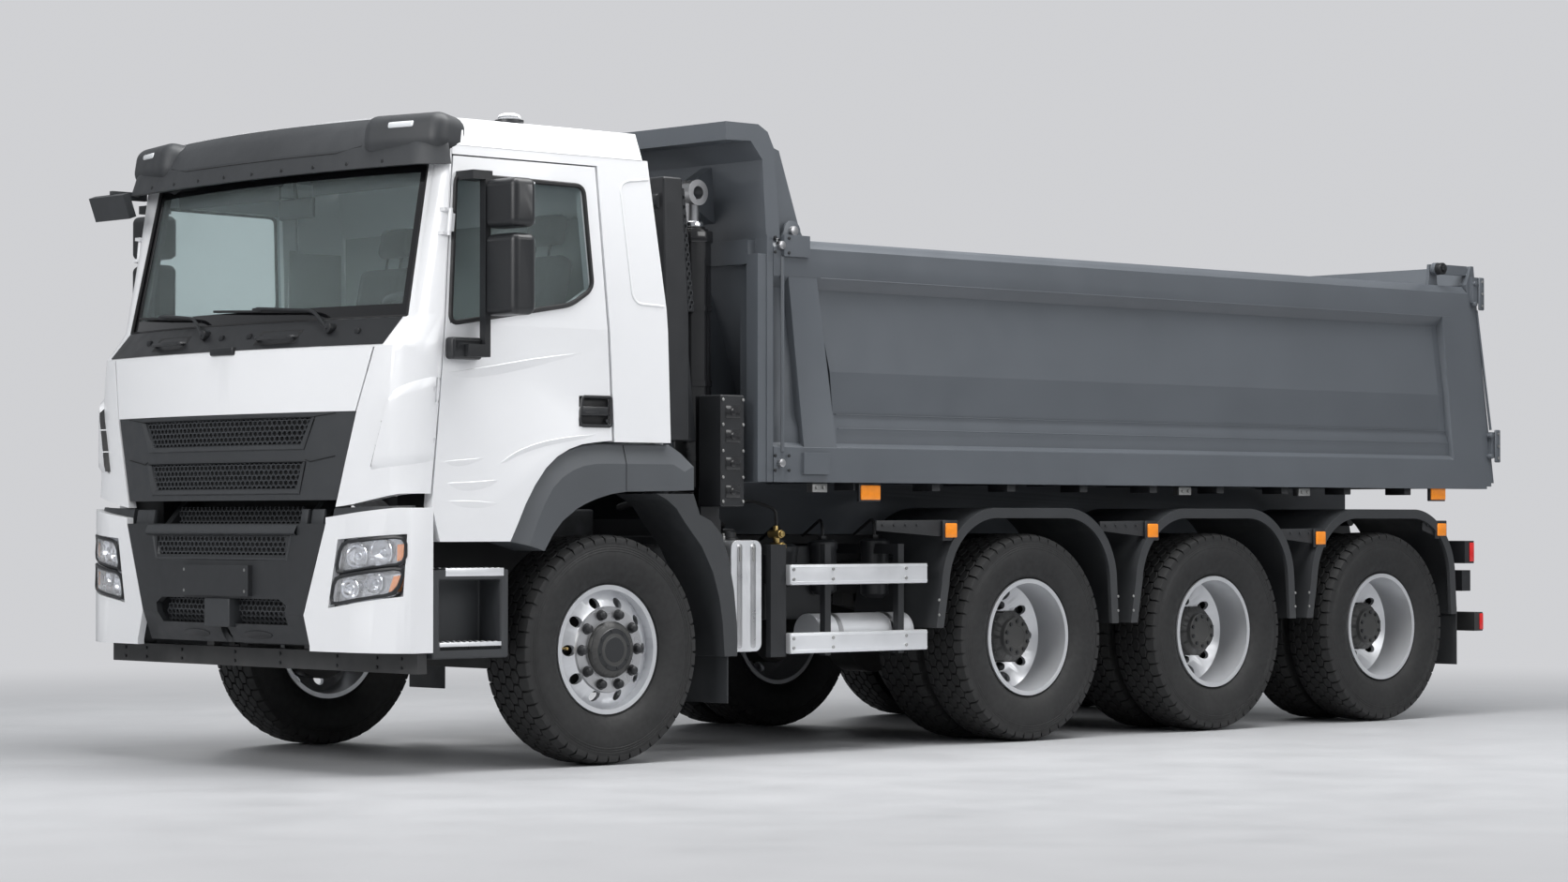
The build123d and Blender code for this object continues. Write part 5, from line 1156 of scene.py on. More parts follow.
@dataclass
class Honeycombs:
    """Honeycomb meshes behind the slots of the grille and the bumper, with their bevelled borders."""

    pitch: float = 0.0345
    row_step: float = 0.0238
    wall: float = 0.0036
    thickness: float = 0.009
    slots: tuple[Slot, ...] = (
        Slot("upper_grille", "nose_lid", 1.470, 1.584, 0.590, 0.660, 0.011, nose_face, 0.030),
        Slot("lower_grille", "nose_lid", 1.270, 1.384, 0.560, 0.600, 0.011, nose_face, 0.030),
        Slot("gap_grille", "chassis", 1.085, 1.185, 0.500, 0.500, 0.118, bumper_face),
        Slot("bumper_grille", "chassis", 0.968, 1.052, 0.500, 0.530, 0.006, bumper_face, 0.028),
        Slot("intake_grille", "chassis", 0.652, 0.768, 0.515, 0.470, 0.050, bumper_face))

    def build(self) -> None:
        """Make every mesh and border."""
        for slot in self.slots:
            self.mesh(slot)
            self.backing(slot)
            if slot.border:
                self.border(slot)

    def mesh(self, slot: Slot) -> None:
        """Tile six-sided cells over a slot, trim them to it and bend them to the face."""
        form = Form()
        step = self.row_step
        squash = Matrix.Diagonal((1.0, 1.0, self.row_step / (self.pitch * math.sqrt(3.0) / 2.0), 1.0))
        half = max(slot.low_half, slot.high_half)
        rows = int((slot.high_z - slot.low_z) / step) + 2
        columns = int(2.0 * half / self.pitch) + 2
        cycled = Matrix(((0, 0, 1, 0), (1, 0, 0, 0), (0, 1, 0, 0), (0, 0, 0, 1)))
        upright = cycled @ Matrix.Rotation(math.pi / 6, 4, "Z")
        for row in range(rows):
            for column in range(columns):
                place = (0.0, -half + (column + 0.5 * (row % 2)) * self.pitch, slot.low_z + row * step)
                bmesh.ops.create_circle(form.bm, cap_ends=True, segments=6,
                                        radius=self.pitch / math.sqrt(3.0),
                                        matrix=Matrix.Translation(place) @ squash @ upright)
        form.pierced(self.wall)
        corners_of = slot.outline(0.004, 0.004)
        for (ay, az), (by, bz) in zip(corners_of, corners_of[1:] + corners_of[:1]):
            outward = Vector((0.0, bz - az, ay - by))
            bmesh.ops.bisect_plane(form.bm, geom=form.bm.verts[:] + form.bm.edges[:] + form.bm.faces[:],
                                   plane_co=(0.0, ay, az), plane_no=outward, clear_outer=True)
        form.thicken((-self.thickness, 0.0, 0.0))
        for vert in form.bm.verts:
            vert.co.x += slot.face(vert.co.y, vert.co.z) - slot.depth
        form.piece(f"{slot.name}_honeycomb", Paints.MESH, slot.body, smooth=20.0)

    def backing(self, slot: Slot) -> None:
        """A near-black sheet behind a mesh: painted shade for the space behind it."""
        form = Form()
        form.patch(24, 2, lambda u, v: (
            slot.face((2.0 * u - 1.0) * slot.high_half, slot.low_z + (slot.high_z - slot.low_z) * v)
            - slot.depth - self.thickness - 0.0005,
            (2.0 * u - 1.0) * (slot.low_half + (slot.high_half - slot.low_half) * v),
            slot.low_z + (slot.high_z - slot.low_z) * v), 0.001)
        form.piece(f"{slot.name}_backing", Paints.HOLLOW, slot.body, smooth=50.0)

    def border(self, slot: Slot) -> None:
        """A chamfer that leads from the face down to the mesh."""
        form = Form()
        loops: list[bmesh.types.BMEdge] = []
        for outline, depth in ((slot.outline(slot.border, slot.border - 0.002), 0.0010),
                               (slot.outline(slot.border - 0.005, slot.border - 0.007), -0.0042),
                               (slot.outline(0.005, 0.005), 0.0050), (slot.outline(), slot.depth + 0.004)):
            verts = [form.bm.verts.new((depth, y, z)) for y, z in outline]
            edges = [form.bm.edges.new(pair) for pair in zip(verts, verts[1:] + verts[:1])]
            split = bmesh.ops.subdivide_edges(form.bm, edges=edges, cuts=11)["geom"]
            ring = [e for e in split if isinstance(e, bmesh.types.BMEdge)] + [e for e in edges if e.is_valid]
            loops.append(in_order(ring))
        for first, second in zip(loops, loops[1:]):
            bmesh.ops.bridge_loops(form.bm, edges=first + second)
        for vert in form.bm.verts:
            vert.co.x = slot.face(vert.co.y, vert.co.z) - vert.co.x
        form.facing(Axis.X)
        form.piece(f"{slot.name}_border",  Paints.GREY_PLASTIC, slot.body, smooth=25.0)


# ---------------------------------------------------------------- headlamps
@dataclass
class Headlamps:
    """Two-tier headlamps: black bezel, bright bowls, amber ends and a clear lens."""

    skin: Skin
    # columns: (y, z) of a tier's inner bottom, outer bottom, outer top and inner top corners
    tiers: tuple[tuple[Flat, Flat, Flat, Flat], ...] = (
        ((0.826, 0.748), (1.196, 0.800), (1.232, 0.918), (0.856, 0.872)),
        ((0.860, 0.888), (1.234, 0.934), (1.232, 1.056), (0.902, 1.026)))
    # columns: y, z, radius of a bowl's rim
    bowls: tuple[tuple[float, float, float], ...] = (
        (0.968, 0.966, 0.056), (1.098, 0.984, 0.058), (0.930, 0.822, 0.048), (1.060, 0.848, 0.046))

    def build(self) -> None:
        """Make both lamps."""
        for side in Side:
            self.lamp(side)

    def place(self, side: Side, corners_of: Sequence[Flat], u: float, v: float, depth: float) -> Point:
        """A place on the lamp's face.

        Args:
            side: the side of the truck.
            corners_of: the four corners that u and v run between.
            u: share of the way outward.
            v: share of the way up.
            depth: how far behind the bumper's face it lies.

        Returns:
            The place.
        """
        (ay, az), (by, bz), (cy, cz), (dy, dz) = corners_of
        y = (ay + (by - ay) * u) * (1 - v) + (dy + (cy - dy) * u) * v
        z = (az + (bz - az) * u) * (1 - v) + (dz + (cz - dz) * u) * v
        return self.skin.front(y, z, front(1.2)) - depth, y * side.value, z

    def lamp(self, side: Side) -> None:
        """Make one lamp's pieces."""
        word = side.word
        outline = ((0.812, 0.728), (1.222, 0.784), (1.242, 1.074), (0.892, 1.043))
        back = Form()
        back.patch(14, 10, lambda u, v: self.place(side, outline, u, v, 0.046), 0.004)
        back.piece(f"{word}_headlamp_back", Paints.LAMP_BACK, "chassis", "lamps", smooth=50.0)
        for number, tier in enumerate(self.tiers):
            lens = Form()
            lens.patch(16, 6, lambda u, v, t=tier: self.place(side, t, u, v, 0.001), 0.003)
            lens.piece(f"{word}_headlamp_lens_{number + 1}", Paints.LENS, "chassis", smooth=SOFT_ANGLE)
            amber = Form()
            amber.patch(4, 6, lambda u, v, t=tier: self.place(side, t, 0.885 + 0.08 * u, 0.14 + 0.58 * v,
                                                              0.007 + 0.004 * (1 - u)),
                        0.004)
            amber.piece(f"{word}_headlamp_amber_{number + 1}", Paints.AMBER, "chassis", smooth=SOFT_ANGLE)
            rim = Form()
            loop = ([(0.12 + 0.76 * i / 8, 0.0) for i in range(9)]
                    + [(0.965, 0.07), (1.0, 0.28), (1.0, 0.72), (0.965, 0.93)]
                    + [(0.88 - 0.76 * i / 8, 1.0) for i in range(9)]
                    + [(0.035, 0.93), (0.0, 0.72), (0.0, 0.28), (0.035, 0.07)])
            path = [self.place(side, tier, u, v, -0.001) for u, v in loop]
            rim.bar(path + path[:2], 0.0085, 0.004, 8)
            for cu, cv in ((0.0, 0.0), (1.0, 0.0), (1.0, 1.0), (0.0, 1.0)):
                kite = [(cu, cv), (abs(cu - 0.13), cv), (abs(cu - 0.035), abs(cv - 0.07)),
                        (cu, abs(cv - 0.30))]
                flat = [self.place(side, tier, u, v, 0.0)[1:] for u, v in kite]
                rim.patch(3, 3, lambda u, v, f=flat: self.place(Side.LEFT, f, u, v, -0.0005), 0.003)
            rim.piece(f"{word}_headlamp_bezel_{number + 1}", Paints.BLACK_PLASTIC, "chassis")
        cups, cones, bulbs = Form(), Form(), Form()
        for y, z, radius in self.bowls:
            mouth = Vector(self.place(side, ((y, z),) * 4, 0.0, 0.0, 0.010))
            turn = Vector((1.0, 0.25 * side.value, 0.0)).to_track_quat("Z", "Y").to_matrix().to_4x4()
            seat = Matrix.Translation(mouth) @ turn
            self.cup(cups, seat, ((0.0, radius + 0.004), (0.002, radius), (-0.006, radius * 0.94),
                                  (-0.020, radius * 0.72), (-0.032, radius * 0.42), (-0.036, 0.012)))
            self.cup(cones, seat, ((-0.034, 0.020), (-0.016, 0.019), (-0.013, 0.016), (-0.013, 0.0001)))
            self.cup(bulbs, seat, ((-0.013, 0.0145), (-0.004, 0.0125), (0.0005, 0.006), (0.0015, 0.0001)))
        cups.piece(f"{word}_headlamp_bowls", Paints.REFLECTOR, "chassis", smooth=50.0)
        cones.piece(f"{word}_headlamp_cones", Paints.CHROME, "chassis", smooth=50.0)
        bulbs.piece(f"{word}_headlamp_eyes", Paints.GLASS_BEAD, "chassis", smooth=SOFT_ANGLE)

    @staticmethod
    def cup(form: Form, seat: Matrix, profile: Sequence[Flat]) -> None:
        """Add a turned bowl.

        Args:
            form: the form that it joins.
            seat: its place, with its axis along local Z.
            profile: (height, radius) points.
        """
        single = Form().turned(profile, ORIGIN, Axis.Z, 28)
        form.joined(single.placed(seat))


# ---------------------------------------------------------------- bumper trim
@dataclass
class BumperTrim:
    """Plate screws, chin ovals, gap fillers, tow cover, beam bolts and the radiator behind."""

    skin: Skin
    plate: tuple[float, float, float] = (0.272, 0.780, 0.921)

    def build(self) -> None:
        """Make the small parts of the bumper."""
        half, low, high = self.plate
        face = front(1.360)
        screws = Form()
        for y in (-half + 0.03, half - 0.03):
            for z in (low + 0.022, high - 0.022):
                screws.turned(((-0.002, 0.0080), (0.0004, 0.0075), (0.0009, 0.005), (0.0009, 0.0)),
                              (face, y, z), Axis.X, 12)
        screws.piece("plate_screws", Paints.ZINC, "chassis")
        ovals = Form()
        for y in (-0.245, 0.245):
            outline = [(y + 0.105 * math.cos(a), 0.603 + 0.019 * math.sin(a)) for a in
                       (math.tau * i / 24 for i in range(24))]
            ovals.prism(outline, Axis.X, (-0.001, 0.0035), 0.0012, 1)
        for vert in ovals.bm.verts:
            vert.co.x += bumper_face(vert.co.y, vert.co.z)
        ovals.piece("chin_covers", Paints.BLACK_PLASTIC, "chassis")
        block = Form()
        block.box(fronts(1.262, 1.345), (-0.100, 0.100), (0.636, 0.770), 0.008, 3)
        block.piece("tow_cover", Paints.GREY_PLASTIC, "chassis")
        filler = Form()
        for y0, y1, x0, x1 in ((0.588, 0.642, 1.270, 1.302), (0.655, 0.750, 1.264, 1.292)):
            filler.prism([(front(x0), 1.100), (front(x1), 1.100), (front(x1 - 0.012), 1.176),
                          (front(x0), 1.176)],
                         Axis.Y, (y0, y1), 0.006)
        filler.mirrored()
        filler.piece("bumper_gap_blocks", Paints.GREY_PLASTIC, "chassis")
        wedge = Form()
        wedge.patch(12, 3, lambda u, v: (
            self.skin.front(0.800 + 0.425 * u, 1.120, front(1.2)) - 0.030 - 0.018 * v,
            0.800 + 0.425 * u, 1.105 + 0.075 * v + 0.01 * u), 0.020)
        wedge.mirrored()
        wedge.piece("bumper_corner_fillers", Paints.GREY_PLASTIC, "chassis", smooth=50.0)
        bolts = Form()
        for y in (-1.10, -0.92, -0.62, -0.18, 0.18, 0.62, 0.92, 1.10):
            for z in (0.470, 0.512):
                bolts.bolt((front(1.114), y, z), 0.008, 0.006, Axis.X)
        bolts.piece("beam_bolts", Paints.DARK_STEEL, "chassis")
        radiator = Form()
        radiator.box(fronts(1.066, 1.080), (-0.66, 0.66), (1.16, 1.62), 0.004)
        for i in range(22):
            z = 1.175 + i * 0.0205
            radiator.box(fronts(1.080, 1.086), (-0.64, 0.64), (z, z + 0.006))
        radiator.piece("radiator_face", Paints.AXLE, "cab")


# ---------------------------------------------------------------- screen, cowl, visor
@dataclass
class ScreenTrim:
    """Black screen border, wipers, cowl handles and the visor's lamp blisters."""

    glass: Skin
    visor: Skin
    cowl: Skin
    low_z: float = 2.035
    high_z: float = 2.735

    def edge(self, u: float, z: float) -> float:
        """Y across the screen at a height, for u from -1 to 1."""
        return u * (1.100 - 0.032 * (z - self.low_z) / (self.high_z - self.low_z))

    def on_glass(self, y: float, z: float, out: float) -> Point:
        """A place on the screen."""
        return nose_face(y, z) - 0.014 + out, y, z

    def build(self) -> None:
        """Make the border, wipers, handles and blisters."""
        band = Form()
        # columns: u at the start, u at the end, z at the start, z at the end
        for u0, u1, z0, z1 in ((-1.0, 1.0, self.low_z, self.low_z + 0.055),
                               (-1.0, 1.0, self.high_z - 0.050, self.high_z),
                               (-1.0, -0.957, self.low_z, self.high_z),
                               (0.957, 1.0, self.low_z, self.high_z)):
            wide = u1 - u0 > 1.0
            band.patch(24 if wide else 2, 2 if wide else 12,
                       lambda u, v, a=u0, b=u1, c=z0, d=z1: self.on_glass(
                           self.edge(a + (b - a) * u, c + (d - c) * v), c + (d - c) * v, 0.0022), 0.0035)
        band.piece("screen_border", Paints.BANDED_GLASS, "cab", smooth=SOFT_ANGLE)
        seal = Form()
        outline = [self.on_glass(self.edge(-1.0 + 2.0 * i / 20, self.low_z), self.low_z - 0.004, 0.008)
                   for i in range(21)]
        outline += [self.on_glass(self.edge(1.0 - 2.0 * i / 20, self.high_z), self.high_z, 0.008)
                    for i in range(21)]
        seal.bar(outline + outline[:2], 0.0085, 0.006, 8)
        seal.piece("screen_seal", Paints.SEAL, "cab")
        self.wipers()
        self.cowl_parts()
        self.blisters()

    def wipers(self) -> None:
        """Two arms parked along the foot of the screen, with their blades."""
        arms, blades = Form(), Form()
        # columns: y of the spindle, y of the blade's two ends
        for spindle_y, end_a, end_b in ((0.700, 0.500, -0.250), (-0.230, -0.420, -1.010)):
            base = (nose_face(spindle_y, 1.985) + 0.014, spindle_y, 1.985)
            knee = self.on_glass(spindle_y - 0.16, 2.075, 0.040)
            middle = self.on_glass((end_a + end_b) / 2, 2.100, 0.034)
            arms.rod((base[0] - 0.02, base[1], base[2]), (base[0] + 0.022, base[1], base[2] + 0.004), 0.024,
                     20, round_by=0.004)
            arms.bar([(base[0] + 0.018, base[1], base[2]), knee, middle], 0.0085, 0.05, 8)
            span = [self.on_glass(end_a + (end_b - end_a) * t, 2.072 + 0.030 * t,
                                  0.020 + 0.006 * math.sin(math.pi * t))
                    for t in (0.0, 0.12, 0.25, 0.38, 0.5, 0.62, 0.75, 0.88, 1.0)]
            blades.bar(span, 0.0062, 0.03, 8)
            rubber = [(x - 0.011, y, z - 0.002) for x, y, z in span]
            blades.bar(rubber, 0.0042, 0.03, 6)
            arms.box((middle[0] - 0.012, middle[0] + 0.006), (middle[1] - 0.035, middle[1] + 0.035),
                     (middle[2] - 0.016, middle[2] + 0.004), 0.004)
        arms.piece("wiper_arms", Paints.BLACK_PLASTIC, "cab")
        blades.piece("wiper_blades", Paints.SEAL, "cab")

    def cowl_parts(self) -> None:
        """Grab handles in their recesses, the lid hinge's cover and washer jets."""
        handles, cups, jets = Form(), Form(), Form()
        for y in (-0.52, 0.36):
            path = [(self.cowl.front(y + d, 1.955) + out, y + d, 1.955) for d, out in
                    ((-0.135, -0.004), (-0.125, 0.030), (0.0, 0.036), (0.125, 0.030), (0.135, -0.004))]
            handles.bar(path, 0.0105, 0.02, 10)
            cups.patch(12, 4, lambda u, v, c=y: (
                self.cowl.front(c - 0.15 + 0.30 * u, 1.925 + 0.065 * v) + 0.0008
                - 0.004 * math.sin(math.pi * u) * math.sin(math.pi * v),
                c - 0.15 + 0.30 * u, 1.925 + 0.065 * v), 0.006)
        for y in (-0.75, -0.08, 0.14, 0.88):
            x = self.cowl.front(y, 1.968)
            jets.box((x - 0.006, x + 0.011), band(y, 0.016), (1.958, 1.982), 0.004)
        cover = Form()
        cover.box(fronts(1.284, 1.326), (-0.092, 0.092), (1.884, 1.921), 0.008, 3)
        handles.piece("cowl_handles", Paints.BLACK_PLASTIC, "cab")
        cups.piece("cowl_recesses", Paints.SEAL, "cab", smooth=SOFT_ANGLE)
        jets.piece("washer_jets", Paints.BLACK_PLASTIC, "cab")
        cover.piece("lid_hinge_cover", Paints.BLACK_PLASTIC, "cab")

    def blisters(self) -> None:
        """Lamp pods at the visor's ends with clear lamps, and a row of screws along its foot."""
        pods, lamps, screws = Form(), Form(), Form()
        pods.box((-0.120, 0.098), (-0.235, 0.230), (-0.098, 0.092), 0.068, 7)
        lamps.box((0.078, 0.1020), (-0.075, 0.075), (0.012, 0.044), 0.012, 4)
        turn = Matrix.Rotation(math.radians(14.0), 4, "Z") @ Matrix.Rotation(math.radians(-9.0), 4, "Y")
        seat = Matrix.Translation((front(0.968), 0.985, 2.850)) @ turn
        for form in (pods, lamps):
            form.placed(seat)
            form.mirrored()
        pods.piece("visor_pods", Paints.GREY_PLASTIC, "cab", smooth=SOFT_ANGLE)
        lamps.piece("visor_lamps", Paints.LAMP_GLASS, "cab")
        for i in range(9):
            y = -0.92 + i * 0.23
            x = self.visor.front(y, 2.732)
            screws.turned(((-0.002, 0.010), (0.0016, 0.0095), (0.0030, 0.006), (0.0030, 0.0)), (x, y, 2.732),
                          Axis.X, 12)
        screws.piece("visor_screws", Paints.DARK_STEEL, "cab")


# ---------------------------------------------------------------- corner panels
@dataclass
class CornerPanels:
    """The deflector shells on the cab's front corners, each with a ribbed mouth whose black sheet is painted
    shade for the scoop's dark opening.
    """

    skin: Skin
    axis_x: float = 0.950
    axis_y: float = 0.800
    low_z: float = 1.346
    high_z: float = 1.669
    stand: float = 0.026

    def around(self, side: Side, angle: float, z: float, out: float) -> Point:
        """A place on the corner, found from outside.

        Args:
            side: the side of the truck.
            angle: degrees from straight ahead, seen from above.
            z: height.
            out: how far it stands off the skin.

        Returns:
            The place.
        """
        turn = math.radians(angle)
        ahead = Vector((math.cos(turn), math.sin(turn) * side.value, 0.0))
        middle = Vector((front(self.axis_x), self.axis_y * side.value, z))
        met = self.skin.hit(tuple(middle + ahead * 1.2), tuple(-ahead))
        return tuple((met if met else middle + ahead * 0.4) + ahead * out)

    def lip(self, share: float) -> float:
        """Angle of the lip at a share of its height."""
        return 40.0 + 11.5 * share

    def build(self) -> None:
        """Make both shells and mouths."""
        for side in Side:
            shell, mouth, ribs = Form(), Form(), Form()
            shell.sheet(18, 14, lambda u, v, s=side: self.shell_point(s, u, v))
            # The mouth is a black rubber sheet across the scoop's opening: painted shade for the dark inside
            # of the scoop.
            mouth.sheet(3, 14, lambda u, v, s=side: self.around(
                s, self.lip(v) - 0.6 * (1.0 - u), self.low_z + 0.015 + (self.high_z - self.low_z - 0.03) * v,
                0.0015 + (self.stand - 0.003) * u))
            for share in (0.34, 0.67):
                z = self.low_z + (self.high_z - self.low_z) * share
                ribs.rod(self.around(side, self.lip(share) - 0.9, z, 0.002),
                         self.around(side, self.lip(share) + 0.2, z, self.stand), 0.0032, 8)
            shell.piece(f"{side.word}_deflector", Paints.CAB, "cab", smooth=40.0)
            mouth.piece(f"{side.word}_deflector_mouth", Paints.SEAL, "cab", smooth=40.0)
            ribs.piece(f"{side.word}_deflector_ribs", Paints.CAB, "cab")

    def shell_point(self, side: Side, u: float, v: float) -> Point:
        """A place on the shell, from its lip to the door's edge and from foot to top."""
        low = self.low_z + 0.030 * u
        high = self.high_z + 0.105 * u ** 0.55
        share = min(max(v, 0.0), 1.0)
        angle = self.lip(share) * (1.0 - u) + 78.5 * u
        rise = min(1.0, share / 0.10, (1.0 - share) / 0.09)
        out = -0.003 + (self.stand + 0.003) * math.sin(rise * math.pi / 2.0) * (1.0 - 0.80 * u)
        return self.around(side, angle, low + (high - low) * share, out)


# ---------------------------------------------------------------- doors
@dataclass
class DoorTrim:
    """Window seals, black handles and linings of both doors."""

    # columns: x from the front axle, z of the window's corners
    window: tuple[Flat, ...] = ((0.903, 2.667), (0.164, 2.658), (0.130, 2.187), (0.263, 2.108),
                                (0.962, 1.998))
    wall_y: float = 1.245
    lean_from: float = 2.000
    lean: float = 0.05625

    def wall(self, z: float) -> float:
        """Y of the door's outer face at a height."""
        return self.wall_y - max(0.0, z - self.lean_from) * self.lean

    def build(self) -> None:
        """Make both doors' trim."""
        for side in Side:
            body = f"{side.word}_door"
            self.seal(side, body)
            self.handle(side, body)
            self.lining(side, body)

    def seal(self, side: Side, body: str) -> None:
        """Black rubber round the window."""
        form = Form()
        ring = [(front(x), side.value * (self.wall(z) + 0.001), z) for x, z in self.window]
        first, last = Vector(ring[0]), Vector(ring[-1])
        start = tuple((first + last) / 2)
        form.bar([start, *ring, start], 0.0115, 0.045, 8)
        form.piece(f"{side.word}_window_seal", Paints.SEAL, body)

    def handle(self, side: Side, body: str) -> None:
        """A black cup with its pull bar and lock."""
        cup, bar, rim = Form(), Form(), Form()
        floor = self.wall_y - 0.0250
        outline = from_front((0.026, 1.557), (0.200, 1.557), (0.214, 1.580), (0.196, 1.691),
                   (0.026, 1.691))
        cup.prism(outline, Axis.Y, (floor, floor + 0.004), 0.003)
        path = [(x, self.wall_y - 0.002, z) for x, z in outline]
        start = ((path[0][0] + path[-1][0]) / 2, path[0][1], (path[0][2] + path[-1][2]) / 2)
        rim.bar([start, *path, start], 0.0085, 0.014, 8)
        bar.box(fronts(0.040, 0.204), (self.wall_y - 0.016, self.wall_y + 0.002), (1.604, 1.648), 0.008, 3)
        bar.box(fronts(0.100, 0.180), (self.wall_y + 0.001, self.wall_y + 0.003), (1.612, 1.622), 0.001)
        bar.rod((front(0.046), self.wall_y - 0.018, 1.582), (front(0.046), self.wall_y - 0.001, 1.582),
                0.0095, 20)
        for form, name, finish in ((cup, "handle_cup", Paints.SEAL),
                                   (bar, "handle_bar", Paints.BLACK_PLASTIC),
                                   (rim, "handle_rim", Paints.BLACK_PLASTIC)):
            if side is Side.RIGHT:
                form.flipped()
            form.piece(f"{side.word}_{name}", finish, body)

    def lining(self, side: Side, body: str) -> None:
        """The door's inner lining, with an arm rest."""
        form = Form()
        form.prism(from_front((0.905, 1.130), (0.905, 1.985), (0.260, 2.080), (0.130, 2.140),
                    (0.110, 1.500), (0.420, 1.430), (0.560, 1.200)), Axis.Y, (1.170, 1.182), 0.004)
        form.box(fronts(0.22, 0.72), (1.110, 1.175), (1.760, 1.800), 0.014, 3)
        if side is Side.RIGHT:
            form.flipped()
        form.piece(f"{side.word}_door_lining", Paints.LINING, body)


# ---------------------------------------------------------------- mirrors
@dataclass
class MirrorGlasses:
    """The mirrors' glasses, which face the rear, and the seams of their shells."""

    # columns: name, z of foot, z of head
    rows: tuple[tuple[str, float, float], ...] = (("upper", 2.440, 2.626), ("lower", 2.060, 2.370))

    def build(self) -> None:
        """Make the glasses and seams."""
        for side in Side:
            for name, low, high in self.rows:
                glass, seam = Form(), Form()
                glass.box(fronts(0.6875, 0.6915), (1.318, 1.502), (low, high), 0.0015)
                seam.bar([(front(0.760), y, z) for y, z in
                          ((1.5228, low + 0.03), (1.5228, high - 0.03))], 0.0022, 0.01, 6)
                for form, word, finish in ((glass, "mirror", Paints.MIRROR_GLASS),
                                           (seam, "mirror_seam", Paints.SEAL)):
                    if side is Side.RIGHT:
                        form.flipped()
                    form.piece(f"{side.word}_{name}_{word}", finish, f"{side.word}_door")


# ---------------------------------------------------------------- roof and back of the cab
@dataclass
class RoofAndBack:
    """Roof lamp, hatch, aerial, and the air intake's duct with its pierced plate."""

    roof: Skin

    def build(self) -> None:
        """Make the roof's and the back's small parts."""
        base, dome = Form(), Form()
        place = (front(0.300), 0.838, 0.0)
        base.turned(((2.944, 0.058), (2.962, 0.058), (2.968, 0.068), (2.980, 0.067), (2.984, 0.055),
                     (2.984, 0.030)), place,
                    Axis.Z, 32)
        dome.turned(((2.984, 0.054), (2.996, 0.053), (3.005, 0.046), (3.011, 0.030), (3.0125, 0.001)), place,
                    Axis.Z, 32)
        base.piece("roof_lamp_base", Paints.BLACK_PLASTIC, "cab")
        dome.piece("roof_lamp_dome", Paints.LENS, "cab", smooth=SOFT_ANGLE)
        stub = Form()
        z = self.roof_z(0.560, 0.760) + 0.027
        stub.turned(((z - 0.003, 0.018), (z + 0.006, 0.017), (z + 0.012, 0.008), (z + 0.012, 0.001)),
                    (front(0.560), 0.760, 0.0), Axis.Z, 20)
        stub.piece("aerial_base", Paints.BLACK_PLASTIC, "cab")
        hatch = Form()
        hatch.box(fronts(0.05, 0.62), (-0.40, 0.40), (2.950, 2.972), 0.012, 3)
        hatch.piece("roof_hatch", Paints.CAB, "cab")
        self.perforated()

    def roof_z(self, x: float, y: float) -> float:
        """Height of the roof at a place."""
        met = self.roof.hit((front(x), y, 4.0), (0.0, 0.0, -1.0))
        return met.z if met else 2.95

    def perforated(self) -> None:
        """The intake's rear duct and the pierced plate over its upper part."""
        pitch, wall = 0.026, 0.0045
        step = pitch * math.sqrt(3.0) / 2.0
        low_z, high_z, foot_z = 2.125, 2.700, 1.500
        duct = Form()
        for bottom, top, depth in ((low_z - 0.010, high_z, 0.128), (foot_z, low_z - 0.020, 0.070)):
            duct.prism([(front(self.intake_edge(bottom) + 0.020), bottom),
                        (front(self.intake_edge(bottom) - depth), bottom),
                        (front(self.intake_edge(top) - depth), top),
                        (front(self.intake_edge(top) + 0.020), top)], Axis.Y,
                       (1.052, 1.1035), 0.006)
        duct.piece("intake_duct", Paints.BLACK_PLASTIC, "cab")
        form = Form()
        stand = Matrix.Rotation(math.pi / 2, 4, "X")
        for row in range(int((high_z - low_z) / step)):
            z = low_z + (row + 0.5) * step
            for column in range(4):
                x = self.intake_edge(z) - 0.016 - (column + 0.5 * (row % 2)) * pitch
                bmesh.ops.create_circle(form.bm, cap_ends=True, segments=6, radius=pitch / math.sqrt(3.0),
                                        matrix=Matrix.Translation((front(x), 1.1030, z)) @ stand
                                        @ Matrix.Rotation(math.pi / 6, 4, "Z"))
        form.pierced(wall)
        form.thicken((0.0, 0.006, 0.0))
        form.piece("intake_plate", Paints.GREY_PLASTIC, "cab", smooth=20.0)

    @staticmethod
    def intake_edge(z: float) -> float:
        """X of the intake's rear edge at a height, from the front axle."""
        return -0.418 - 0.142 * (2.739 - z) / 1.280


# ---------------------------------------------------------------- pressed creases
@dataclass(frozen=True)
class Crease:
    """A pressed line in a side panel: a crisp upper edge that fades out below.

    Args:
        name: name of the piece.
        body: the body it rides on, or the word after the side where each side has its own.
        line: (x from the front axle, z) points along it.
        height: how far it stands off the panel.
        fade: width of the slope below it.
    """

    name: str
    body: str
    line: tuple[Flat, ...]
    height: float = 0.0035
    fade: float = 0.045


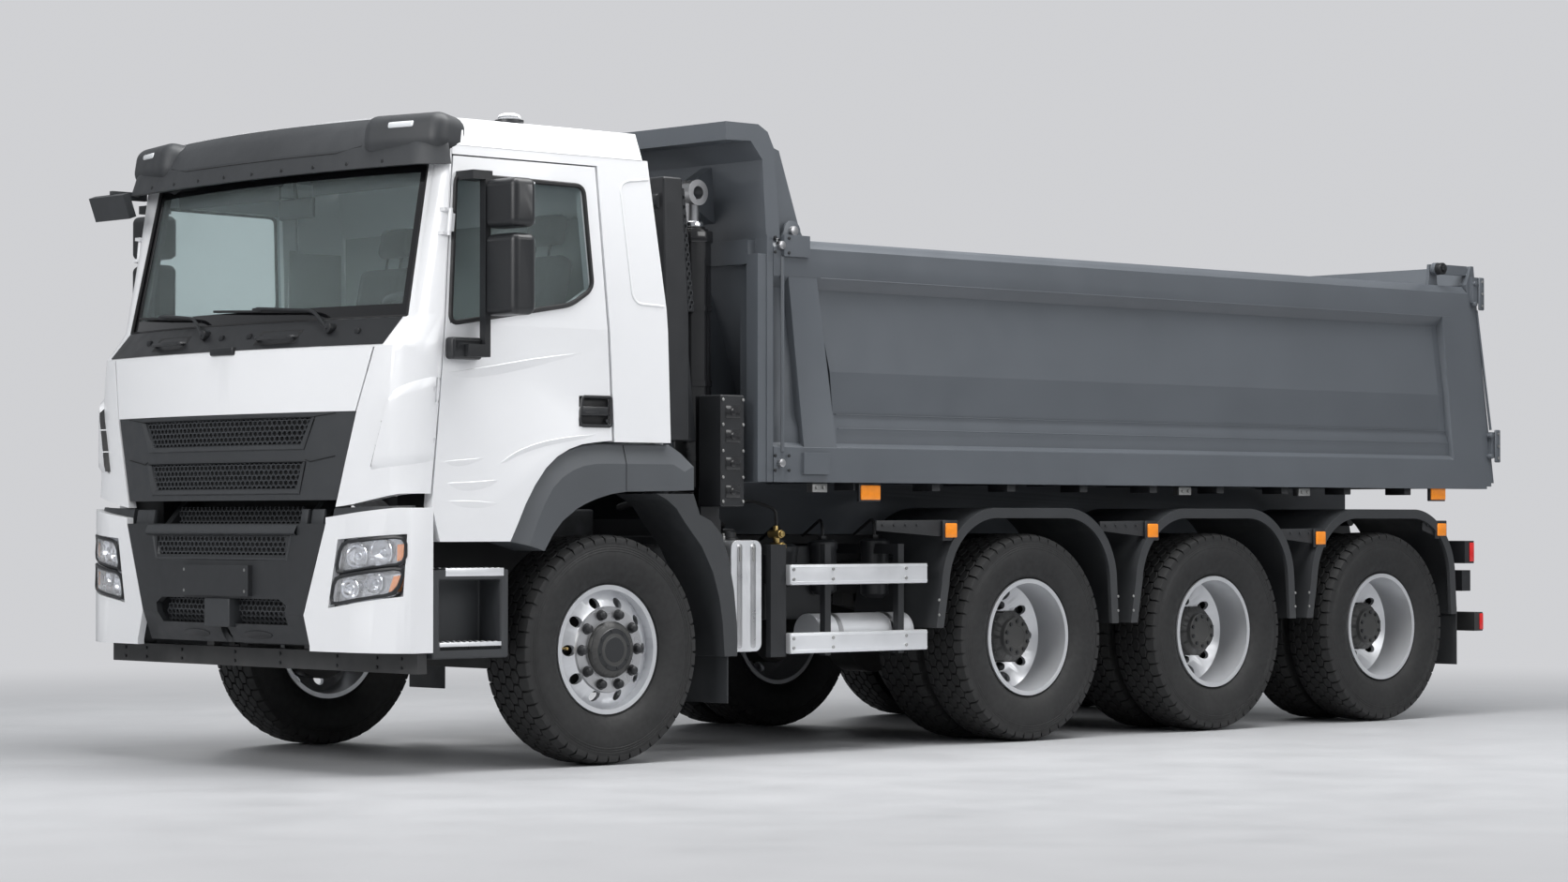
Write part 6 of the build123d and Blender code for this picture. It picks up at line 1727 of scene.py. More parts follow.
@dataclass
class Creases:
    """The pressed lines of the doors and of the cab's rear panels."""

    wall: Callable[[float], float]
    rows: tuple[Crease, ...] = (
        Crease("door_belt_crease", "door", ((1.000, 1.774), (0.775, 1.806), (0.507, 1.851), (0.100, 1.905)),
               0.0042, 0.055),
        Crease("door_upper_crease", "door", ((1.010, 1.384), (0.891, 1.393), (0.722, 1.408)), 0.0030, 0.035),
        Crease("door_lower_crease", "door", ((0.995, 1.289), (0.827, 1.294), (0.660, 1.309)), 0.0038, 0.050),
        Crease("door_foot_crease", "door", ((0.990, 1.211), (0.827, 1.211), (0.654, 1.199)), 0.0030, 0.040),
        Crease("door_arch_crease", "door",
               ((0.690, 1.372), (0.594, 1.432), (0.443, 1.480), (0.247, 1.509), (0.092, 1.520)), 0.0050,
               0.030),
        Crease("rear_belt_crease", "cab", ((0.000, 1.917), (-0.290, 1.944)), 0.0040, 0.050),
        Crease("rear_arch_crease", "cab", ((-0.012, 1.519), (-0.322, 1.542)), 0.0045, 0.035))
    # the pressed frame on the rear panel, as (x, z) points
    frame_line: tuple[Flat, ...] = ((-0.232, 2.712), (-0.093, 2.696), (-0.060, 2.668), (-0.112, 2.160),
                                    (-0.145, 2.128), (-0.300, 2.122))

    def build(self) -> None:
        """Make every crease on both sides."""
        for crease in self.rows:
            for side in Side:
                form = self.ridge(crease)
                if side is Side.RIGHT:
                    form.flipped()
                body = crease.body if crease.body == "cab" else f"{side.word}_door"
                form.piece(f"{side.word}_{crease.name}", Paints.CAB, body, smooth=28.0)
        self.rear_frame()

    def ridge(self, crease: Crease) -> Form:
        """The strip of one crease, pointed at its ends."""
        line = rounded_path([Vector((front(x), 0.0, z)) for x, z in crease.line], 0.12)
        steps = len(line) - 1
        # columns: share of the width below the line, share of the height
        section = ((-0.10, -0.5), (0.0, 1.0), (0.30, 0.62), (0.65, 0.22), (1.0, -0.5))

        def place(u: float, v: float) -> Point:
            """A point along and across the strip."""
            here = line[round(u * steps)]
            across, rise = section[round(v * 4)]
            ends = math.sin(math.pi * min(1.0, max(0.0, u)) ** 0.8) ** 0.35 if 0.0 < u < 1.0 else 0.0
            z = here.z - across * crease.fade * (0.35 + 0.65 * ends)
            return here.x, self.wall(z) + crease.height * rise * ends - (1.0 - ends) * 0.001, z
        form = Form().sheet(steps, 4, place)
        return form.facing(Axis.Y)

    def rear_frame(self) -> None:
        """The rounded pressed frame behind each door."""
        form = Form()
        form.bar([(front(x), self.wall(z) - 0.0045, z) for x, z in self.frame_line], 0.0085, 0.035, 12)
        form.mirrored()
        form.piece("rear_panel_frames", Paints.CAB, "cab", smooth=70.0)


@dataclass
class FaceLines:
    """Seams and ledges drawn in the grille, the bumper's centre and the visor."""

    visor: Skin

    def build(self) -> None:
        """Make the lines."""
        seams = Form()
        for sign in (-1.0, 1.0):
            for line, radius in ((((0.822, 1.412), (0.660, 1.388), (0.632, 1.398)), 0.0018),
                                 (((0.828, 1.604), (0.690, 1.590)), 0.0014)):
                seams.bar([(nose_face(sign * y, z) + 0.0003, sign * y, z) for y, z in line], radius, 0.0, 6)
        seams.piece("grille_seams", Paints.HOLLOW, "nose_lid")
        ledge = Form()
        # columns: z and how far it stands off the bumper's face
        section = ((1.108, -0.004), (1.100, 0.003), (1.072, 0.017), (1.066, 0.016), (1.058, 0.004),
                   (1.056, -0.004))

        def place(u: float, v: float) -> Point:
            """A point along and around the ledge."""
            y = -0.600 + 1.200 * u
            z, off = section[round(v * 5)]
            return bumper_face(y, z) + off, y, z
        ledge.sheet(24, 5, place)
        ledge.facing(Axis.X)

        ledge.piece("bumper_ledge", Paints.GREY_PLASTIC, "chassis", smooth=30.0)
        line = Form()
        points = [(-0.60 + 1.20 * i / 12, 2.788) for i in range(13)]
        points = [(-0.76, 2.812)] + points + [(0.76, 2.812)]
        line.bar([(self.visor.front(y, z, front(1.1)) + 0.0003, y, z) for y, z in points], 0.0017, 0.0, 6)
        line.piece("visor_seam", Paints.HOLLOW, "cab")


@dataclass
class WheelArches:
    """The cab's wheel arches: an upright band by the tyre and a strip that leans in above it."""

    node: str = "wheel_arches"
    strip: float = 0.092
    lean: float = 0.028
    outer_y: float = 1.2445
    inner_y: float = 1.022
    # columns: (x, z) of the outer edge and of the edge by the tyre, from the front axle
    ribs: tuple[tuple[Flat, Flat], ...] = (
        ((0.597, 1.034), (0.418, 0.987)), ((0.562, 1.112), (0.394, 1.024)), ((0.523, 1.190), (0.370, 1.060)),
        ((0.468, 1.277), (0.342, 1.091)), ((0.404, 1.355), (0.313, 1.122)), ((0.338, 1.408), (0.269, 1.151)),
        ((0.265, 1.444), (0.224, 1.180)), ((0.190, 1.466), (0.174, 1.202)), ((0.111, 1.476), (0.111, 1.224)),
        ((0.028, 1.478), (0.028, 1.245)), ((-0.068, 1.478), (-0.068, 1.258)),
        ((-0.357, 1.478), (-0.357, 1.263)), ((-0.430, 1.440), (-0.425, 1.265)),
        ((-0.484, 1.381), (-0.484, 1.267)))

    def build(self) -> None:
        """Loft the arch through its ribs, on both sides."""
        rows = []
        for (ox, oz), (ix, iz) in self.ribs:
            share = min(self.strip / math.hypot(ix - ox, iz - oz), 0.5)
            if ox < -0.45:
                share = 0.02
            fold = (front(ox + (ix - ox) * share), self.outer_y, oz + (iz - oz) * share)
            edge = self.outer_y - self.lean * min(1.0, share * 4.0)
            rows.append(((front(ox), self.inner_y, oz), (front(ox), edge - 0.006, oz),
                         (front(ox), edge, oz - 0.004), fold, (front(ix), self.outer_y, iz),
                         (front(ix), self.inner_y, iz)))
        form = Form()
        made = [[form.bm.verts.new(point) for point in row] for row in rows]
        for here, ahead in zip(made, made[1:]):
            for i in range(len(here)):
                j = (i + 1) % len(here)
                form.bm.faces.new((here[i], here[j], ahead[j], ahead[i]))
        form.bm.faces.new(made[0])
        form.bm.faces.new(made[-1][::-1])
        bmesh.ops.recalc_face_normals(form.bm, faces=form.bm.faces)
        form.mirrored()
        form.piece("wheel_arches_folded", Paints.FENDER, "cab", self.node, smooth=16.0)
        seam = Form()
        seam.bar(from_front((-0.068, 1.2195, 1.474), (-0.068, 1.2450, 1.387), (-0.068, 1.2450, 1.262)),
                 0.0016, 0.0, 6)
        seam.mirrored()
        seam.piece("arch_seams", Paints.HOLLOW, "cab")


# ---------------------------------------------------------------- inside the cab
@dataclass
class Cushion:
    """One stuffed part of a seat, measured by its middle and half sizes."""

    name: str
    middle: Point
    half: Point
    lean: float = 0.0


@dataclass
class Stuffing:
    """The filling of a pad, which swells its cover."""

    voxel: float = 0.012
    pressure: float = 4.0
    frames: int = 20
    cap: float = 0.014

    def swell(self, made: bpy.types.Object) -> None:
        """Fill a pad, and leave it as a plain mesh."""
        even = made.modifiers.new("even", "REMESH")
        even.mode = "VOXEL"
        even.voxel_size = self.voxel
        self.settle(made)
        start = [vert.co.copy() for vert in made.data.vertices]
        cloth = made.modifiers.new("stuffing", "CLOTH")
        cloth.settings.use_pressure = True
        cloth.settings.uniform_pressure_force = self.pressure
        cloth.settings.effector_weights.gravity = 0.0
        cloth.point_cache.frame_start = 1
        cloth.point_cache.frame_end = self.frames
        for frame in range(1, self.frames + 1):
            bpy.context.scene.frame_set(frame)
        self.settle(made)
        for vert, before in zip(made.data.vertices, start):
            moved = vert.co - before
            if moved.length > self.cap:
                vert.co = before + moved.normalized() * self.cap
        bpy.context.scene.frame_set(1)

    @staticmethod
    def settle(made: bpy.types.Object) -> None:
        """Keep the mesh that a piece's modifiers give, and drop them."""
        tree = bpy.context.evaluated_depsgraph_get()
        mesh = bpy.data.meshes.new_from_object(made.evaluated_get(tree))
        made.modifiers.clear()
        made.data = mesh
        for face in mesh.polygons:
            face.use_smooth = True


@dataclass
class Interior:
    """Seats, steering wheel, instruments, linings and the inner mirror."""

    seat_places: tuple[tuple[str, float], ...] = (("driver", 0.58), ("passenger", -0.58))
    seat_x: float = 0.080
    cushion_z: float = 1.760

    def build(self) -> None:
        """Make everything that shows through the glass."""
        for word, y in self.seat_places:
            self.seat(word, y)
        self.steering()
        self.dash()
        self.linings()
        self.mirror_and_shades()

    def seat(self, word: str, y: float) -> None:
        """One seat: cushion, back and head rest on a frame."""
        x = front(self.seat_x)
        parts = (Cushion("cushion", (x + 0.18, y, self.cushion_z), (0.235, 0.235, 0.060)),
                 Cushion("back", (x - 0.115, y, self.cushion_z + 0.345), (0.065, 0.225, 0.300), -14.0),
                 Cushion("head_rest", (x - 0.215, y, self.cushion_z + 0.745), (0.050, 0.135, 0.085), -14.0))
        for part in parts:
            form = Form()
            small = [length - 0.010 for length in part.half]
            form.box((-small[0], small[0]), (-small[1], small[1]), (-small[2], small[2]), min(small) * 0.80,
                     5)
            form.placed(Matrix.Translation(part.middle) @ Matrix.Rotation(math.radians(part.lean), 4, "Y"))
            made = form.piece(f"{word}_seat_{part.name}", Paints.SEAT, "cab", "seats", smooth=SOFT_ANGLE)
            Stuffing().swell(made)
            self.stitch(made, y, part.half[1] * 0.60)
        frame_form = Form()
        for offset in (-0.055, 0.055):
            frame_form.rod((x - 0.170, y + offset, self.cushion_z + 0.56),
                           (x - 0.215, y + offset, self.cushion_z + 0.77), 0.007, 12)
        frame_form.box((x - 0.05, x + 0.36), band(y, 0.19), (self.cushion_z - 0.13, self.cushion_z - 0.045),
                       0.02, 3)
        for offset in (-0.185, 0.185):
            frame_form.rod((x - 0.02, y + offset, self.cushion_z - 0.09),
                           (x - 0.10, y + offset, self.cushion_z + 0.20), 0.016, 12)
        frame_form.piece(f"{word}_seat_frame", Paints.BLACK_PLASTIC, "cab")

    @staticmethod
    def stitch(made: bpy.types.Object, middle_y: float, offset: float, depth: float = 0.006,
               width: float = 0.011) -> None:
        """Press two sewn channels into a pad.

        Args:
            made: the pad.
            middle_y: y of its middle.
            offset: how far out each channel lies.
            depth: depth of a channel.
            width: width of a channel.
        """
        for vert in made.data.vertices:
            away = (abs(vert.co.y - middle_y) - offset) / width
            vert.co -= vert.normal * depth * math.exp(-away * away)

    def steering(self) -> None:
        """A four-spoke wheel on its column."""
        rim, hub = Form(), Form()
        radius = 0.225
        ring = [(radius * math.cos(a), radius * math.sin(a), 0.0)
                for a in (math.tau * i / 36 for i in range(37))]
        rim.bar(ring, 0.0145, 0.0, 10)
        hub.turned(((-0.030, 0.045), (-0.010, 0.075), (0.012, 0.068), (0.018, 0.050), (0.018, 0.001)), ORIGIN,
                   Axis.Z, 28)
        for angle in (20.0, 160.0, 225.0, 315.0):
            turn = math.radians(angle)
            hub.bar([(0.05 * math.cos(turn), 0.05 * math.sin(turn), 0.0),
                     (radius * math.cos(turn), radius * math.sin(turn), 0.0)], 0.0125, 0.0, 8)
        hub.rod((0.0, 0.0, -0.02), (0.0, 0.0, -0.30), 0.030, 20)
        seat = (Matrix.Translation((front(0.585), 0.58, 2.010)) @ Matrix.Rotation(math.radians(-42.0), 4, "Y")
                @ Matrix.Rotation(math.radians(90.0), 4, "Z"))
        rim.placed(seat)
        hub.placed(seat)
        rim.piece("steering_wheel_rim", Paints.DASH, "cab", smooth=SOFT_ANGLE)
        hub.piece("steering_wheel_hub", Paints.DASH, "cab", smooth=50.0)

    def dash(self) -> None:
        """An instrument hood before the driver and a low tray across the cab."""
        hood = Form()
        hood.patch(16, 8, lambda u, v: (
            front(0.62 + 0.30 * v), 0.20 + 0.76 * u,
            1.955 + 0.105 * math.sin(math.pi * u) ** 0.6 * math.cos(math.pi * (v - 0.35) * 0.8)), 0.010)
        hood.piece("instrument_hood", Paints.DASH, "cab", smooth=SOFT_ANGLE)
        tray = Form()
        tray.box(fronts(0.66, 0.98), (-1.00, 0.16), (1.935, 1.985), 0.020, 3)
        tray.box(fronts(0.70, 0.90), (-0.90, -0.30), (1.980, 2.015), 0.012, 3)
        tray.piece("dash_trays", Paints.DASH, "cab")
        dials = Form()
        for y in (0.46, 0.58, 0.70):
            dials.turned(((0.0, 0.045), (-0.006, 0.043), (-0.008, 0.001)), (front(0.632), y, 1.985), Axis.X,
                         24)
        dials.piece("instrument_dials", Paints.GLOSS_BLACK, "cab")

    def linings(self) -> None:
        """Dark panels that cover the cab's painted inner faces."""
        form = Form()
        form.box(fronts(-0.225, -0.213), (-1.13, 1.13), (1.55, 2.80), 0.004)
        form.box(fronts(-0.20, 0.88), (-1.10, 1.10), (2.822, 2.834), 0.004)
        form.box(fronts(0.86, 1.00), (-1.06, 1.06), (2.742, 2.752), 0.004)
        for side in Side:
            outer, inner = sorted((1.166 * side.value, 1.158 * side.value))
            form.box(fronts(-0.21, 0.115), (outer, inner), (1.52, 2.80), 0.002)
            form.box(fronts(0.115, 0.900), (outer, inner), (2.690, 2.80), 0.002)
        form.piece("cab_linings", Paints.LINING, "cab")
        posts = Form()
        for side in Side:
            posts.bar([(front(1.035), 1.085 * side.value, 2.03), (front(0.905), 1.055 * side.value, 2.76)],
                      0.024, 0.0, 10)
        posts.piece("screen_post_linings", Paints.DASH, "cab")

    def mirror_and_shades(self) -> None:
        """The inner mirror hanging from the header, and two rolled shades."""
        mirror, shades = Form(), Form()
        mirror.box(fronts(0.885, 0.910), (-0.135, 0.135), (2.535, 2.635), 0.012, 3)
        mirror.rod((front(0.900), 0.0, 2.63), (front(0.920), 0.0, 2.735), 0.009, 12)
        for y in (-0.55, 0.55):
            shades.rod((front(0.900), y - 0.42, 2.715), (front(0.900), y + 0.42, 2.715), 0.020, 16)
            shades.box(fronts(0.897, 0.903), band(y, 0.42), (2.635, 2.715), 0.002)
        mirror.piece("inner_mirror", Paints.BLACK_PLASTIC, "cab")
        shades.piece("screen_shades", Paints.DASH, "cab")


# ---------------------------------------------------------------- steps, tank, guards
@dataclass
class StepTreads:
    """Pressed bright treads on the cab's steps, with toothed edges."""

    # columns: low and high x from the front axle, low and high y, z of the tread's top
    rows: tuple[tuple[float, float, float, float, float], ...] = (
        (0.655, 0.972, 0.985, 1.2365, 0.9105), (0.668, 1.005, 1.040, 1.2360, 0.5815))

    def build(self) -> None:
        """Make both sides' treads."""
        plate, teeth, lips = Form(), Form(), Form()
        for low_x, high_x, low_y, high_y, top in self.rows:
            plate.box((front(low_x), front(high_x)), (low_y, high_y), (top - 0.010, top), 0.002)
            count = int((high_x - low_x) / 0.032)
            for i in range(count):
                x = low_x + 0.018 + i * 0.032
                for y in (high_y - 0.012, high_y - 0.060, high_y - 0.108, high_y - 0.156):
                    teeth.turned(((0.0, 0.0105), (0.0035, 0.0085), (0.0035, 0.0055), (0.0, 0.004)),
                                 (front(x), y, top), Axis.Z, 10)
            lips.box((front(low_x - 0.006), front(high_x + 0.006)), band(high_y, 0.002),
                     (top - 0.034, top + 0.002), 0.0015)
        both_sides("chassis", ((plate, "step_treads", Paints.TREAD), (teeth, "step_teeth", Paints.TREAD),
                               (lips, "step_tread_edges", Paints.ALUMINIUM)))


@dataclass
class TankParts:
    """Straps, cap, sender and hoses of the fuel tanks, and bands of the air reservoirs."""

    low_x: float = -0.966
    low_z: float = 0.500
    high_z: float = 1.030
    outer_y: float = 1.190

    def build(self) -> None:
        """Make both sides' fittings."""
        straps, lugs, cap, fittings, hoses, seams = Form(), Form(), Form(), Form(), Form(), Form()
        for x in (-0.912, -0.824):
            path = [(front(x), 0.62, self.high_z + 0.003),
                    (front(x), self.outer_y + 0.002, self.high_z + 0.003),
                    (front(x), self.outer_y + 0.002, self.low_z - 0.003),
                    (front(x), 0.62, self.low_z - 0.003)]
            strap = Form().bar(path, 0.0022, 0.040, 8)
            bmesh.ops.scale(strap.bm, vec=Vector((7.0, 1.0, 1.0)), verts=strap.bm.verts,
                            space=Matrix.Translation((-front(x), 0.0, 0.0)))
            straps.joined(strap)
            lugs.rod((front(x), self.outer_y + 0.003, 0.93), (front(x), self.outer_y + 0.003, 0.99), 0.0065,
                     12)
            lugs.bolt((front(x), self.outer_y + 0.003, 0.99), 0.0095, 0.010, Axis.Z)
        seams.bar([(front(self.low_x + 0.012), self.outer_y - 0.02, self.high_z - 0.012),
                   (front(self.low_x + 0.012), self.outer_y - 0.02, self.low_z + 0.012)], 0.004, 0.0, 8)
        place = (front(-0.865), 1.06, 0.0)
        cap.turned(((self.high_z - 0.002, 0.052), (self.high_z + 0.012, 0.050), (self.high_z + 0.014, 0.043),
                    (self.high_z + 0.040, 0.041), (self.high_z + 0.046, 0.034), (self.high_z + 0.046, 0.001)),
                    place,
                   Axis.Z, 28)
        cap.box((place[0] - 0.036, place[0] + 0.036), (1.054, 1.066),
                (self.high_z + 0.045, self.high_z + 0.056), 0.003)
        for x, y, radius in ((-0.930, 0.90, 0.022), (-0.800, 0.93, 0.016), (-0.810, 1.09, 0.010)):
            fittings.rod((front(x), y, self.high_z - 0.002), (front(x), y, self.high_z + 0.022), radius, 16,
                         round_by=0.003)
            fittings.bolt((front(x), y, self.high_z + 0.022), radius * 0.7, 0.012, Axis.Z)
        hoses.bar(from_front((-0.930, 0.90, 1.060), (-0.930, 0.90, 1.105), (-1.02, 0.86, 1.110),
                   (-1.10, 0.74, 1.060), (-1.12, 0.60, 1.000)), 0.0095, 0.03, 8)
        hoses.bar(from_front((-0.800, 0.93, 1.056), (-0.800, 0.93, 1.090), (-0.92, 0.80, 1.120),
                   (-1.05, 0.62, 1.080)), 0.0075, 0.03, 8)
        both_sides("chassis", ((straps, "tank_straps", Paints.STEEL), (lugs, "strap_bolts", Paints.ZINC),
                               (seams, "tank_seams", Paints.ALUMINIUM),
                               (cap, "tank_caps", Paints.BLACK_PLASTIC),
                               (fittings, "tank_fittings", Paints.ZINC), (hoses, "tank_hoses", Paints.SEAL)))
        self.reservoirs()

    def reservoirs(self) -> None:
        """Bright ends and straps on the air reservoirs."""
        ends, bands = Form(), Form()
        place = (0.0, 1.070, 0.575)
        for x in (-1.380, -2.020):
            inward = -1.0 if x > -1.7 else 1.0
            ends.turned(((0.001 * -inward, 0.0955), (0.012 * inward, 0.0965), (0.012 * inward, 0.0955)),
                        (front(x), place[1], place[2]), Axis.X, 36)
        for x in (-1.52, -1.88):
            bands.turned(((-0.014, 0.0955), (-0.014, 0.0980), (0.014, 0.0980), (0.014, 0.0955)),
                         (front(x), place[1], place[2]), Axis.X, 36)
        both_sides("chassis",
                   ((ends, "reservoir_rims", Paints.ALUMINIUM), (bands, "reservoir_bands", Paints.STEEL)))


@dataclass
class SideGear:
    """Canisters, valves, hoses and bolts behind and on the side guards."""

    def build(self) -> None:
        """Make both sides' gear."""
        cans, lids, bolts, hoses, brass, rails = Form(), Form(), Form(), Form(), Form(), Form()
        for low in (0.486, 0.816):
            rails.box(fronts(-2.042, -1.110), (1.2030, 1.2415), (low - 0.0015, low + 0.0985), 0.006, 3)
            rails.box(fronts(-2.040, -1.112), (1.2405, 1.2430), (low + 0.010, low + 0.016), 0.001)
            rails.box(fronts(-2.040, -1.112), (1.2405, 1.2430), (low + 0.081, low + 0.087), 0.001)
        # columns: x from the front axle, y, low z, high z, radius
        for x, y, low, high, radius in ((-1.565, 0.985, 0.760, 1.030, 0.068),
                                        (-1.922, 0.985, 0.740, 1.035, 0.070),
                                        (-1.270, 0.990, 0.800, 1.010, 0.085)):
            cans.turned(((low, 0.001), (low, radius * 0.6), (low + 0.02, radius), (high - 0.05, radius),
                         (high - 0.04, radius * 1.08), (high - 0.012, radius * 1.08), (high, radius * 0.8),
                         (high, 0.001)), (front(x), y, 0.0), Axis.Z, 32)
            lids.bolt((front(x), y, high), radius * 0.34, 0.020, Axis.Z)
            hoses.bar([(front(x), y, high + 0.01), (front(x), y, high + 0.07),
                       (front(x - 0.08), y - 0.10, high + 0.10), (front(x - 0.13), y - 0.28, high + 0.02)],
                       0.008, 0.03, 8)
        for x in (-1.128, -1.390, -1.890):
            for z in (0.512, 0.557, 0.842, 0.890):
                bolts.bolt((front(x), 1.2415, z), 0.0085, 0.006)
        for x, z in ((-1.165, 1.060), (-1.175, 1.000)):
            brass.rod((front(x), 1.035, z), (front(x), 1.115, z), 0.020, 16, round_by=0.003)
            brass.rod((front(x), 1.075, z - 0.035), (front(x), 1.075, z + 0.040), 0.013, 16, round_by=0.002)
            brass.bolt((front(x), 1.115, z), 0.016, 0.012)
        hoses.bar(from_front((-1.17, 1.075, 1.10), (-1.17, 1.07, 1.18), (-1.10, 0.98, 1.22),
                   (-0.95, 0.80, 1.20)), 0.0085, 0.03, 8)
        hoses.bar(from_front((-1.17, 1.075, 0.965), (-1.17, 1.06, 0.90), (-1.24, 0.90, 0.84),
                   (-1.32, 0.70, 0.82)), 0.0085, 0.03, 8)
        both_sides("chassis", ((cans, "filter_canisters", Paints.BLACK_PLASTIC),
                               (lids, "canister_nuts", Paints.DARK_STEEL),
                               (bolts, "guard_bolts", Paints.ZINC), (rails, "guard_rails", Paints.ALUMINIUM),
                               (hoses, "air_hoses", Paints.SEAL), (brass, "brass_valves", Paints.BRASS)),
                               smooth=35.0)
        self.valve_box()

    def valve_box(self) -> None:
        """Bolts and round covers on the box behind the cab."""
        bolts, ribs = Form(), Form()
        for x in (-0.808, -0.680):
            for z in (1.215, 1.330, 1.455, 1.580, 1.698):
                bolts.bolt((front(x), 1.230, z), 0.008, 0.006)
        for z in (1.262, 1.395, 1.525, 1.640):
            ribs.box(fronts(-0.790, -0.698), (1.2285, 1.2335), band(z, 0.030), 0.004)
            ribs.rod((front(-0.744), 1.232, z), (front(-0.744), 1.238, z), 0.017, 20, round_by=0.002)
        both_sides("chassis",
                   ((bolts, "valve_box_bolts", Paints.ZINC), (ribs, "valve_box_covers", Paints.GLOSS_BLACK)))


# ---------------------------------------------------------------- lights and markers
@dataclass
class ChassisLights:
    """Amber markers on their brackets and the lamp clusters at the rear."""

    # columns: x from the front axle, y, z of a marker on the chassis
    markers: tuple[tuple[float, float, float], ...] = (
        (-2.205, 1.235, 1.076), (-3.723, 1.235, 1.073), (-5.121, 1.235, 1.030), (-6.215, 1.235, 1.075))

    def build(self) -> None:
        """Make markers and clusters."""
        lenses, bases, arms = Form(), Form(), Form()
        for x, y, z in self.markers:
            lenses.box(front_band(x, 0.040), (y + 0.004, y + 0.016), band(z, 0.036), 0.006, 3)
            bases.box(front_band(x, 0.054), band(y, 0.006), band(z, 0.052), 0.004)
        for start, x, z in ((-1.700, -2.205, 1.095), (-3.330, -3.723, 1.092), (-4.760, -5.121, 1.050),
                            (-6.060, -6.215, 1.092)):
            arms.prism([(front(start), z - 0.020), (front(start), z + 0.030), (front(x + 0.02), z + 0.034),
                        (front(x - 0.05), z + 0.030), (front(x - 0.05), z - 0.050),
                        (front(x + 0.05), z - 0.050)],
                       Axis.Y, (1.214, 1.228), 0.003)
            for i in range(min(4, int((start - x) / 0.08))):
                arms.bolt((front(start - 0.04 - i * 0.08), 1.228, z + 0.008), 0.008, 0.006)
        both_sides("chassis", ((lenses, "side_markers", Paints.AMBER),
                               (bases, "side_marker_bases", Paints.BLACK_PLASTIC),
                               (arms, "marker_brackets", Paints.CHASSIS)))
        self.clusters()

    def clusters(self) -> None:
        """Tail lamps: red, amber and clear chambers, red outer ends, and reflectors."""
        red, amber, clear, rims = Form(), Form(), Form(), Form()
        back = rear(-0.845)
        # columns: low y, high y, low z, high z, form
        for low_y, high_y, low_z, high_z, form in (
                (1.085, 1.215, 0.890, 1.000, red), (0.975, 1.075, 0.890, 1.000, amber),
                (0.885, 0.965, 0.890, 1.000, red), (0.790, 0.875, 0.890, 1.000, clear),
                (0.970, 1.190, 0.728, 0.832, red)):
            form.box((back - 0.006, back + 0.003), (low_y, high_y), (low_z, high_z), 0.004, 3)
        red.box((back + 0.002, back + 0.042), (1.2235, 1.2300), (0.890, 1.000), 0.003)
        red.box((rear(-0.962), rear(-0.930)), (1.198, 1.2045), (0.495, 0.588), 0.002)
        for z in (0.884, 1.006):
            rims.box(band(back, 0.004), (0.782, 1.223), band(z, 0.003), 0.001)
        both_sides("chassis", ((red, "tail_lamp_red", Paints.RED), (amber, "tail_lamp_amber", Paints.AMBER),
                               (clear, "tail_lamp_clear", Paints.LENS),
                               (rims, "tail_lamp_rims", Paints.BLACK_PLASTIC)))


# ---------------------------------------------------------------- mudguards and beams
@dataclass
class MudguardTrim:
    """Stays and bolts of the rear mudguards."""

    def build(self) -> None:
        """Make the trim of the three pairs."""
        bolts, stays = Form(), Form()
        for axle in REAR_AXLES_X:
            for offset in (-0.62, -0.42, 0.42, 0.62):
                stays.rod((axle + offset, 0.45, 0.90), (axle + offset, 0.90, 0.93), 0.019, 14)
            for offset, z in ((-0.648, 0.655), (-0.648, 0.730), (0.682, 0.655), (0.682, 0.730)):
                if axle != LAST_AXLE_X or offset > 0.0:
                    bolts.bolt((axle + offset, 1.243, z), 0.0075, 0.006)
        both_sides("chassis",
                   ((bolts, "mudguard_bolts", Paints.ZINC), (stays, "mudguard_stays", Paints.CHASSIS)))


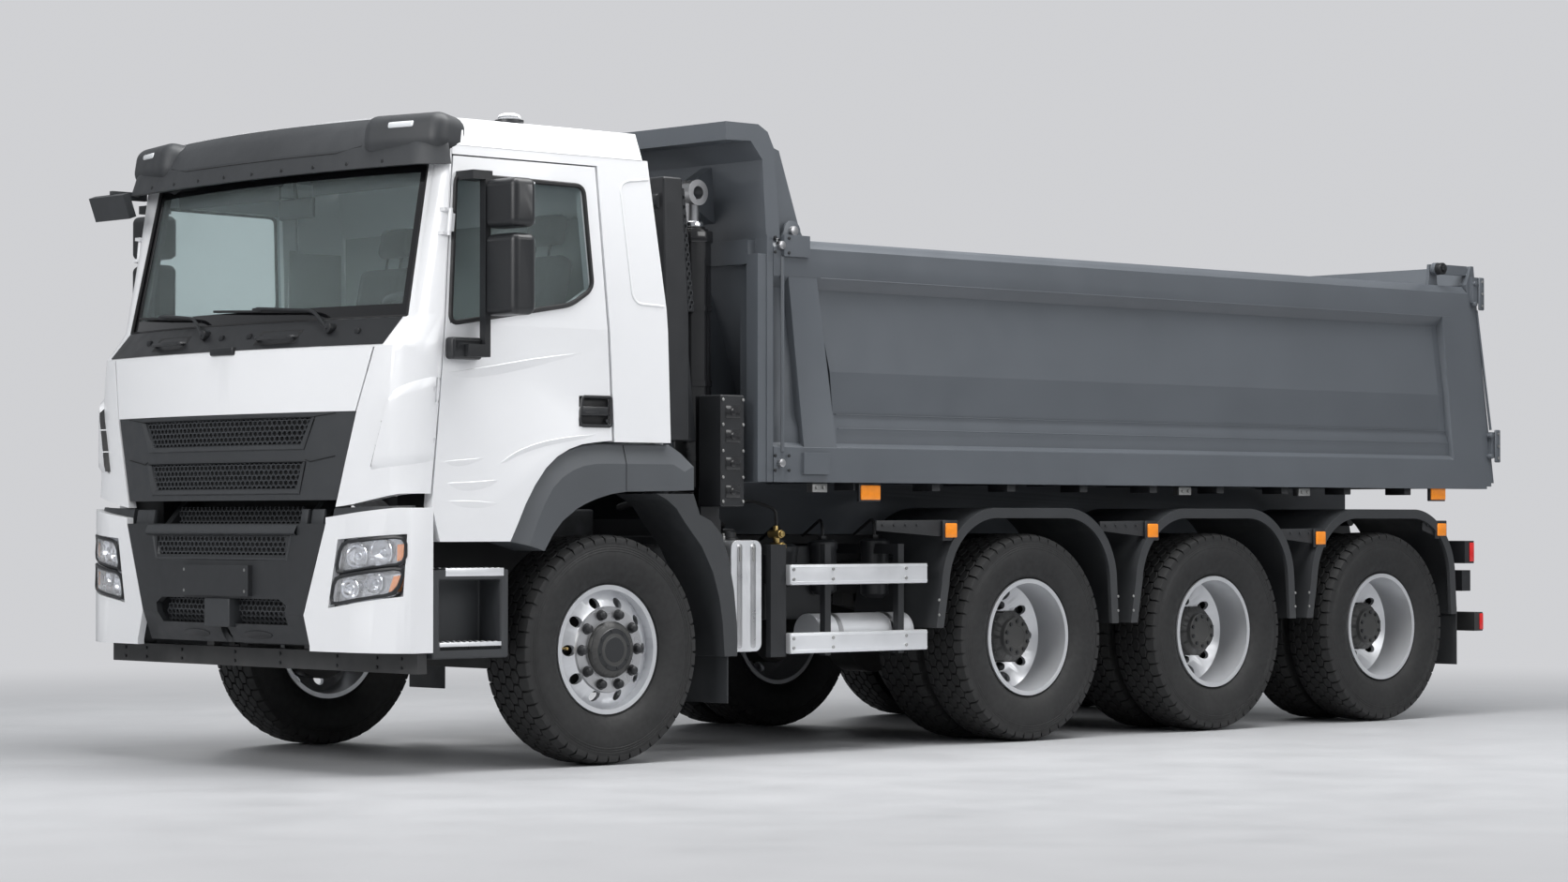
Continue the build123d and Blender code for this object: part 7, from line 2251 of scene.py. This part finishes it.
# ---------------------------------------------------------------- load body trim
@dataclass
class BodyTrim:
    """Hinge bolts, bars, latches, markers, weld beads and brackets of the load body."""

    def build(self) -> None:
        """Make all of the trim."""
        self.posts()
        self.tailgate_parts()
        self.under_parts()
        self.panels()
        self.welds()

    def posts(self) -> None:
        """Hinge brackets, pins and the long bar at the front posts."""
        steel, bolts, bars, plates = Form(), Form(), Form(), Form()
        for z in (1.400, 2.445):
            for dx, dz in ((-0.045, -0.035), (-0.045, 0.035), (0.045, -0.035), (0.045, 0.035)):
                bolts.bolt((front(-1.030 + dx), 1.262, z + dz), 0.0085, 0.008)
            steel.rod((front(-1.030), 1.240, z), (front(-1.030), 1.272, z), 0.020, 20, round_by=0.003)
        bars.bar(from_front((-1.045, 1.252, 1.455), (-1.045, 1.252, 2.392)), 0.0095, 0.0, 10)
        steel.rod((front(-1.129), 1.205, 2.519), (front(-1.129), 1.252, 2.519), 0.024, 24, round_by=0.004)
        ear = [(front(-1.129) + 0.055 * math.cos(a), 2.517 + 0.052 * math.sin(a))
               for a in (math.pi * i / 10 for i in range(11))]
        plates.prism(ear + from_front((-1.215, 2.470), (-1.045, 2.470)), Axis.Y, (1.218, 1.232), 0.002)
        both_sides("load_body", ((steel, "post_pins", Paints.STEEL), (bolts, "post_bolts", Paints.DARK_STEEL),
                                 (bars, "post_bars", Paints.BODY), (plates, "post_ears", Paints.BODY)))

    def tailgate_parts(self) -> None:
        """Latch levers with their pull rods and bolts, and the tailgate's pivot caps."""
        levers, rods, caps = Form(), Form(), Form()
        # columns: x from the front axle, z of a latch
        for x, z in ((-6.565, 2.440), (-6.715, 1.560)):
            levers.box(front_band(x, 0.024), (1.2625, 1.276), band(z, 0.095), 0.008, 3)
            for dz in (0.060, -0.060):
                levers.rod((front(x + 0.05), 1.215, z + dz), (front(x + 0.05), 1.272, z + dz), 0.014, 16,
                           round_by=0.002)
            for dz in (-0.070, 0.0, 0.070):
                caps.bolt((front(x), 1.276, z + dz), 0.009, 0.006)
        rods.bar(from_front((-6.560, 1.240, 2.345), (-6.690, 1.240, 1.655)), 0.008, 0.0, 10)
        both_sides("load_body", ((levers, "latch_levers", Paints.BODY), (rods, "latch_rods", Paints.BODY),
                                 (caps, "latch_bolts", Paints.ZINC)))
        pivots = Form()
        pivots.rod((front(-6.220), 1.205, 2.573), (front(-6.220), 1.262, 2.573), 0.034, 28, round_by=0.005)
        pivots.bolt((front(-6.220), 1.262, 2.573), 0.020, 0.012)
        pivots.mirrored()
        pivots.piece("tailgate_pivot_caps", Paints.DARK_STEEL, "load_body")

    def under_parts(self) -> None:
        """Markers, bright brackets and cross ties under the floor."""
        lenses, bases, brackets, ties = Form(), Form(), Form(), Form()
        for x, z in ((-1.658, 1.262), (-6.205, 1.282)):
            lenses.box(front_band(x, 0.066), (1.222, 1.234), band(z, 0.036), 0.006, 3)
            bases.box(front_band(x, 0.074), (1.206, 1.224), (z - 0.044, z + 0.048), 0.004)
        for x in (-1.330, -4.020, -5.020):
            brackets.box(front_band(x, 0.050), (1.170, 1.214), (1.262, 1.306), 0.004)
            brackets.bolt((front(x - 0.024), 1.214, 1.284), 0.009, 0.007)
            brackets.bolt((front(x + 0.024), 1.214, 1.284), 0.009, 0.007)
        for i in range(9):
            x = -1.60 - i * 0.545
            ties.box(front_band(x, 0.030), (1.060, 1.200), (1.272, 1.312), 0.004)
        both_sides("load_body", ((lenses, "body_markers", Paints.AMBER),
                                 (bases, "body_marker_bases", Paints.BLACK_PLASTIC),
                                 (brackets, "body_brackets", Paints.ZINC),
                                 (ties, "body_tie_ends", Paints.CHASSIS)))

    def panels(self) -> None:
        """The side panels, folded along a crease below their middle."""
        form = Form()
        # columns: height, y, x of the front and rear edges from the front axle
        rows = ((1.646, 1.2025, -1.425, -6.235), (1.848, 1.2225, -1.386, -6.220),
                (2.240, 1.2000, -1.308, -6.185))
        form.sheet(1, 2, lambda u, v: (front(rows[round(v * 2)][2] * (1.0 - u) + rows[round(v * 2)][3] * u),
                                       rows[round(v * 2)][1], rows[round(v * 2)][0]))
        form.thicken((0.0, -0.002, 0.0))
        form.mirrored()
        form.piece("side_panels", Paints.BODY, "load_body", smooth=1.0)

    def welds(self) -> None:
        """Fine weld beads where the side's bands and posts meet."""
        beads = Form()
        for y, z in ((1.2405, 1.4785), (1.2175, 1.5735), (1.2015, 1.6425)):
            beads.bar([(front(-1.44), y + 0.006, z), (front(-6.30), y + 0.006, z)], 0.0026, 0.0, 6)
        beads.bar(from_front((-1.30, 1.249, 2.2985), (-6.30, 1.249, 2.2985)), 0.0026, 0.0, 6)
        beads.mirrored()
        beads.piece("weld_beads", Paints.BODY, "load_body")


# ---------------------------------------------------------------- hoists
@dataclass
class HoistTrim:
    """Chrome collars, glands, hose unions and hoses of both hoists."""

    x: float = -0.734
    y: float = 0.950

    def build(self) -> None:
        """Make both hoists' trim."""
        collar, gland, union, hose = Form(), Form(), Form(), Form()
        place = (front(self.x), self.y, 0.0)
        collar.turned(((2.5215, 0.037), (2.5215, 0.056), (2.526, 0.058), (2.552, 0.058), (2.557, 0.055),
                       (2.557, 0.037)),
                      place, Axis.Z, 40)
        gland.turned(((2.455, 0.0925), (2.455, 0.0985), (2.460, 0.1005), (2.505, 0.1005), (2.511, 0.0975),
                      (2.511, 0.090)),
                     place, Axis.Z, 48)
        for z in (1.42, 1.78, 2.14):
            gland.turned(((z - 0.016, 0.0925), (z - 0.014, 0.0965), (z + 0.014, 0.0965), (z + 0.016, 0.0925)),
                         place, Axis.Z, 48)
        union.rod((front(self.x + 0.085), self.y, 1.335), (front(self.x + 0.150), self.y, 1.335), 0.022, 16,
                  round_by=0.003)
        union.bolt((front(self.x + 0.118), self.y, 1.335), 0.028, 0.016, Axis.X)
        hose.bar([(front(self.x + 0.145), self.y, 1.335), (front(self.x + 0.185), self.y - 0.03, 1.300),
                  (front(self.x + 0.170), self.y - 0.20, 1.215),
                  (front(self.x + 0.100), self.y - 0.42, 1.190)], 0.017, 0.04, 10)
        collar.mirrored()
        collar.piece("hoist_collars", Paints.CHROME, "hoist_stage_4")
        for form, name, finish, body in ((gland, "hoist_glands", Paints.GLOSS_BLACK, "hoist_barrel"),
                                         (union, "hoist_unions", Paints.ZINC, "hoist_barrel"),
                                         (hose, "hoist_hoses", Paints.SEAL, "chassis")):
            form.mirrored()
            form.piece(name, finish, body)


# ---------------------------------------------------------------- carried-over nodes
@dataclass
class CarriedNodes:
    """The CAD nodes whose shape is right, with rounded edges and their finishes."""

    frame: Frame

    # columns: node, finish, width of the rounded edges
    rows: tuple[tuple[str, Finish, float], ...] = (
        ("chassis_frame", Paints.CHASSIS, 0.003), ("axles", Paints.AXLE, 0.006),
        ("leaf_springs", Paints.AXLE, 0.003), ("engine", Paints.ENGINE, 0.012),
        ("tanks", Paints.ALUMINIUM, 0.006), ("side_guards", Paints.BLACK_PLASTIC, 0.004),
        ("chassis_boxes", Paints.BLACK_PLASTIC, 0.008), ("rear_mudguards", Paints.MUDGUARD, 0.003),
        ("front_mudguards", Paints.GREY_PLASTIC, 0.008), ("cab_steps", Paints.GREY_PLASTIC, 0.010),
        ("underrun_beams", Paints.CHASSIS, 0.004), ("cab_floor", Paints.CHASSIS, 0.004),
        ("cab_rear_shell", Paints.CAB, 0.012),
        ("air_intake", Paints.BLACK_PLASTIC, 0.012), ("sun_visor", Paints.GREY_PLASTIC, 0.010),
        ("cowl", Paints.BLACK_PLASTIC, 0.004), ("dashboard", Paints.DASH, 0.012),
        ("hood_panel", Paints.CAB, 0.005), ("grille", Paints.GREY_PLASTIC, 0.004),
        ("bed_floor", Paints.BODY, 0.003), ("bed_sides", Paints.BODY, 0.006),
        ("bed_headboard", Paints.BODY, 0.006), ("tailgate", Paints.BODY, 0.005),
        ("hoist_barrels", Paints.GLOSS_BLACK, 0.003), ("hoist_stage_1", Paints.GLOSS_BLACK, 0.002),
        ("hoist_stage_2", Paints.GLOSS_BLACK, 0.002), ("hoist_stage_3", Paints.GLOSS_BLACK, 0.002),
        ("hoist_stage_4", Paints.STEEL, 0.003), ("knuckle_left", Paints.AXLE, 0.004),
        ("knuckle_right", Paints.AXLE, 0.004))

    def build(self) -> None:
        """Dress every node."""
        for node, finish, width in self.rows:
            self.frame.dress(node, finish, width)
        for side in Side:
            self.frame.dress(f"door_{side.word}", Paints.CAB, 0.005)
            self.frame.dress(f"door_{side.word}_mirrors", Paints.BLACK_PLASTIC, 0.012)
            self.frame.dress(f"door_{side.word}_glass", Paints.GLASS, 0.0)
        self.frame.dress("windscreen", Paints.GLASS, 0.0)
        self.frame.dress("bumper", Paints.BUMPER, 0.008, keep=lambda c: abs(c.y) < 0.1)
        self.bend(self.frame.dress("bumper", Paints.CAB, 0.014, keep=lambda c: abs(c.y) >= 0.1, smooth=65.0),
                  self.pod_lift)
        self.bend(self.frame.dress("cab_front", Paints.CAB, 0.006), self.panel_lift)
        self.bend(self.frame.dress("cab_roof", Paints.CAB, 0.020), self.roof_lift)
        self.frame.dress("lamps", Paints.BLACK_PLASTIC, 0.006, keep=lambda c: c.x <= 0.0)

    @staticmethod
    def bend(made: bpy.types.Object, lift: Callable[[Vector], float]) -> None:
        """Raise a piece's corners.

        Args:
            made: the piece.
            lift: how far a corner rises.
        """
        for vert in made.data.vertices:
            vert.co.z += lift(vert.co)

    @staticmethod
    def pod_lift(co: Vector) -> float:
        """The lamp pods' top edge rises outward."""
        return -0.012 + 0.042 * min(1.0, (abs(co.y) - 0.80) / 0.40) if co.z > 1.13 else 0.0

    @staticmethod
    def panel_lift(co: Vector) -> float:
        """The corner panels' foot rises outward."""
        across = max(0.0, min(1.0, (abs(co.y) - 0.87) / 0.33))
        return 0.058 * across * max(0.0, min(1.0, (1.300 - co.z) / 0.115)) if co.x > front(1.0) else 0.0

    @staticmethod
    def roof_lift(co: Vector) -> float:
        """The roof's shoulders stand nearly as high as its middle."""
        if math.hypot(co.x - front(0.300), co.y - 0.838) < 0.06 and co.z > 2.93:
            return 2.936 - co.z
        eave, edge = 2.80, 2.875
        share = max(0.0, min(1.0, (co.z - eave) / (edge - eave)))
        return 0.052 * share * min(1.0, abs(co.y) / 1.15) ** 1.5


# ---------------------------------------------------------------- studio
@dataclass
class Studio:
    """Camera, floor, backdrop and lamps."""

    eye: Point = (13.8995, 14.396, 1.1128)
    heading: float = 43.018
    pitch: float = 1.2535
    lens: float = 86.15
    sensor: float = 36.0
    floor_colour: Colour = (0.465, 0.47, 0.483)
    fade_from: float = 4.0
    fade_to: float = 11.0
    backdrop_colour: Colour = (0.63, 0.635, 0.655)

    def build(self) -> None:
        """Set the camera, the stage and the light."""
        self.camera()
        self.floor()
        self.world()
        self.lamps()
        bpy.context.scene.view_settings.view_transform = "Standard"

    def camera(self) -> None:
        """Place the camera at the viewing angle."""
        data = bpy.data.cameras.new("camera")
        data.lens = self.lens
        data.sensor_width = self.sensor
        data.clip_end = 200.0
        made = bpy.data.objects.new("camera", data)
        turn, tilt = math.radians(self.heading), math.radians(self.pitch)
        ahead = Vector((-math.sin(turn) * math.cos(tilt), -math.cos(turn) * math.cos(tilt), math.sin(tilt)))
        made.rotation_euler = ahead.to_track_quat("-Z", "Y").to_euler()
        made.location = self.eye
        bpy.context.scene.collection.objects.link(made)
        bpy.context.scene.camera = made

    def floor(self) -> None:
        """A pale polished floor, wide enough to reach the horizon."""
        form = Form()
        bmesh.ops.create_grid(form.bm, x_segments=2, y_segments=2, size=120.0)
        mesh = bpy.data.meshes.new("studio_floor")
        form.bm.to_mesh(mesh)
        form.bm.free()
        made = bpy.data.objects.new("studio_floor", mesh)
        made.location = (0.0, 0.0, -0.001)
        bpy.context.scene.collection.objects.link(made)
        finish = Finish("studio_floor", self.floor_colour, 0.42, pattern=Pattern.PLAIN, mottle=0.02,
                        mottle_scale=0.5)
        material = finish.material()
        self.fade(material)
        made.data.materials.append(material)

    def fade(self, material: bpy.types.Material) -> None:
        """Let the floor turn into the backdrop's grey far from the truck, where it is looked at."""
        tree = material.node_tree
        place = tree.nodes.new("ShaderNodeTexCoord")
        length = tree.nodes.new("ShaderNodeVectorMath")
        length.operation = "LENGTH"
        reach = tree.nodes.new("ShaderNodeMapRange")
        reach.interpolation_type = "SMOOTHSTEP"
        reach.inputs["From Min"].default_value = self.fade_from
        reach.inputs["From Max"].default_value = self.fade_to
        paths = tree.nodes.new("ShaderNodeLightPath")
        shown = tree.nodes.new("ShaderNodeMath")
        shown.operation = "MULTIPLY"
        glow = tree.nodes.new("ShaderNodeEmission")
        glow.inputs["Color"].default_value = (*self.backdrop_colour, 1.0)
        mix = tree.nodes.new("ShaderNodeMixShader")
        tree.links.new(place.outputs["Object"], length.inputs[0])
        tree.links.new(length.outputs["Value"], reach.inputs["Value"])
        tree.links.new(reach.outputs["Result"], shown.inputs[0])
        tree.links.new(paths.outputs["Is Camera Ray"], shown.inputs[1])
        tree.links.new(shown.outputs[0], mix.inputs["Fac"])
        tree.links.new(tree.nodes["Principled BSDF"].outputs["BSDF"], mix.inputs[1])
        tree.links.new(glow.outputs["Emission"], mix.inputs[2])
        tree.links.new(mix.outputs["Shader"], tree.nodes["Material Output"].inputs["Surface"])

    def world(self) -> None:
        """Even light, with the backdrop's grey where the camera looks at it, straight or through glass."""
        world = bpy.data.worlds.new("studio_light")
        bpy.context.scene.world = world
        world.use_nodes = True
        tree = world.node_tree
        tree.nodes.clear()
        paths = tree.nodes.new("ShaderNodeLightPath")
        seen = tree.nodes.new("ShaderNodeBackground")
        seen.inputs["Color"].default_value = (*self.backdrop_colour, 1.0)
        lit = tree.nodes.new("ShaderNodeBackground")
        lit.inputs["Color"].default_value = (0.93, 0.96, 1.0, 1.0)
        lit.inputs["Strength"].default_value = 0.36
        pick = tree.nodes.new("ShaderNodeMixShader")
        out = tree.nodes.new("ShaderNodeOutputWorld")
        either = None
        for ray in ("Is Camera Ray", "Is Transmission Ray"):
            if either is None:
                either = paths.outputs[ray]
            else:
                most = tree.nodes.new("ShaderNodeMath")
                most.operation = "MAXIMUM"
                tree.links.new(either, most.inputs[0])
                tree.links.new(paths.outputs[ray], most.inputs[1])
                either = most.outputs[0]
        tree.links.new(either, pick.inputs["Fac"])
        tree.links.new(lit.outputs["Background"], pick.inputs[1])
        tree.links.new(seen.outputs["Background"], pick.inputs[2])
        tree.links.new(pick.outputs["Shader"], out.inputs["Surface"])

    def lamps(self) -> None:
        """Large soft lamps over the truck and beside it."""
        # columns: name, place, aim, width, height, power in watts
        rows = (("top_softbox", (1.0, 2.2, 8.5), (0.0, 0.3, 0.5), 9.0, 4.5, 1130.0),
                ("front_softbox", (11.0, 2.0, 5.0), (2.5, 0.0, 1.2), 5.0, 4.0, 420.0),
                ("side_softbox", (-1.0, 11.0, 6.0), (-1.0, 0.0, 1.2), 9.0, 4.0, 350.0),
                ("far_softbox", (-6.0, -9.0, 7.0), (0.0, 0.0, 1.5), 7.0, 4.0, 250.0))
        for name, place, aim, width, height, power in rows:
            data = bpy.data.lights.new(name, "AREA")
            data.shape = "RECTANGLE"
            data.size, data.size_y, data.energy = width, height, power
            made = bpy.data.objects.new(name, data)
            made.location = place
            made.rotation_euler = (Vector(aim) - Vector(place)).to_track_quat("-Z", "Y").to_euler()
            bpy.context.scene.collection.objects.link(made)


def main() -> None:
    """Build the truck's looks in order."""
    logging.basicConfig(level=logging.INFO, format="%(message)s")
    frame = Frame()
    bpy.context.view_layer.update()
    Studio().build()
    Tyres().build()
    Wheels(frame).build()
    Honeycombs().build()
    bumper = Skin(frame, "bumper", "lamps")
    Headlamps(bumper).build()
    BumperTrim(bumper).build()
    ScreenTrim(Skin(frame, "windscreen"), Skin(frame, "sun_visor"), Skin(frame, "cowl", "cab_front")).build()
    CornerPanels(Skin(frame, "cab_front")).build()
    doors = DoorTrim()
    doors.build()
    Creases(doors.wall).build()
    FaceLines(Skin(frame, "sun_visor")).build()
    WheelArches().build()
    MirrorGlasses().build()
    RoofAndBack(Skin(frame, "cab_roof")).build()
    Interior().build()
    StepTreads().build()
    TankParts().build()
    SideGear().build()
    ChassisLights().build()
    MudguardTrim().build()
    BodyTrim().build()
    HoistTrim().build()
    CarriedNodes(frame).build()


if __name__ == "__main__":
    main()
